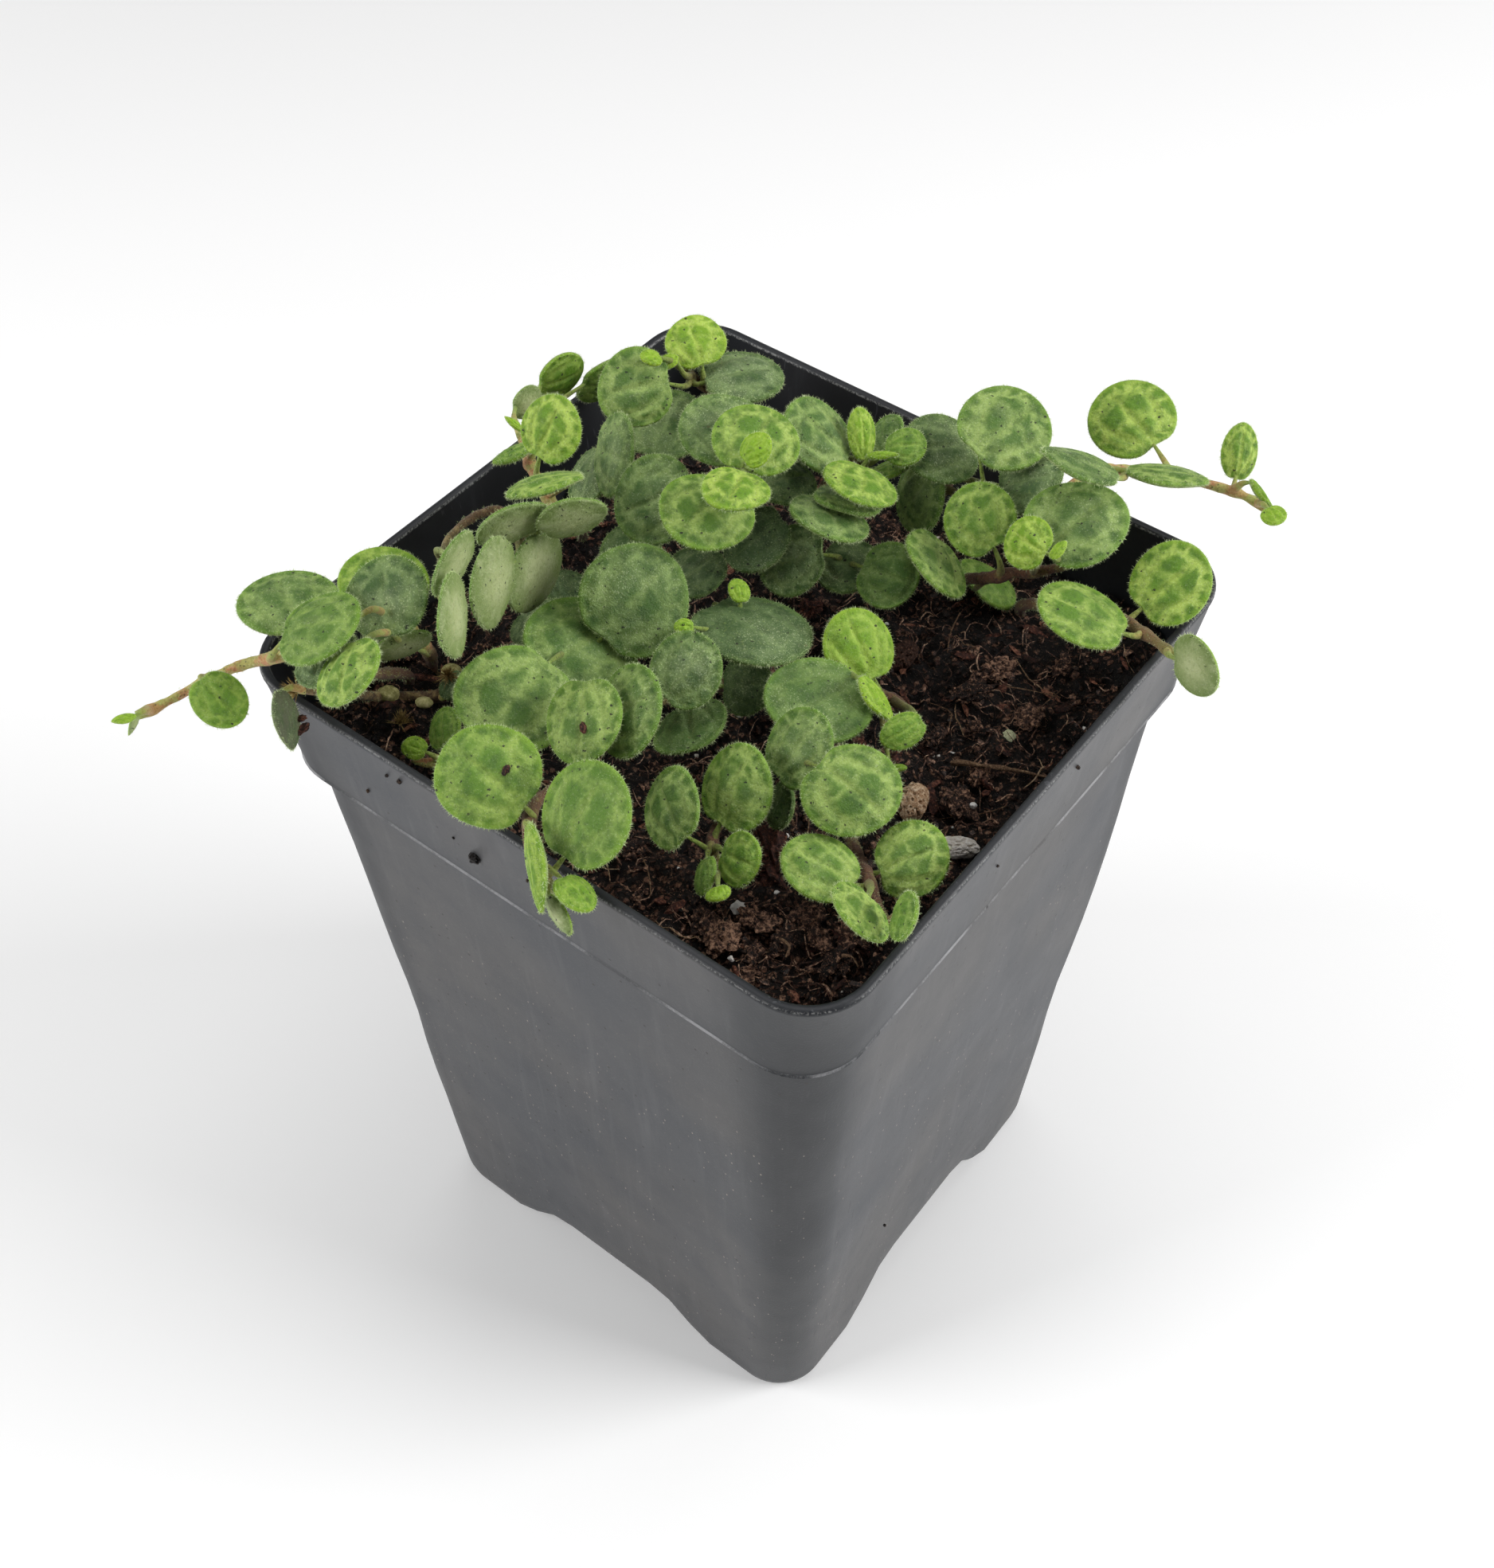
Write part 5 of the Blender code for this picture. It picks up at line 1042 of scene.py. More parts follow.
def leaf_finish():
    """Soft feathered veins fan out from the stalk to a ring near the rim, under frost, specks and scabs.

    A point's cell is 0 on a vein and 1 well beside it. The veins' colour shows by 1 less the cell, the
    ground's by the rest, and the coats that follow lie on both where their noise is high. The belly has
    coats of its own.
    """
    leaf = Finish("leaf", Sheen_Weight=0.1, Sheen_Roughness=0.5, Specular_IOR_Level=0.42,
                  Sheen_Tint=LEAF["sheen"], Subsurface_Weight=0.1, Subsurface_Scale=0.0012,
                  Subsurface_Radius=(0.5, 1.0, 0.2))
    x, y, top = leaf.noted("leaf_place")
    age, seed, tone = leaf.noted("leaf_kind")

    # The place on the leaf, swayed and feathered by noise.
    where = leaf.point(x, y, seed * 40)
    feather = leaf.noise(where, 7.0, 3.0, 0.65)
    sway = leaf.noise(where, 1.7, 3.0, 0.6) - 0.5
    sway_across = leaf.noise(leaf.point(y, x, seed * 31), 1.7, 3.0, 0.6) - 0.5
    sx = x + sway * 0.55 + feather * 0.16 - 0.08
    sy = y + sway_across * 0.55 + feather * 0.12 - 0.06
    from_stalk = sx - STALK_POLE
    ray = leaf.math("ARCTAN2", sy, from_stalk) + leaf.math("ARCTAN2", sy, TIP_POLE - sx)
    ray = leaf.math("ABSOLUTE", ray)
    away = leaf.math("SQRT", from_stalk * from_stalk + sy * sy)
    out = leaf.math("SQRT", x * x + y * y)
    reach = out + sway * 0.7
    bearing = leaf.math("ABSOLUTE", leaf.math("ARCTAN2", sy, sx))

    # How far it is to the nearest ray, cross vein, fork and ring.
    to_vein = leaf.math("PINGPONG", ray, VEIN_STEP / 2) * away
    lane = leaf.math("FLOOR", ray / VEIN_STEP) * LANE_SHIFT
    to_cross = leaf.math("PINGPONG", away + lane + seed, CROSS_STEP / 2)
    to_fork = leaf.math("PINGPONG", bearing + seed + sway * 1.4, FORK_STEP / 2)
    to_arc = leaf.math("ABSOLUTE", reach - ARC)
    inner = leaf.step(to_vein, *BESIDE_VEIN) * (0.4 + leaf.step(to_cross, *BESIDE_CROSS) * 0.6)
    outer = leaf.step(to_fork, *BESIDE_FORK)
    inside = leaf.step(reach, ARC + ARC_SOFT, ARC - ARC_SOFT)
    arc = leaf.step(to_arc, *BESIDE_ARC) * leaf.step(away, 0.3, 0.8)
    cell = (outer + inside * (inner - outer)) * (1 - arc * 0.75) * leaf.step(away, 0.0, 0.45)

    # How pale the veins are: less on old leaves, and uneven.
    blotch = leaf.noise(where, 2.2, 4.0, 0.62)
    mist = leaf.noise(leaf.point(y, seed * 17, x), 1.3, 3.0, 0.6)
    plain = leaf.step(age, 0.3, 0.85)
    pale = (1 - cell) * (0.45 + leaf.step(blotch, 0.34, 0.6) * 0.7)
    pale = pale * (0.45 + leaf.step(tone, 0.0, 0.5) * 0.65)
    pale = leaf.math("MINIMUM", pale * (0.75 + leaf.step(feather, 0.38, 0.6) * 0.4), 1.0)
    pale = pale * (1 - plain * 0.45) + plain * leaf.step(mist, 0.4, 0.7) * 0.25
    veil = leaf.step(out, 1.0, 0.1) * leaf.step(mist, 0.3, 0.7) * plain * (0.1 + tone * 0.35)

    by_age = [leaf.ramp(age, *zip(LEAF_AGES, row)) for row in (VEINS, GROUND, SHADE, EDGE)]
    veins, ground, shade, edge = by_age
    place_mm = leaf.place()
    fuzz = leaf.noise(place_mm, 4.6, 3.0, 0.75)
    grain = leaf.noise(place_mm, 2.1, 4.0, 0.7)
    frost = leaf.step(fuzz, 0.54, 0.68) * (0.12 + pale * 0.25 + leaf.step(mist, 0.36, 0.66) * plain * 0.5)
    face = leaf.coats(
        ground,
        (shade, leaf.step(blotch + feather * 0.2, 0.62, 0.4) * 0.8),
        (veins, pale),
        # A yellower rim all round: partly the leaf's own margin, partly a painted glow of light through the
        # thin edge.
        (edge, leaf.step(out + sway * 0.2 + feather * 0.08, 0.88, 1.06) * 0.75),
        (LEAF["veil"], veil),
        (LEAF["pit"], leaf.step(grain, 0.48, 0.32) * 0.35),
        (LEAF["grain"], leaf.step(grain, 0.56, 0.72) * 0.2),
        (LEAF["frost"], frost),
        (LEAF["pore"], leaf.step(fuzz, 0.42, 0.28) * 0.3),
        (LEAF["dry"], leaf.step(age, 0.92, 0.98) * (0.3 + leaf.step(blotch, 0.4, 0.6) * 0.5)))
    belly = leaf.coats(
        LEAF["belly"],
        # Painted shade with a real darker rim: the belly darkens from its middle out to its rim as it curves
        # away.
        (LEAF["belly_edge"], leaf.step(out + sway * 0.5, 0.1, 1.0)),
        (LEAF["belly_pale"], leaf.step(blotch, 0.4, 0.7) * 0.4),
        (LEAF["belly_pit"], leaf.step(grain, 0.5, 0.32) * 0.4),
        (LEAF["belly_frost"], leaf.step(fuzz, 0.54, 0.7) * 0.35))
    scabs = leaf.step(leaf.noise(place_mm, 0.9, 3.0, 0.6), 0.7, 0.74) * leaf.step(age, 0.3, 0.9)
    speck_place = leaf.jostled(place_mm, leaf.noise(place_mm, 3.0, 1.0), (0.8, 0.3, 0.5))
    specks = leaf.step(leaf.spots(speck_place, 0.85), 0.16, 0.1)
    specks = specks * leaf.step(leaf.noise(place_mm, 0.3), 0.4, 0.5)
    colour = leaf.coats(
        belly,
        (face, leaf.step(top, 0.3, 0.6)),
        (LEAF["scab"], scabs * 0.5),
        (LEAF["speck"], specks * 0.9))
    relief = cell * (0.15 + tone * 0.35) + fuzz * 0.5 + grain * 0.9
    rough = 0.34 + fuzz * 0.3
    return leaf.wear(Base_Color=colour, Roughness=rough, Normal=leaf.bump(relief, 0.24, 0.95))


def stem_finish():
    """Brown with green blotches, or yellow-green where the tone is low: scaly, speckled and slightly fuzzy.

    The old colour takes over from the young one by the tone and near the foot, with a ragged border.
    """
    stem = Finish("stem", Sheen_Weight=0.15, Sheen_Roughness=0.5, Specular_IOR_Level=0.4)
    along, green, dry = stem.noted("stem_place")
    tone, _, _ = stem.noted("stem_tone")
    place_mm = stem.place()
    blotch = stem.noise(place_mm, 0.55, 3.0, 0.6)
    fine = stem.noise(place_mm, 3.0, 4.0, 0.65)
    young = stem.coats(
        STEM["yellow"],
        (STEM["tan"], stem.step(blotch, 0.44, 0.6)),
        (STEM["cream"], stem.step(fine, 0.52, 0.68) * 0.5))
    old = stem.mix(STEM["brown"], STEM["olive"], stem.step(blotch, 0.5, 0.66))
    husk = stem.mix(STEM["husk"], STEM["husk_dark"], stem.step(blotch + fine * 0.3, 0.52, 0.74))
    by_tone = stem.step(tone + fine * 0.3, 0.35, 0.9)
    by_foot = stem.step(along + fine * 0.1, 0.5, 0.3)
    colour = stem.coats(
        young,
        (old, stem.math("MAXIMUM", by_tone, by_foot)),
        (STEM["green"], green),
        (husk, dry),
        (STEM["pit"], stem.step(fine, 0.5, 0.36) * (0.2 + tone * 0.6)),
        (STEM["scale"], stem.step(fine, 0.6, 0.74) * 0.4),
        (STEM["speck"], stem.step(stem.spots(place_mm, 1.4), 0.2, 0.1) * 0.7))
    relief = fine + blotch * 0.5
    return stem.wear(Base_Color=colour, Normal=stem.bump(relief, 0.35, 0.9), Roughness=0.45 + fine * 0.25)


def hair_finish():
    """Pale hairs, greener or whiter from place to place by a noise."""
    hair = Finish("leaf_hair", Roughness=0.4)
    glow = hair.noise(hair.place(), 0.8)
    return hair.wear(Base_Color=hair.mix(LEAF["hair"], LEAF["bright_hair"], glow))


def soil_finish():
    """Moist peat: crumbs in every shade from black to red-brown, with painted shadow in the gaps between
    them.

    A crumb is a cell round one of many scattered points. Its shade is a random number with grain on it, and
    the painted shadow of the gap grows with the distance to the point. The front heap is redder, the rest has
    dark patches, and pale dots where the fine relief is high are painted highlights.
    """
    soil = Finish("soil", Specular_IOR_Level=0.35)
    place_mm = soil.place()
    x, y, _ = soil.apart(place_mm)
    front = soil.step(x - y, *FRONT_SOIL)
    grain = soil.noise(place_mm, 1.5, 5.0, 0.7, 1.4)
    patch = soil.noise(place_mm, 0.16, 2.0)
    fine = soil.noise(place_mm, 5.0, 3.0, 0.6)
    crumb_place = soil.jostled(place_mm, soil.noise(place_mm, 1.5, 2.0), (0.9, 0.6, 0.8))
    # Painted shadow: black between the crumbs, growing with the distance to each crumb's point.
    gap = soil.step(soil.spots(crumb_place, 1.1), 0.27, 0.52)
    shade = soil.shades(crumb_place, 1.1) * 0.4 + grain * 0.8 + fine * 0.4 - 0.29
    colour = soil.coats(
        soil.ramp(shade, *PEAT),
        (SOIL["dark"], soil.step(patch, 0.46, 0.6) * (1 - front) * 0.5),
        (SOIL["front"], front * soil.step(grain, 0.4, 0.6) * 0.5),
        (SOIL["gap"], gap * 0.95),
        # Painted highlights: pale dots where the fine relief is high.
        (SOIL["fleck"], soil.step(fine, 0.62, 0.72) * 0.55))
    relief = grain + fine * 0.5 - gap * 0.7
    rough = 0.36 + grain * 0.4
    return soil.wear(Base_Color=colour, Roughness=rough, Normal=soil.bump(relief, 0.8, 1.0))


def crumb_finish(name, low, middle, high, roughness, reach, size, flecks):
    """A grainy finish between three colours: low, which paints shade in the hollows, middle, and high, which
    paints highlights on single raised grains and on pale dots.

    One noise says how high a point lies, a piece's own tone lifts it, and a finer noise strews the pale dots.
    """
    crumb = Finish(name, Roughness=roughness, Specular_IOR_Level=0.35)
    place_mm = crumb.place()
    piece, _, _ = crumb.noted("piece_tone")
    grain = crumb.noise(place_mm, size, 4.0, 0.7)
    colour = crumb.coats(
        # Painted shade and highlights: the colour follows the same noise as the relief, darkest in its
        # hollows and palest on its raised grains and dots.
        srgb(*low),
        (srgb(*middle), crumb.step(grain + piece * 0.3, 0.46, 0.74)),
        (srgb(*high), crumb.step(grain + piece * 0.24, 0.62, 0.84)),
        (srgb(*high), crumb.step(crumb.noise(place_mm, size * 2.6, 2.0), 0.6, 0.7) * flecks))
    return crumb.wear(Base_Color=colour, Normal=crumb.bump(grain, reach, 0.9))


def pot_finish():
    """Charcoal moulded plastic, grey outside, with painted shade on the lip and inside.

    Fine grain, faint flow streaks, painted highlights along the collar's lower edge and along the lip's top,
    pale specks and bits of dirt.
    Inside is where a point lies further in than the wall is thick, by its distance to the rounded square of
    its height.
    """
    pot = Finish("pot", Specular_IOR_Level=0.42, IOR=1.5)
    place_mm = pot.place()
    x, y, z = pot.apart(place_mm)
    across, along = pot.math("ABSOLUTE", x), pot.math("ABSOLUTE", y)

    # Where the inside and the lip take painted shade, and where the corners take a painted dark reflection.
    rise = (z - LEDGE) / COLLAR_TALL
    half = COLLAR_FOOT_HALF + rise * (RIM_HALF - COLLAR_FOOT_HALF) - RIM_CORNER
    beyond_x, beyond_y = pot.math("MAXIMUM", across - half, 0.0), pot.math("MAXIMUM", along - half, 0.0)
    to_wall = pot.math("SQRT", beyond_x * beyond_x + beyond_y * beyond_y) - RIM_CORNER
    inside = pot.step(to_wall, -0.45, -0.75) * pot.step(rise, 0.0, 0.1)
    lip = pot.step(z, POT_HEIGHT - 0.5, POT_HEIGHT - 0.1)
    # Painted shade: the lip's top and the inside of the pot are darkened.
    clean = pot.math("MAXIMUM", inside, lip)
    # Painted dark reflection: the four rounded corners of the walls are darkened from the foot to the rim.
    corner = pot.step(pot.math("MINIMUM", across, along), BODY_FOOT_HALF - 9.0, BODY_FOOT_HALF)

    # Noises of the skin, and the marks on it.
    broad = pot.noise(place_mm, 0.025, 2.0, 0.5)
    cloud = pot.noise(place_mm, 0.11, 4.0, 0.6)
    streak = pot.noise(pot.stretched(place_mm, (0.5, 0.5, 0.035)), 1.0, 3.0, 0.6)
    grit = pot.noise(place_mm, 3.2, 3.0, 0.6)
    # Painted highlight: a pale line along the bead at the collar's lower edge, broken up by noise.
    scuff = pot.step(pot.math("ABSOLUTE", z - (LEDGE + 0.35)), 0.34, 0.1)
    low = pot.step(z, 92.0, 78.0) * pot.step(streak, 0.4, 0.56)
    specks = pot.step(pot.spots(pot.stretched(place_mm, (1, 1, 0.55)), 0.9), 0.13, 0.07) * low
    dirt = pot.step(pot.spots(place_mm, 0.4), 0.1, 0.06)
    scratch_place = pot.stretched(place_mm, (1.1, 1.1, 0.12), (0.5, 0.35, 0.2))
    scratch = pot.step(pot.noise(scratch_place, 1.3, 2.0, 0.5), 0.68, 0.72)
    # Painted highlight: a thin pale line along the lip's rounded top, broken up by noise.
    dust = pot.step(pot.math("ABSOLUTE", z - (POT_HEIGHT - 0.3)), 0.25, 0.05)
    dust = dust * pot.step(grit + cloud * 0.4, 0.64, 0.84)

    dark = pot.coats(
        POT["clean"],
        (POT["worn"], scratch * 0.8 + pot.step(streak, 0.55, 0.8) * 0.2),
        # The painted highlight on the lip's top.
        (POT["dust"], dust * 0.7))
    colour = pot.coats(
        POT["grey"],
        (POT["warm"], pot.step(broad, 0.35, 0.65)),
        (POT["cloud"], pot.step(cloud, 0.4, 0.8) * 0.4),
        # The painted dark reflection on the corners.
        (POT["corner"], corner * 0.95),
        (POT["streak"], pot.step(streak, 0.5, 0.8) * (0.18 - corner * 0.14)),
        (POT["grit"], pot.step(grit, 0.5, 0.8) * (0.3 - corner * 0.2)),
        # The painted highlight along the collar's lower edge.
        (POT["scuff"], scuff * pot.step(cloud + grit * 0.3, 0.5, 0.85) * 0.6),
        (POT["speck"], specks * 0.45),
        (POT["dirt"], dirt * 0.9),
        (POT["scratch"], scratch * 0.14),
        # The lip and the inside take the painted shade.
        (dark, clean * 0.85))
    rough = 0.34 + cloud * 0.16 + scratch * 0.1 + grit * 0.1
    relief = grit * 0.5 + cloud * 0.3 + scratch * 0.2
    return pot.wear(Base_Color=colour, Roughness=rough, Normal=pot.bump(relief, 0.1, 0.4))


def lattice(points, seed):
    """Noise from -1 to 1: a hashed value at each corner of a unit grid, blended with an eased share."""
    cell = np.floor(points)
    share = points - cell
    share = share * share * (3 - 2 * share)
    total = np.zeros(len(points))
    for corner in np.ndindex(2, 2, 2):
        spread = np.sin((cell + corner) @ np.array([127.1, 311.7, 74.7]) + seed * 17.3) * 43758.5453
        weight = np.prod(np.where(corner, share, 1 - share), axis=1)
        total += weight * (spread - np.floor(spread))
    return total * 2 - 1


def rough_noise(points, size, octaves, seed=0):
    """Sum of lattice noise, each octave half as large and half as strong."""
    total, strength = np.zeros(len(points)), 1.0
    for octave in range(octaves):
        total += strength * lattice(points / size * 2**octave, seed + octave)
        strength /= 2
    return total


class Sheet:
    """Surfaces gathered into one mesh, with the numbers that their finish reads at each point."""

    def __init__(self):
        self.points, self.quads, self.fans, self.notes, self.count = [], [], [], {}, 0

    def add(self, points, quads, fans, **notes):
        """Adds a closed surface, and turns its faces outwards if its volume comes out negative."""
        fans = np.asarray(fans, int).reshape(-1, 3)
        quads = np.asarray(quads, int).reshape(-1, 4)
        tris = np.vstack([fans, quads[:, [0, 1, 2]], quads[:, [0, 2, 3]]])
        middle = points.mean(0)
        a, b, c = (points[tris[:, i]] - middle for i in range(3))
        if (a * np.cross(b, c)).sum() < 0:
            quads, fans = quads[:, ::-1], fans[:, ::-1]
        self.points.append(points)
        self.quads.append(quads + self.count)
        self.fans.append(fans + self.count)
        for name, values in notes.items():
            values = np.broadcast_to(np.asarray(values, float), (len(points), 3))
            self.notes.setdefault(name, []).append(values)
        self.count += len(points)

    def make(self, name, finish, slot, *nodes, crease=50):
        """The piece: it rides on the pot's body, and stands for the CAD nodes that are named."""
        mesh = bpy.data.meshes.new(name)
        faces = np.vstack(self.quads).tolist() + np.vstack(self.fans).tolist()
        mesh.from_pydata((np.vstack(self.points) * MM).tolist(), [], faces)
        for note, values in self.notes.items():
            kept = mesh.attributes.new(note, "FLOAT_VECTOR", "POINT")
            kept.data.foreach_set("vector", np.vstack(values).astype(np.float32).ravel())
        mesh.materials.append(finish)
        mesh.shade_smooth()
        mesh.set_sharp_from_angle(angle=math.radians(crease))
        piece = bpy.data.objects.new(name, mesh)
        bpy.context.scene.collection.objects.link(piece)
        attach(piece, "root")
        if nodes:
            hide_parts(*nodes)
        return piece


def skin(rings):
    """Closes a stack of equal rings with a fan at each end: (points, quads, fans)."""
    rows, columns = rings.shape[:2]
    points = np.vstack([rings.reshape(-1, 3), rings[0].mean(0)[None], rings[-1].mean(0)[None]])
    row, column = np.meshgrid(np.arange(rows - 1), np.arange(columns), indexing="ij")
    following = (column + 1) % columns
    quads = np.stack([row * columns + column, row * columns + following,
                      (row + 1) * columns + following, (row + 1) * columns + column], -1).reshape(-1, 4)
    around = np.arange(columns)
    after = (around + 1) % columns
    last = (rows - 1) * columns
    first_fan = np.stack([after, around, np.full(columns, rows * columns)], 1)
    last_fan = np.stack([last + around, last + after, np.full(columns, rows * columns + 1)], 1)
    return points, quads, np.vstack([first_fan, last_fan])


def vein_relief(x, y):
    """1 in the middle of a cell between two rays and 0 on a ray, for points of a leaf.

    The sum of a point's two angles says which rays it lies between, and the arc's length to the nearer one
    how far.
    """
    ray = np.abs(np.arctan2(y, x - STALK_POLE) + np.arctan2(y, TIP_POLE - x))
    to_vein = np.abs((ray + VEIN_STEP / 2) % VEIN_STEP - VEIN_STEP / 2) * np.hypot(x - STALK_POLE, y)
    return ease(to_vein, 0.03, 0.2) * ease(np.hypot(x, y), 0.86, 0.66)


def leaf_form(draw):
    """How one leaf differs from an ellipse: its slow waves, its cup and its twist."""
    return {"waves": draw.normal(0, 1, 3) * WAVES, "phases": draw.uniform(0, 2 * math.pi, 3),
            "cup": draw.normal(0, CUP, 3) - (DOME, DOME, 0), "seed": draw.uniform(), "tone": draw.uniform()}


def drawn_sides(leaves, which):
    """Shares of a blade's long and short side, as seen, that its fine surface keeps.

    A blade nearer to the eye looks larger, and its thick rim widens the short side of a tilted one.
    """
    near = min(1 - (leaves.centre[which][2] - POT_HEIGHT) / EYE_UP, 1) * LONG_SHARE
    facing = min(abs(leaves.normal[which] @ leaves.sight[which]), 1.0)
    shown = leaves.length[which] * leaves.squash[which] * near - RIM_THICK * math.sqrt(1 - facing**2)
    return near, min(max(shown / (leaves.width[which] * facing), LEAST_SHORT), near)


def leaf_points(leaves, which, form, turn, out, rise):
    """Points of a leaf, and their x and y on it, as shares of its half length and its half width.

    out is the share of the way to its edge at each turn, and rise the height over its middle plane. The
    edge is an ellipse, notched at the stalk, drawn out to a point on slim leaves, with three slow waves. A
    leaf seen nearly edge-on is a lens: its width shrinks with the square of its place along. The plane is
    bent by a cup along, a cup across and a twist.
    """
    length, width, slim = leaves.length[which], leaves.width[which], leaves.slim[which]
    back = np.exp(-(((np.abs(turn) - math.pi) / NOTCH_TURN) ** 2))
    point = np.exp(-((turn / POINT_TURN) ** 2))
    edge = 1 - NOTCH * back * slim + POINT * (1 - slim) * point
    waves = zip((2, 3, 4), form["waves"], form["phases"])
    wave = sum(size * np.sin(times * turn + phase) for times, size, phase in waves)
    x = np.cos(turn) * (edge + wave) * out
    lens = LENS * ease(leaves.squash[which], *LENS_SQUASH) * np.cos(turn) ** 2
    y = np.sin(turn) * (1 + wave - lens) * out
    cup_along, cup_across, twist = form["cup"]
    bend = length * (cup_along * x * x + cup_across * y * y + twist * x * y)
    normal = leaves.normal[which]
    side = np.cross(normal, leaves.tip[which])
    flat = x[..., None] * leaves.tip[which] * length / 2 + y[..., None] * side * width / 2
    long_share, short_share = drawn_sides(leaves, which)
    short = np.cross(normal, leaves.along[which])
    flat = flat * long_share + (flat @ short)[..., None] * short * (short_share - long_share)
    middle = leaves.centre[which] - leaves.tip[which] * length * (1 - short_share) * STALK_SHIFT
    return middle + flat + (rise + bend)[..., None] * normal, x, y


def leaf_profile(length, facing):
    """Shares out, heights and top or belly from the top's middle, round the rim, to the belly's middle.

    The top swells with 1 less the square of the share out, the rim is half a circle, and the belly swells
    as the top does. A blade seen nearly edge-on swells less.
    """
    small = min(1.0, length / FULL_SPAN) * (LEAST_PLUMP + (1 - LEAST_PLUMP) * ease(facing, *EDGE_ON))
    round_share = RIM_THICK / length
    inner = np.linspace(0.05, 1 - round_share, TOP_ROWS)
    top_rise = RIM_THICK / 2 + CROWN * small * (1 - (inner / inner[-1]) ** 2)
    turn = np.linspace(math.pi / 2, -math.pi / 2, RIM_ROWS + 2)[1:-1]
    rim_out = 1 - round_share + round_share * np.cos(turn)
    rim_rise = RIM_THICK / 2 * np.sin(turn)
    under = np.linspace(1 - round_share, 0.08, BELLY_ROWS)
    under_rise = -RIM_THICK / 2 - BELLY * small * (1 - (under / under[0]) ** 2)
    out = np.concatenate([inner, rim_out, under])
    rise = np.concatenate([top_rise, rim_rise, under_rise])
    top = np.concatenate([np.ones(TOP_ROWS), 0.5 + 0.4 * np.sin(turn), np.zeros(BELLY_ROWS)])
    return out, rise, top


def add_leaf(sheet, leaves, which, form):
    """A blade: rows from the middle of its top, round the rim, to the middle of its belly.

    The top is quilted by the veins and rough by a noise, both of which fade out before the rim.
    """
    length, slim = leaves.length[which], leaves.slim[which]
    columns = LEAF_COLUMNS if length > SMALL_LEAF else BUD_COLUMNS
    turn = np.linspace(-math.pi, math.pi, columns, endpoint=False) + math.pi / columns
    facing = abs(leaves.normal[which] @ leaves.sight[which])
    out, rise, top = leaf_profile(length, facing)
    turns, outs = np.meshgrid(turn, out)
    flat_x, flat_y = np.cos(turns) * outs, np.sin(turns) * outs
    skin_place = np.stack([flat_x, flat_y, np.full(outs.shape, SEED_APART * form["seed"])], -1)
    rough = rough_noise(skin_place.reshape(-1, 3), ROUGH_SIZE, 2, which).reshape(outs.shape)
    quilt = QUILT * min(1, length / QUILT_SPAN) * slim**2 * ease(facing, *EDGE_ON)
    swell = quilt * (vein_relief(flat_x, flat_y) - 0.5) + ROUGH_SKIN * rough
    rises = rise[:, None] + swell * (top == 1)[:, None] * ease(outs, *QUILT_EDGE)
    points, x, y = leaf_points(leaves, which, form, turns, outs, rises)
    spots = np.stack([x, y, np.broadcast_to(top[:, None], x.shape)], -1).reshape(-1, 3)
    spots = np.vstack([spots, [0, 0, 1], [0, 0, 0]])
    tone = form["tone"] * ease(length, *CLEAR_VEINS) * slim
    sheet.add(*skin(points), leaf_place=spots, leaf_kind=(leaves.age[which], form["seed"], tone))


def sweep(path, radius, sides=TUBE_SIDES, bumps=0.0, seed=0):
    """Rings of a tube: each point of the path carries a circle square to it, as rough as bumps says."""
    ahead = unit(np.gradient(path, axis=0))
    aside = np.eye(3)[np.abs(ahead).mean(0).argmin()]
    right = unit(np.cross(ahead, aside))
    up = np.cross(ahead, right)
    turn = np.linspace(0, 2 * math.pi, sides, endpoint=False)
    circle = np.cos(turn)[None, :, None] * right[:, None] + np.sin(turn)[None, :, None] * up[:, None]
    width = np.broadcast_to(np.asarray(radius, float), (len(path),))[:, None]
    if bumps:
        round_points = (path[:, None] + circle * width[..., None]).reshape(-1, 3)
        width = width * (1 + bumps * rough_noise(round_points, 1.2, 2, seed).reshape(len(path), sides))
    return path[:, None] + circle * width[..., None]


def add_tube(sheet, path, radius, tone, green, dry=0.0, bumps=0.0, seed=0, start=0.0):
    """A stem or stalk: green is how green it is at each point, and start how far along its foot is."""
    rows = np.stack(np.broadcast_arrays(np.linspace(start, 1, len(path)), green, dry), 1)
    spots = np.vstack([np.repeat(rows, TUBE_SIDES, axis=0), rows[0], rows[-1]])
    sheet.add(*skin(sweep(path, radius, bumps=bumps, seed=seed)), stem_place=spots, stem_tone=(tone, 0, 0))


def stem_line(stem):
    """The stem on a finer curve, and how thick it is: tapered, as its solid is."""
    line = smooth(stem, 4)
    share = np.linspace(0, 1, len(line))
    return line, STEM_RADIUS * (1 + (STEM_TAPER - 1) * share)


def add_stem(sheet, vine, stem, feet, seed):
    """A stem that thins to its tip, with a knot at each leaf's foot that falls off as a bell curve."""
    line, radius = stem_line(stem)
    share = np.linspace(0, 1, len(line))
    gap = np.linalg.norm(line[:, None] - feet[None], axis=2).min(1)
    radius = radius * (1 - 0.25 * ease(share, 0.5, 1.0)) + STEM_BUMP * np.exp(-((gap / NODE_REACH) ** 2))
    tone, dry = STEM_TONES.get(vine, PLAIN_TONE), STEM_DRY.get(vine, 0.0)
    add_tube(sheet, line, radius, tone, 0.5 * ease(share, 0.75, 1.0), dry, STEM_ROUGH, seed)


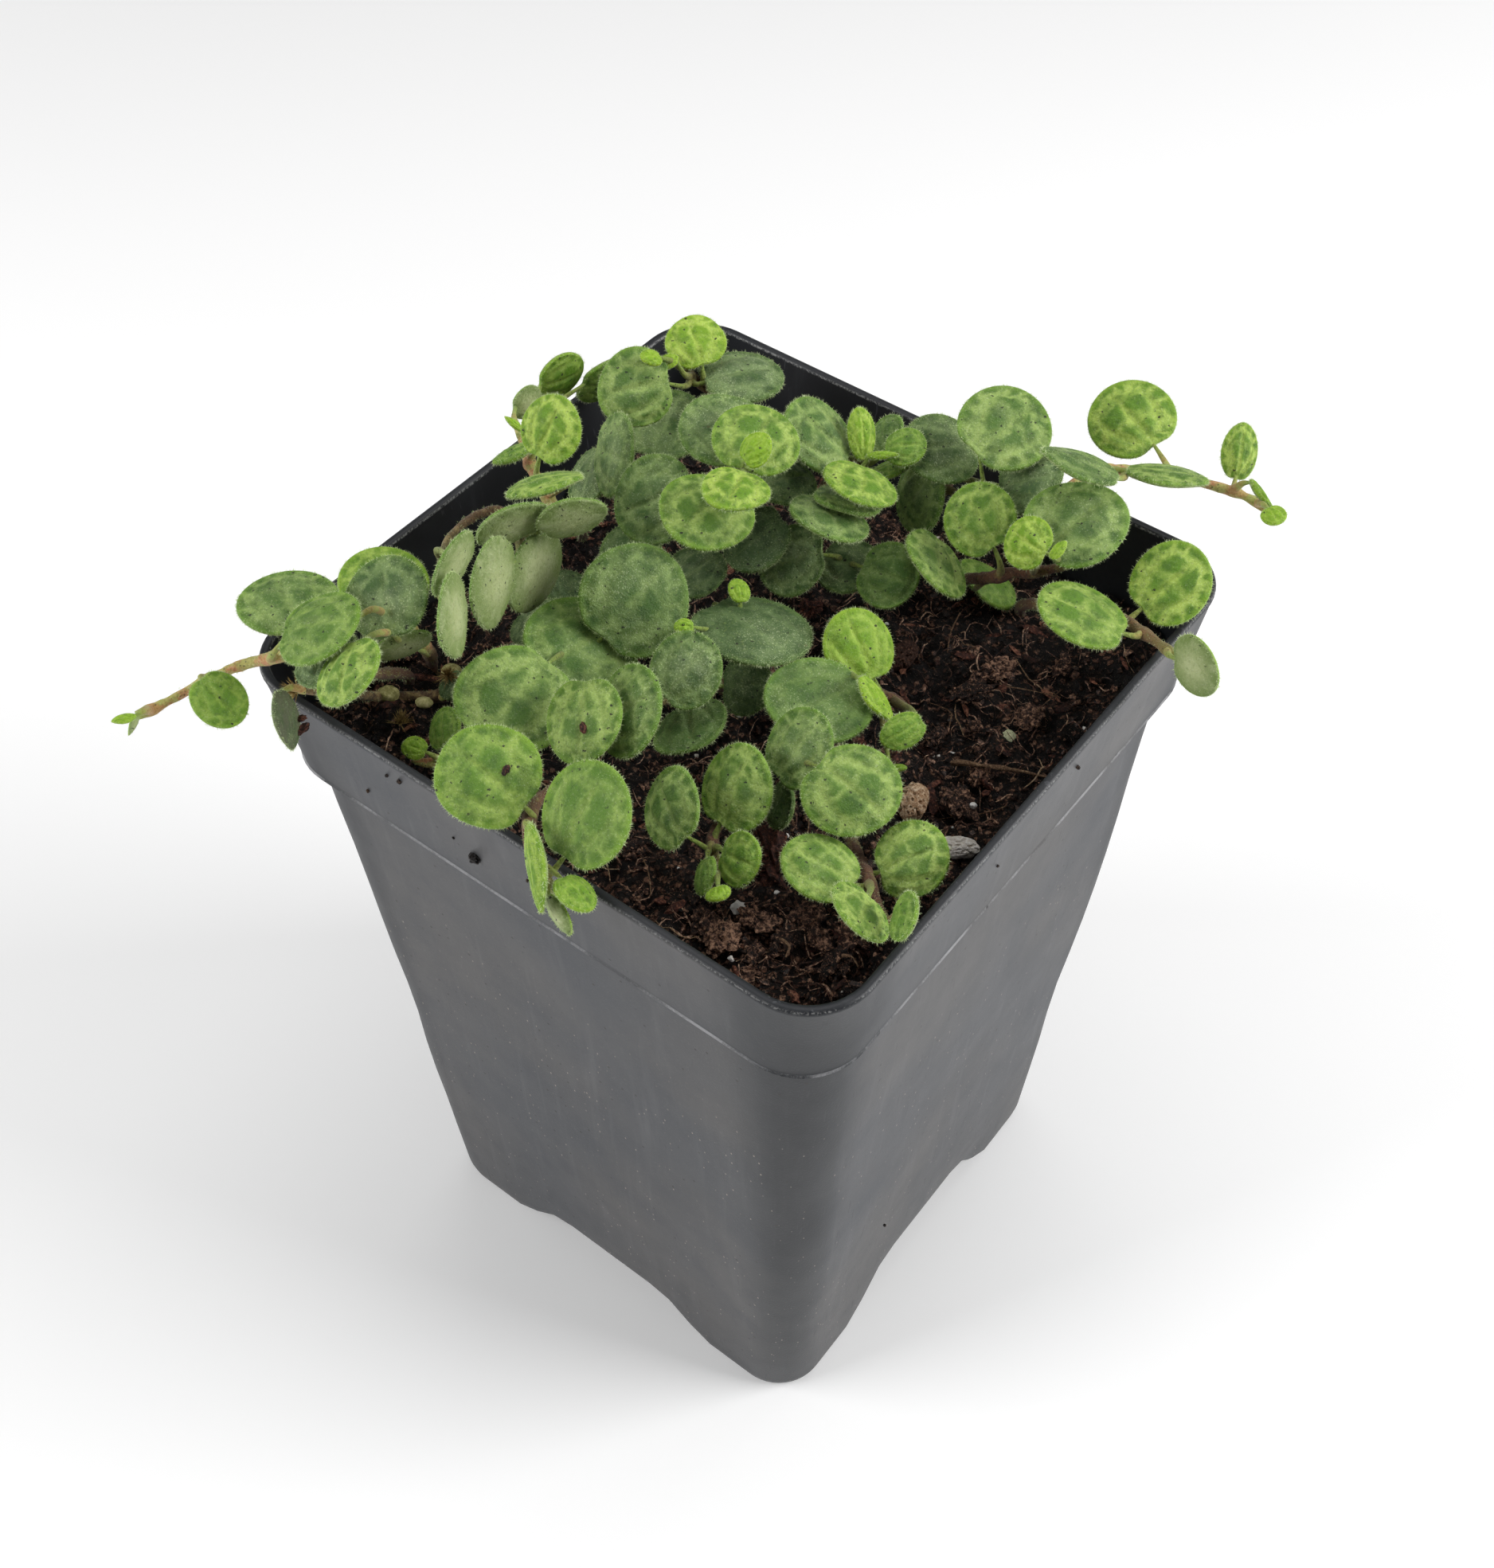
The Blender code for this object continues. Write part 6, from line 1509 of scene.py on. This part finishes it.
def add_stalk(sheet, stalk, blade_end, tone, seed):
    """A leaf stalk, widest at the stem, that turns green and thin and ends inside its blade."""
    line = smooth(stalk, 6)
    share = np.linspace(0, 1, len(line))
    line = line + (blade_end - line[-1]) * (share**2)[:, None]
    radius = STALK_RADIUS * (1.25 - 0.9 * share)
    add_tube(sheet, line, radius, tone * 0.7, 0.15 + 0.75 * ease(share), 0.0, STALK_ROUGH, seed, 0.5)


def spikes(foot, heading, length, radius):
    """Many spikes at once, each a point over a small triangle: (points, no quads, triangles)."""
    count = len(foot)
    aside = np.eye(3)[np.abs(heading).argmin(1)]
    right = unit(np.cross(heading, aside))
    up = np.cross(heading, right)
    turn = np.radians([90, 210, 330])
    base = foot[:, None] + radius * (np.cos(turn)[None, :, None] * right[:, None]
                                     + np.sin(turn)[None, :, None] * up[:, None])
    tip = foot + heading * length[:, None]
    points = np.concatenate([base, tip[:, None]], 1).reshape(-1, 3)
    start = 4 * np.arange(count)[:, None, None]
    faces = start + np.array([[0, 2, 1], [0, 1, 3], [1, 2, 3], [2, 0, 3]])
    return points, [], faces.reshape(-1, 3)


def add_leaf_hairs(fringes, fuzzes, leaves, which, form, draw):
    """A fringe that stands out from the rim, and short fuzz over the top and the belly."""
    length = leaves.length[which]
    fringe = int(HAIRS_PER_MM * length)
    fuzz = int(FUZZ_PER_LEAF * min(1, (length / FUZZ_SPAN) ** 2))
    turn = draw.uniform(-math.pi, math.pi, fringe + fuzz)
    tilt = draw.uniform(*RIM_TILT, fringe)
    rim_out = 1 - RIM_THICK / length * (1 - np.cos(tilt))
    face_out = np.sqrt(draw.uniform(*FUZZ_OUT, fuzz))
    on_top = np.where(draw.uniform(size=fuzz) < FUZZ_ON_TOP, 1.0, -1.0)
    swell = np.where(on_top > 0, CROWN, BELLY) * min(1.0, length / FULL_SPAN) * (1 - face_out**2)
    out = np.concatenate([rim_out, face_out])
    rise = np.concatenate([RIM_THICK / 2 * np.sin(tilt), on_top * (RIM_THICK / 2 + swell)])
    foot, _, _ = leaf_points(leaves, which, form, turn, out, rise)
    further, _, _ = leaf_points(leaves, which, form, turn, out + 0.1, rise)
    outward = unit(further - foot)
    normal = leaves.normal[which]
    heading = np.vstack([outward[:fringe] * np.cos(tilt)[:, None] + normal * np.sin(tilt)[:, None],
                         normal * on_top[:, None]])
    heading = unit(heading + draw.normal(0, HAIR_SPREAD, heading.shape))
    size = draw.uniform(*HAIR_LONG, fringe + fuzz) * min(1, length / HAIR_SPAN)
    size[fringe:] *= FUZZ_SHARE
    rim, faces = slice(0, fringe), slice(fringe, None)
    for sheet, part, radius in ((fringes, rim, HAIR_RADIUS), (fuzzes, faces, FUZZ_RADIUS)):
        sheet.add(*spikes(foot[part] - heading[part] * HAIR_SUNK, heading[part], size[part], radius))


def add_stem_hairs(sheet, stem, draw):
    """Down on a stem: hairs at random places along and round it, which point away from its middle line."""
    line, radius = stem_line(stem)
    legs = np.linalg.norm(np.diff(line, axis=0), axis=1)
    count = int(FUZZ_PER_MM * legs.sum())
    leg = draw.choice(len(legs), count, p=legs / legs.sum())
    share = draw.uniform(size=(count, 1))
    ahead = unit(line[leg + 1] - line[leg])
    heading = unit(np.cross(ahead, unit(draw.normal(size=(count, 3)))))
    foot = line[leg] * (1 - share) + line[leg + 1] * share + heading * radius[leg][:, None] * 0.9
    size = draw.uniform(*DOWN_LONG, count)
    sheet.add(*spikes(foot, unit(heading + draw.normal(0, DOWN_SPREAD, heading.shape)), size, HAIR_RADIUS))


def build_plant(stems, leaves, stalks, finishes):
    """Two pieces for each vine, its leaves and its stem with the stalks, and three pieces with all hairs."""
    draw = np.random.default_rng(SEED)
    forms = [leaf_form(draw) for _ in leaves.vine]
    fringes, fuzzes, down = Sheet(), Sheet(), Sheet()
    for count, (vine, stem) in enumerate(stems.items()):
        own = np.flatnonzero(leaves.vine == vine)
        blades, wood = Sheet(), Sheet()
        add_stem(wood, vine, stem, leaves.foot[own], count)
        for i in own:
            add_leaf(blades, leaves, i, forms[i])
            at_base = np.array([math.pi, STALK_REACH, STALK_SUNK])
            blade_end, _, _ = leaf_points(leaves, i, forms[i], *at_base)
            add_stalk(wood, stalks[i], blade_end, STEM_TONES.get(vine, PLAIN_TONE), i)
            add_leaf_hairs(fringes, fuzzes, leaves, i, forms[i], draw)
        add_stem_hairs(down, stem, draw)
        blades.make(f"{vine}_leaves", finishes["leaf"], "leaf", vine)
        wood.make(f"{vine}_stem", finishes["stem"], "old_stem" if vine == "old_runner" else "stem", vine)
    fringes.make("leaf_fringe", finishes["leaf_hair"], "leaf")
    fuzzes.make("leaf_fuzz", finishes["leaf_hair"], "leaf")
    down.make("stem_down", finishes["leaf_hair"], "stem")
    return forms


def rounded_square(half, corner, side=POT_SIDE, arc=POT_ARC):
    """Points of a square with round corners: side steps along each side and arc steps round each corner."""
    along = np.linspace(-(half - corner), half - corner, side, endpoint=False)
    turn = np.linspace(0, math.pi / 2, arc, endpoint=False)
    bend = half - corner + corner * np.stack([np.cos(turn), np.sin(turn)], 1)
    quarter = np.vstack([np.stack([np.full(side, half), along], 1), bend])
    turns = []
    for k in range(4):
        cos, sin = round(math.cos(k * math.pi / 2)), round(math.sin(k * math.pi / 2))
        turns.append(quarter @ np.array([[cos, sin], [-sin, cos]]))
    return np.vstack(turns)


def ring_at(half, corner, height, side=POT_SIDE):
    """A rounded square at a height, which may differ from point to point."""
    flat = rounded_square(half, corner, side)
    return np.column_stack([flat, np.broadcast_to(height, len(flat))])


def underside(x, y):
    """Height of the pot's underside: feet at the corners, a pad in the middle, channels between.

    Each channel is flat near the middle of its side and eases down to the feet and to the pad.
    """
    x_out, y_out = np.abs(x), np.abs(y)
    side_channel = ease(y_out, ARCH_END, ARCH_FLAT) * ARCH_SIDE
    front_channel = ease(x_out, ARCH_END, ARCH_FLAT) * ARCH_FRONT
    channel = np.where(x_out > y_out, side_channel, front_channel)
    middle = np.maximum(x_out, y_out) < ARCH_END
    channel = np.where(middle, np.maximum(side_channel, front_channel), channel)
    return channel * ease(np.hypot(x, y), PAD_RADIUS, PAD_END)


def wall_half(height):
    """Half the pot's outer width, which grows evenly from the foot to the collar's lower edge."""
    return BODY_FOOT_HALF + (BODY_TOP_HALF - BODY_FOOT_HALF) * height / LEDGE


def floor_rings(half, corner, lift, side=POT_SIDE, count=FLOOR_ROWS):
    """Rings from the floor's middle to its edge, which lie by lift over the underside."""
    rings = []
    for share in np.linspace(0.04, 1, count):
        flat = rounded_square(half, corner, side) * share
        rings.append(np.column_stack([flat, underside(*flat.T) + lift]))
    return rings


def pot_rings():
    """Rings from the pad under the floor, up the outer wall and the collar, over the lip and down inside."""
    foot = BODY_FOOT_HALF - FOOT_ROUND * 0.6
    rings = floor_rings(foot, FOOT_CORNER, 0)
    edge = rings[-1][:, 2]
    lift = FOOT_ROUND * (1 - 0.35 * edge / ARCH_SIDE)
    for turn in np.radians([30, 60, 90]):
        half = foot + (wall_half(FOOT_ROUND) - foot) * math.sin(turn)
        rings.append(ring_at(half, FOOT_CORNER, edge + lift * (1 - math.cos(turn))))
    for share in np.linspace(0.14, 0.985, 12):
        corner = FOOT_CORNER + (BODY_CORNER - FOOT_CORNER) * share
        rings.append(ring_at(wall_half(share * LEDGE), corner, share * LEDGE))
    inner = RIM_HALF - WALL
    for half, corner, height in (
        # The ledge, then the bead along its edge.
        (BODY_TOP_HALF, BODY_CORNER, LEDGE - 0.35),
        (BODY_TOP_HALF + 0.5, RIM_CORNER, LEDGE - 0.25),
        (COLLAR_FOOT_HALF - 0.25, RIM_CORNER, LEDGE - 0.15),
        (COLLAR_FOOT_HALF + BEAD * 0.6, RIM_CORNER, LEDGE),
        (COLLAR_FOOT_HALF + BEAD, RIM_CORNER, LEDGE + 0.2),
        (COLLAR_FOOT_HALF + BEAD * 0.4, RIM_CORNER, LEDGE + 0.5),
        (COLLAR_FOOT_HALF + 0.09, RIM_CORNER, LEDGE + 0.9),
        # The collar's wall, then the lip.
        (COLLAR_FOOT_HALF * 0.5 + RIM_HALF * 0.5, RIM_CORNER, POT_HEIGHT - COLLAR_TALL / 2),
        (RIM_HALF - 0.12, RIM_CORNER, POT_HEIGHT - 1.1),
        (RIM_HALF, RIM_CORNER, POT_HEIGHT - 0.7),
        (RIM_HALF, RIM_CORNER, POT_HEIGHT - 0.4),
        (RIM_HALF - 0.15, RIM_CORNER - 0.1, POT_HEIGHT - 0.12),
        (RIM_HALF - 0.45, RIM_CORNER - 0.35, POT_HEIGHT),
        (inner + 0.3, RIM_CORNER - WALL + 0.3, POT_HEIGHT),
        (inner + 0.08, RIM_CORNER - WALL + 0.1, POT_HEIGHT - 0.12),
        # Down inside.
        (inner - 0.02, RIM_CORNER - WALL, POT_HEIGHT - 0.5),
        (inner - 0.8, RIM_CORNER - WALL, POT_HEIGHT - COLLAR_TALL / 2),
        (COLLAR_FOOT_HALF - WALL - 0.1, RIM_CORNER - WALL, LEDGE + 1.6),
        (COLLAR_FOOT_HALF - WALL - 0.5, RIM_CORNER - WALL, LEDGE + 0.8),
        (BODY_TOP_HALF - WALL, BODY_CORNER - WALL, LEDGE - 0.6),
    ):
        rings.append(ring_at(half, corner, height))
    inner_floor = floor_rings(foot - WALL * 0.7, FOOT_CORNER - WALL, WALL)
    lowest = inner_floor[-1][:, 2] + FOOT_ROUND * 0.6
    rings.append(ring_at(wall_half(FOOT_ROUND) - WALL, FOOT_CORNER - WALL, lowest))
    return np.array(rings + inner_floor[::-1])


def dent(rings):
    """Slow hollows and swells in the soft walls: a noise that fades out near the foot and the collar."""
    flat = rings.reshape(-1, 3)
    height = flat[:, 2]
    share = ease(height, *DENT_FROM_FOOT) * ease(LEDGE - height, *DENT_FROM_LEDGE)
    push = rough_noise(flat, DENT_SIZE, 2, 5) * DENT * share
    outward = flat * (1, 1, 0) / np.maximum(np.abs(flat[:, :2]).max(1), 1)[:, None]
    return (flat + outward * push[:, None]).reshape(rings.shape)


def build_pot(finish):
    """The pot's skin, with the drain holes drilled through its floor."""
    sheet = Sheet()
    sheet.add(*skin(dent(pot_rings())))
    pot = sheet.make("pot_shell", finish, "pot", "pot")
    graph = bpy.context.evaluated_depsgraph_get()
    for turn in np.linspace(0, 2 * math.pi, DRAINS, endpoint=False):
        spot = (DRAIN_PLACE * MM * math.cos(turn), DRAIN_PLACE * MM * math.sin(turn), ARCH_FRONT * MM)
        bpy.ops.mesh.primitive_cylinder_add(vertices=40, radius=DRAIN_RADIUS * MM, depth=DRAIN_DEEP * MM,
                                            location=spot)
        drill = bpy.context.object
        cut = pot.modifiers.new("drain", "BOOLEAN")
        cut.solver = "MANIFOLD"
        cut.operation = "DIFFERENCE"
        cut.object = drill
        graph.update()
        bored = bpy.data.meshes.new_from_object(pot.evaluated_get(graph))
        pot.modifiers.remove(cut)
        pot.data = bored
        bpy.data.objects.remove(drill)
    pot.data.set_sharp_from_angle(angle=math.radians(50))


def soil_height(x, y):
    """The soil's top: the low lumps of its solid, with clods, hollows and crumbs, heaped up at the front.

    Clods and crumbs are noises of two sizes, and the ridges between hollows lie where a third is near 0.
    """
    flat = np.column_stack([x, y, np.zeros(len(x))])
    clods = rough_noise(flat, 8.0, 3, 11) * 1.1
    ridge = (1 - np.abs(rough_noise(flat, 3.2, 2, 23))) * 1.1
    crumbs = rough_noise(flat, 1.3, 3, 31) * 0.5
    heap = ease(x - y, *FRONT_SOIL) * (rough_noise(flat, 4.5, 3, 41) + 0.5)
    return soil_top(x, y) + clods + ridge + crumbs + heap - 0.6


def build_soil(finish):
    """A block along the pot's walls and floor with a fine top."""
    inset = WALL + GAP
    foot = BODY_FOOT_HALF - FOOT_ROUND * 0.6 - inset
    rings = floor_rings(foot, FOOT_CORNER - inset, WALL + GAP * 1.6, SOIL_SIDE, SOIL_FLOOR_ROWS)
    lowest = rings[-1][:, 2] + FOOT_ROUND
    rings.append(ring_at(wall_half(FOOT_ROUND) - inset - 0.2, FOOT_CORNER - inset, lowest, SOIL_SIDE))
    rings.append(ring_at(BODY_TOP_HALF - inset - 0.1, BODY_CORNER - inset, LEDGE - 1.2, SOIL_SIDE))
    top_half = COLLAR_FOOT_HALF - inset - 0.15
    for share in np.linspace(1, 0.02, SOIL_ROWS):
        flat = rounded_square(top_half, RIM_CORNER - inset, SOIL_SIDE) * share
        rings.append(np.column_stack([flat, soil_height(*flat.T)]))
    sheet = Sheet()
    sheet.add(*skin(np.array(rings)))
    sheet.make("soil_bed", finish, "soil", "soil")


def ball(subdivisions):
    """The points and faces of an icosphere of radius 1."""
    bpy.ops.mesh.primitive_ico_sphere_add(subdivisions=subdivisions, radius=1)
    made = bpy.context.object
    points = np.array([vert.co[:] for vert in made.data.vertices])
    faces = np.array([face.vertices[:] for face in made.data.polygons])
    bpy.data.objects.remove(made)
    return points, faces


def turned(draw, count, most_tilt):
    """Random turns about the upright, then tips by up to most_tilt: matrices whose columns are axes."""
    spin = draw.uniform(0, 2 * math.pi, count)
    tilt = draw.uniform(-most_tilt, most_tilt, count)
    cos, sin = np.cos(spin), np.sin(spin)
    ahead = np.stack([cos * np.cos(tilt), sin * np.cos(tilt), np.sin(tilt)], 1)
    aside = np.stack([-sin, cos, np.zeros(count)], 1)
    return np.stack([ahead, aside, np.cross(ahead, aside)], 2)


def scatter(sheet, shape, spots, sizes, draw, dents=0.3, most_tilt=0.6):
    """Copies of a ball at the spots, each stretched to its sizes, dented and turned its own way."""
    points, faces = shape
    turns = turned(draw, len(spots), most_tilt)
    bumps = 1 + dents * draw.uniform(-1, 1, (len(spots), len(points), 1))
    shaped = points[None] * bumps * sizes[:, None]
    placed = np.einsum("nij,npj->npi", turns, shaped) + spots[:, None]
    start = len(points) * np.arange(len(spots))[:, None, None]
    tones = np.repeat(draw.uniform(size=(len(spots), 1)), len(points), axis=0)
    sheet.add(placed.reshape(-1, 3), [], (faces[None] + start).reshape(-1, 3), piece_tone=tones)


def soil_spots(draw, count, edge=1.5):
    """Random places on the soil's top, at least edge from the pot's wall."""
    half = COLLAR_FOOT_HALF - WALL - edge
    flat = draw.uniform(-half, half, (count, 2))
    return np.column_stack([flat, soil_height(*flat.T)])


def add_fibres(sheet, draw, count, length, radius, lift):
    """Thin bent threads on the soil: a straight run with a bow to the side and a slight rise in the middle.

    The bow and the rise both follow a parabola that is 0 at the two ends.
    """
    share = np.linspace(-0.5, 0.5, 6)
    arch = 1 - 4 * share**2
    keep = COLLAR_FOOT_HALF - WALL - 1
    for foot in soil_spots(draw, count, 3.5):
        run, bow = draw.uniform(*length), draw.normal(0, 0.22)
        ahead = draw.uniform(0, 2 * math.pi)
        x = foot[0] + run * (share * math.cos(ahead) + bow * arch * math.sin(ahead))
        y = foot[1] + run * (share * math.sin(ahead) - bow * arch * math.cos(ahead))
        x, y = np.clip(x, -keep, keep), np.clip(y, -keep, keep)
        z = soil_height(x, y) + lift + draw.uniform(0, 0.5) * arch
        rings = sweep(np.column_stack([x, y, z]), draw.uniform(*radius) * (1.1 - np.abs(share)), 4)
        sheet.add(*skin(rings), piece_tone=(draw.uniform(), 0, 0))


def build_soil_bits(finishes):
    """Crumbs, clods, bark, threads, twigs and white grains on the soil, each kind one piece."""
    draw = np.random.default_rng(SEED + 1)
    fine, coarse, round_ball = ball(1), ball(2), ball(4)
    crumbs, clods, bark, threads, rootlets, grains = (Sheet() for _ in range(6))
    sizes = draw.uniform(0.4, 1.0, (CRUMBS, 1)) ** 2 * draw.uniform(*CRUMB_SIZE, (CRUMBS, 3))
    scatter(crumbs, fine, soil_spots(draw, CRUMBS), sizes, draw, *ROUGH_CRUMB)
    spots = [(on_soil(across, away, CLOD_UP), size) for across, away, size in CLODS]
    spots += [(spot, draw.uniform(*CLOD_SPAN)) for spot in soil_spots(draw, MORE_CLODS, 4.0)]
    for spot, size in spots:
        half = size * draw.uniform(*CLOD_SIZE)
        add_clod(clods, round_ball, fine, spot, half, turned(draw, 1, 0.3)[0], draw)
    near = soil_spots(draw, FRONT_CRUMBS * 4, 2.0)
    near = near[near[:, 0] - near[:, 1] > draw.uniform(*FRONT_SOIL, len(near))][:FRONT_CRUMBS]
    sizes = draw.uniform(0.4, 1.0, (len(near), 1)) * draw.uniform(*FRONT_CRUMB_SIZE, (len(near), 3))
    scatter(clods, fine, near, sizes, draw, *ROUGH_CRUMB)
    crumbs.make("soil_crumbs", finishes["peat_crumb"], "soil", crease=22)
    clods.make("soil_clods", finishes["peat_clod"], "soil", crease=22)
    sizes = draw.uniform(*CHIP_SIZE, (CHIPS, 3))
    scatter(bark, coarse, soil_spots(draw, CHIPS, 3.0), sizes, draw, 0.28)
    for (across, away), half, heading in BARK_BLOCKS:
        ahead = heading_of((math.cos(math.radians(heading)), math.sin(math.radians(heading)), 0))
        aside = np.cross((0, 0, 1), ahead)
        turn = np.stack([ahead, aside, np.cross(ahead, aside)], 1)
        add_clod(bark, round_ball, fine, on_soil(across, away, BLOCK_UP), np.array(half), turn, draw)
    bark.make("bark_chips", finishes["bark"], "soil", crease=22)
    add_fibres(threads, draw, *THREADS)
    threads.make("coir_threads", finishes["coir"], "soil")
    add_fibres(rootlets, draw, *ROOTLETS)
    for route, radius in TWIGS:
        line = smooth(place(route), 5)
        rings = sweep(line, radius * (1.1 - 0.5 * np.linspace(0, 1, len(line))), 8, 0.6, radius)
        rootlets.add(*skin(rings), piece_tone=(0.1, 0, 0))
    rootlets.make("rootlets_and_twigs", finishes["rootlet"], "soil")
    scatter(grains, fine, soil_spots(draw, MORE_GRAINS), draw.uniform(*GRAIN_SIZE, (MORE_GRAINS, 3)), draw)
    for (across, away), half in GRAINS:
        spot = on_soil(across, away, GRAIN_UP)[None]
        scatter(grains, coarse, spot, half * draw.uniform(0.7, 1.0, (1, 3)), draw)
    grains.make("white_grains", finishes["white_perlite"], "perlite")


def add_clod(sheet, shape, grain, spot, half, turn, draw):
    """A lump of stuck crumbs: a ball pushed in and out by noise, with small crumbs on its skin."""
    points, faces = shape
    seed = draw.uniform(0, 90)
    apart = points * 2 + seed
    bumps = 1 + 0.42 * rough_noise(apart, 1.3, 2, 3) + 0.4 * rough_noise(apart, 0.6, 3, 7)
    lump = points * bumps[:, None] * half @ turn.T + spot
    sheet.add(lump, [], faces, piece_tone=(draw.uniform(), 0, 0))
    chosen = lump[draw.choice(len(lump), CLOD_CRUMBS)]
    scatter(sheet, grain, chosen, draw.uniform(*CLOD_CRUMB_SIZE, (CLOD_CRUMBS, 3)), draw, *ROUGH_CRUMB)


def build_lumps(finishes):
    """The stones: each the dented ball of its solid, made rough, with pits where a fine noise is high."""
    points, faces = ball(5)
    x, y, z = points.T
    dents = 1 + 0.10 * np.sin(5 * x + 2 * z) * np.cos(4 * y - 3 * z)
    dents = dents + 0.06 * rough_noise(points * 3, 1.3, 3, 3)
    hollow = ease(rough_noise(points * 3, 0.55, 2, 9), 0.15, 0.65)
    for name, (seen, half, turn, finish, slot, pits) in LUMPS.items():
        shaped = points * half * (dents - pits * hollow)[:, None]
        cos, sin = math.cos(math.radians(turn)), math.sin(math.radians(turn))
        spun = shaped @ np.array([[cos, sin, 0], [-sin, cos, 0], [0, 0, 1]])
        sheet = Sheet()
        sheet.add(spun + place(seen), [], faces, piece_tone=(0.2, 0, 0))
        sheet.make(f"{name}_fine", finishes[finish], slot, name)


def build_scraps(leaves, forms, finishes):
    """Bark that lies on leaves, dirt on the pot's outer skin, and dry buds and tufts on the old runner."""
    draw = np.random.default_rng(SEED + 2)
    bark, dirt, buds, tufts = (Sheet() for _ in range(4))
    shape = ball(3)
    for vine, leaf, ahead, aside, size in SCRAPS:
        which = np.flatnonzero(leaves.vine == vine)[leaf]
        out = np.hypot(ahead, aside)
        rise = RIM_THICK / 2 + CROWN * (1 - out**2) + size * 0.2
        at = np.array([[math.atan2(aside, ahead)], [out], [rise]])
        spot, _, _ = leaf_points(leaves, which, forms[which], *at)
        scatter(bark, shape, spot, size * np.array([[1, 0.6, 0.4]]), draw)
    bark.make("bark_on_leaves", finishes["bark"], "soil")
    for spot, size in WALL_DIRT:
        scatter(dirt, shape, np.array([spot]), size * np.array([[0.7, 0.7, 0.9]]), draw)
    dirt.make("wall_dirt", finishes["dirt"], "soil")
    for seen, half in BUDS:
        scatter(buds, shape, place([seen]), np.array([half]), draw, 0.06, 0.2)
    buds.make("runner_buds", finishes["dry_bud"], "old_stem")
    for seen, heading, count, length in TUFTS:
        ahead = unit(heading_of(heading) + draw.normal(0, 0.5, (count, 3)))
        foot = place([seen]) + ahead * 0.2
        sizes = draw.uniform(0.4, 1.0, count) * length
        tufts.add(*spikes(foot, ahead, sizes, TUFT_RADIUS), piece_tone=(0.5, 0, 0))
    tufts.make("runner_tufts", finishes["dry_tuft"], "old_stem")


def stand(name, kind, axes, spot):
    """Puts a camera or a light at a place in mm: its axes are its right, its up and its back."""
    made = bpy.data.objects.new(name, kind)
    turn = np.eye(4)
    turn[:3, :3] = np.column_stack(axes)
    turn[:3, 3] = np.array(spot) * MM
    made.matrix_world = Matrix(turn.tolist())
    bpy.context.scene.collection.objects.link(made)
    return made


def camera():
    """The photograph's camera: it looks down its line of sight with the photograph's focal length."""
    cos, sin = math.cos(CAMERA_BEARING), math.sin(CAMERA_BEARING)
    back = np.array([math.cos(CAMERA_RISE) * cos, math.cos(CAMERA_RISE) * sin, math.sin(CAMERA_RISE)])
    right = np.array([-sin, cos, 0])
    up = np.cross(back, right)
    spot = (back * CAMERA_BACK + right * CAMERA_RIGHT + up * CAMERA_UP) * RIM_HALF + (0, 0, POT_HEIGHT)
    lens = bpy.data.cameras.new("camera")
    lens.sensor_width = SENSOR
    lens.lens = FOCAL_PIXELS / max(PHOTO_SIZE) * SENSOR
    lens.clip_start = 0.01
    bpy.context.scene.camera = stand("camera", lens, [right, up, back], spot)


def lamp(name, spot, power):
    """A square soft light that faces the plant."""
    light = bpy.data.lights.new(name, "AREA")
    light.size, light.energy = LAMP_SIZE, power
    back = unit(np.array(spot, float) - AIM)
    right = unit(np.cross((0, 0, 1), back))
    stand(name, light, [right, np.cross(back, right), back], spot)


def stage():
    """A pale floor that glows more further out, a surround that looks white, and three soft lights."""
    bpy.ops.mesh.primitive_plane_add(size=FLOOR_WIDE)
    floor = bpy.context.object
    floor.name = "floor"
    paper = Finish("floor", Base_Color=(0.97, 0.97, 0.97, 1), Roughness=0.9, Emission_Strength=1.0)
    x, y, _ = paper.apart(paper.place())
    away = paper.math("SQRT", x * x + y * y)
    glow = paper.ramp(paper.step(away, *FLOOR_GLOW), (0.0, (0.09, 0.09, 0.09, 1)), (1.0, (0.7, 0.7, 0.7, 1)))
    floor.data.materials.append(paper.wear(Emission_Color=glow))
    surround = bpy.data.worlds.new("surround")
    surround.use_nodes = True
    tree = surround.node_tree
    light = tree.nodes["Background"]
    light.inputs["Color"].default_value = (1, 1, 1, 1)
    strength = tree.nodes.new("ShaderNodeMapRange")
    strength.inputs["To Min"].default_value = SURROUND_LIGHT
    strength.inputs["To Max"].default_value = SURROUND_SHOWN
    seen = tree.nodes.new("ShaderNodeLightPath").outputs["Is Camera Ray"]
    tree.links.new(seen, strength.inputs["Value"])
    tree.links.new(strength.outputs["Result"], light.inputs["Strength"])
    bpy.context.scene.world = surround
    for name, (spot, power) in LAMPS.items():
        lamp(name, spot, power)
    bpy.context.scene.view_settings.view_transform = "Standard"


def main():
    """Builds the finishes, the plant, the pot with its soil, the small bits and the stage."""
    finishes = {name: crumb_finish(name, *looks) for name, looks in CRUMBLY.items()}
    finishes |= {"leaf": leaf_finish(), "stem": stem_finish(), "leaf_hair": hair_finish()}
    stems, leaves, stalks = plan_plant()
    forms = build_plant(stems, leaves, stalks, finishes)
    build_pot(pot_finish())
    build_soil(soil_finish())
    build_soil_bits(finishes)
    build_lumps(finishes)
    build_scraps(leaves, forms, finishes)
    stage()
    camera()


main()
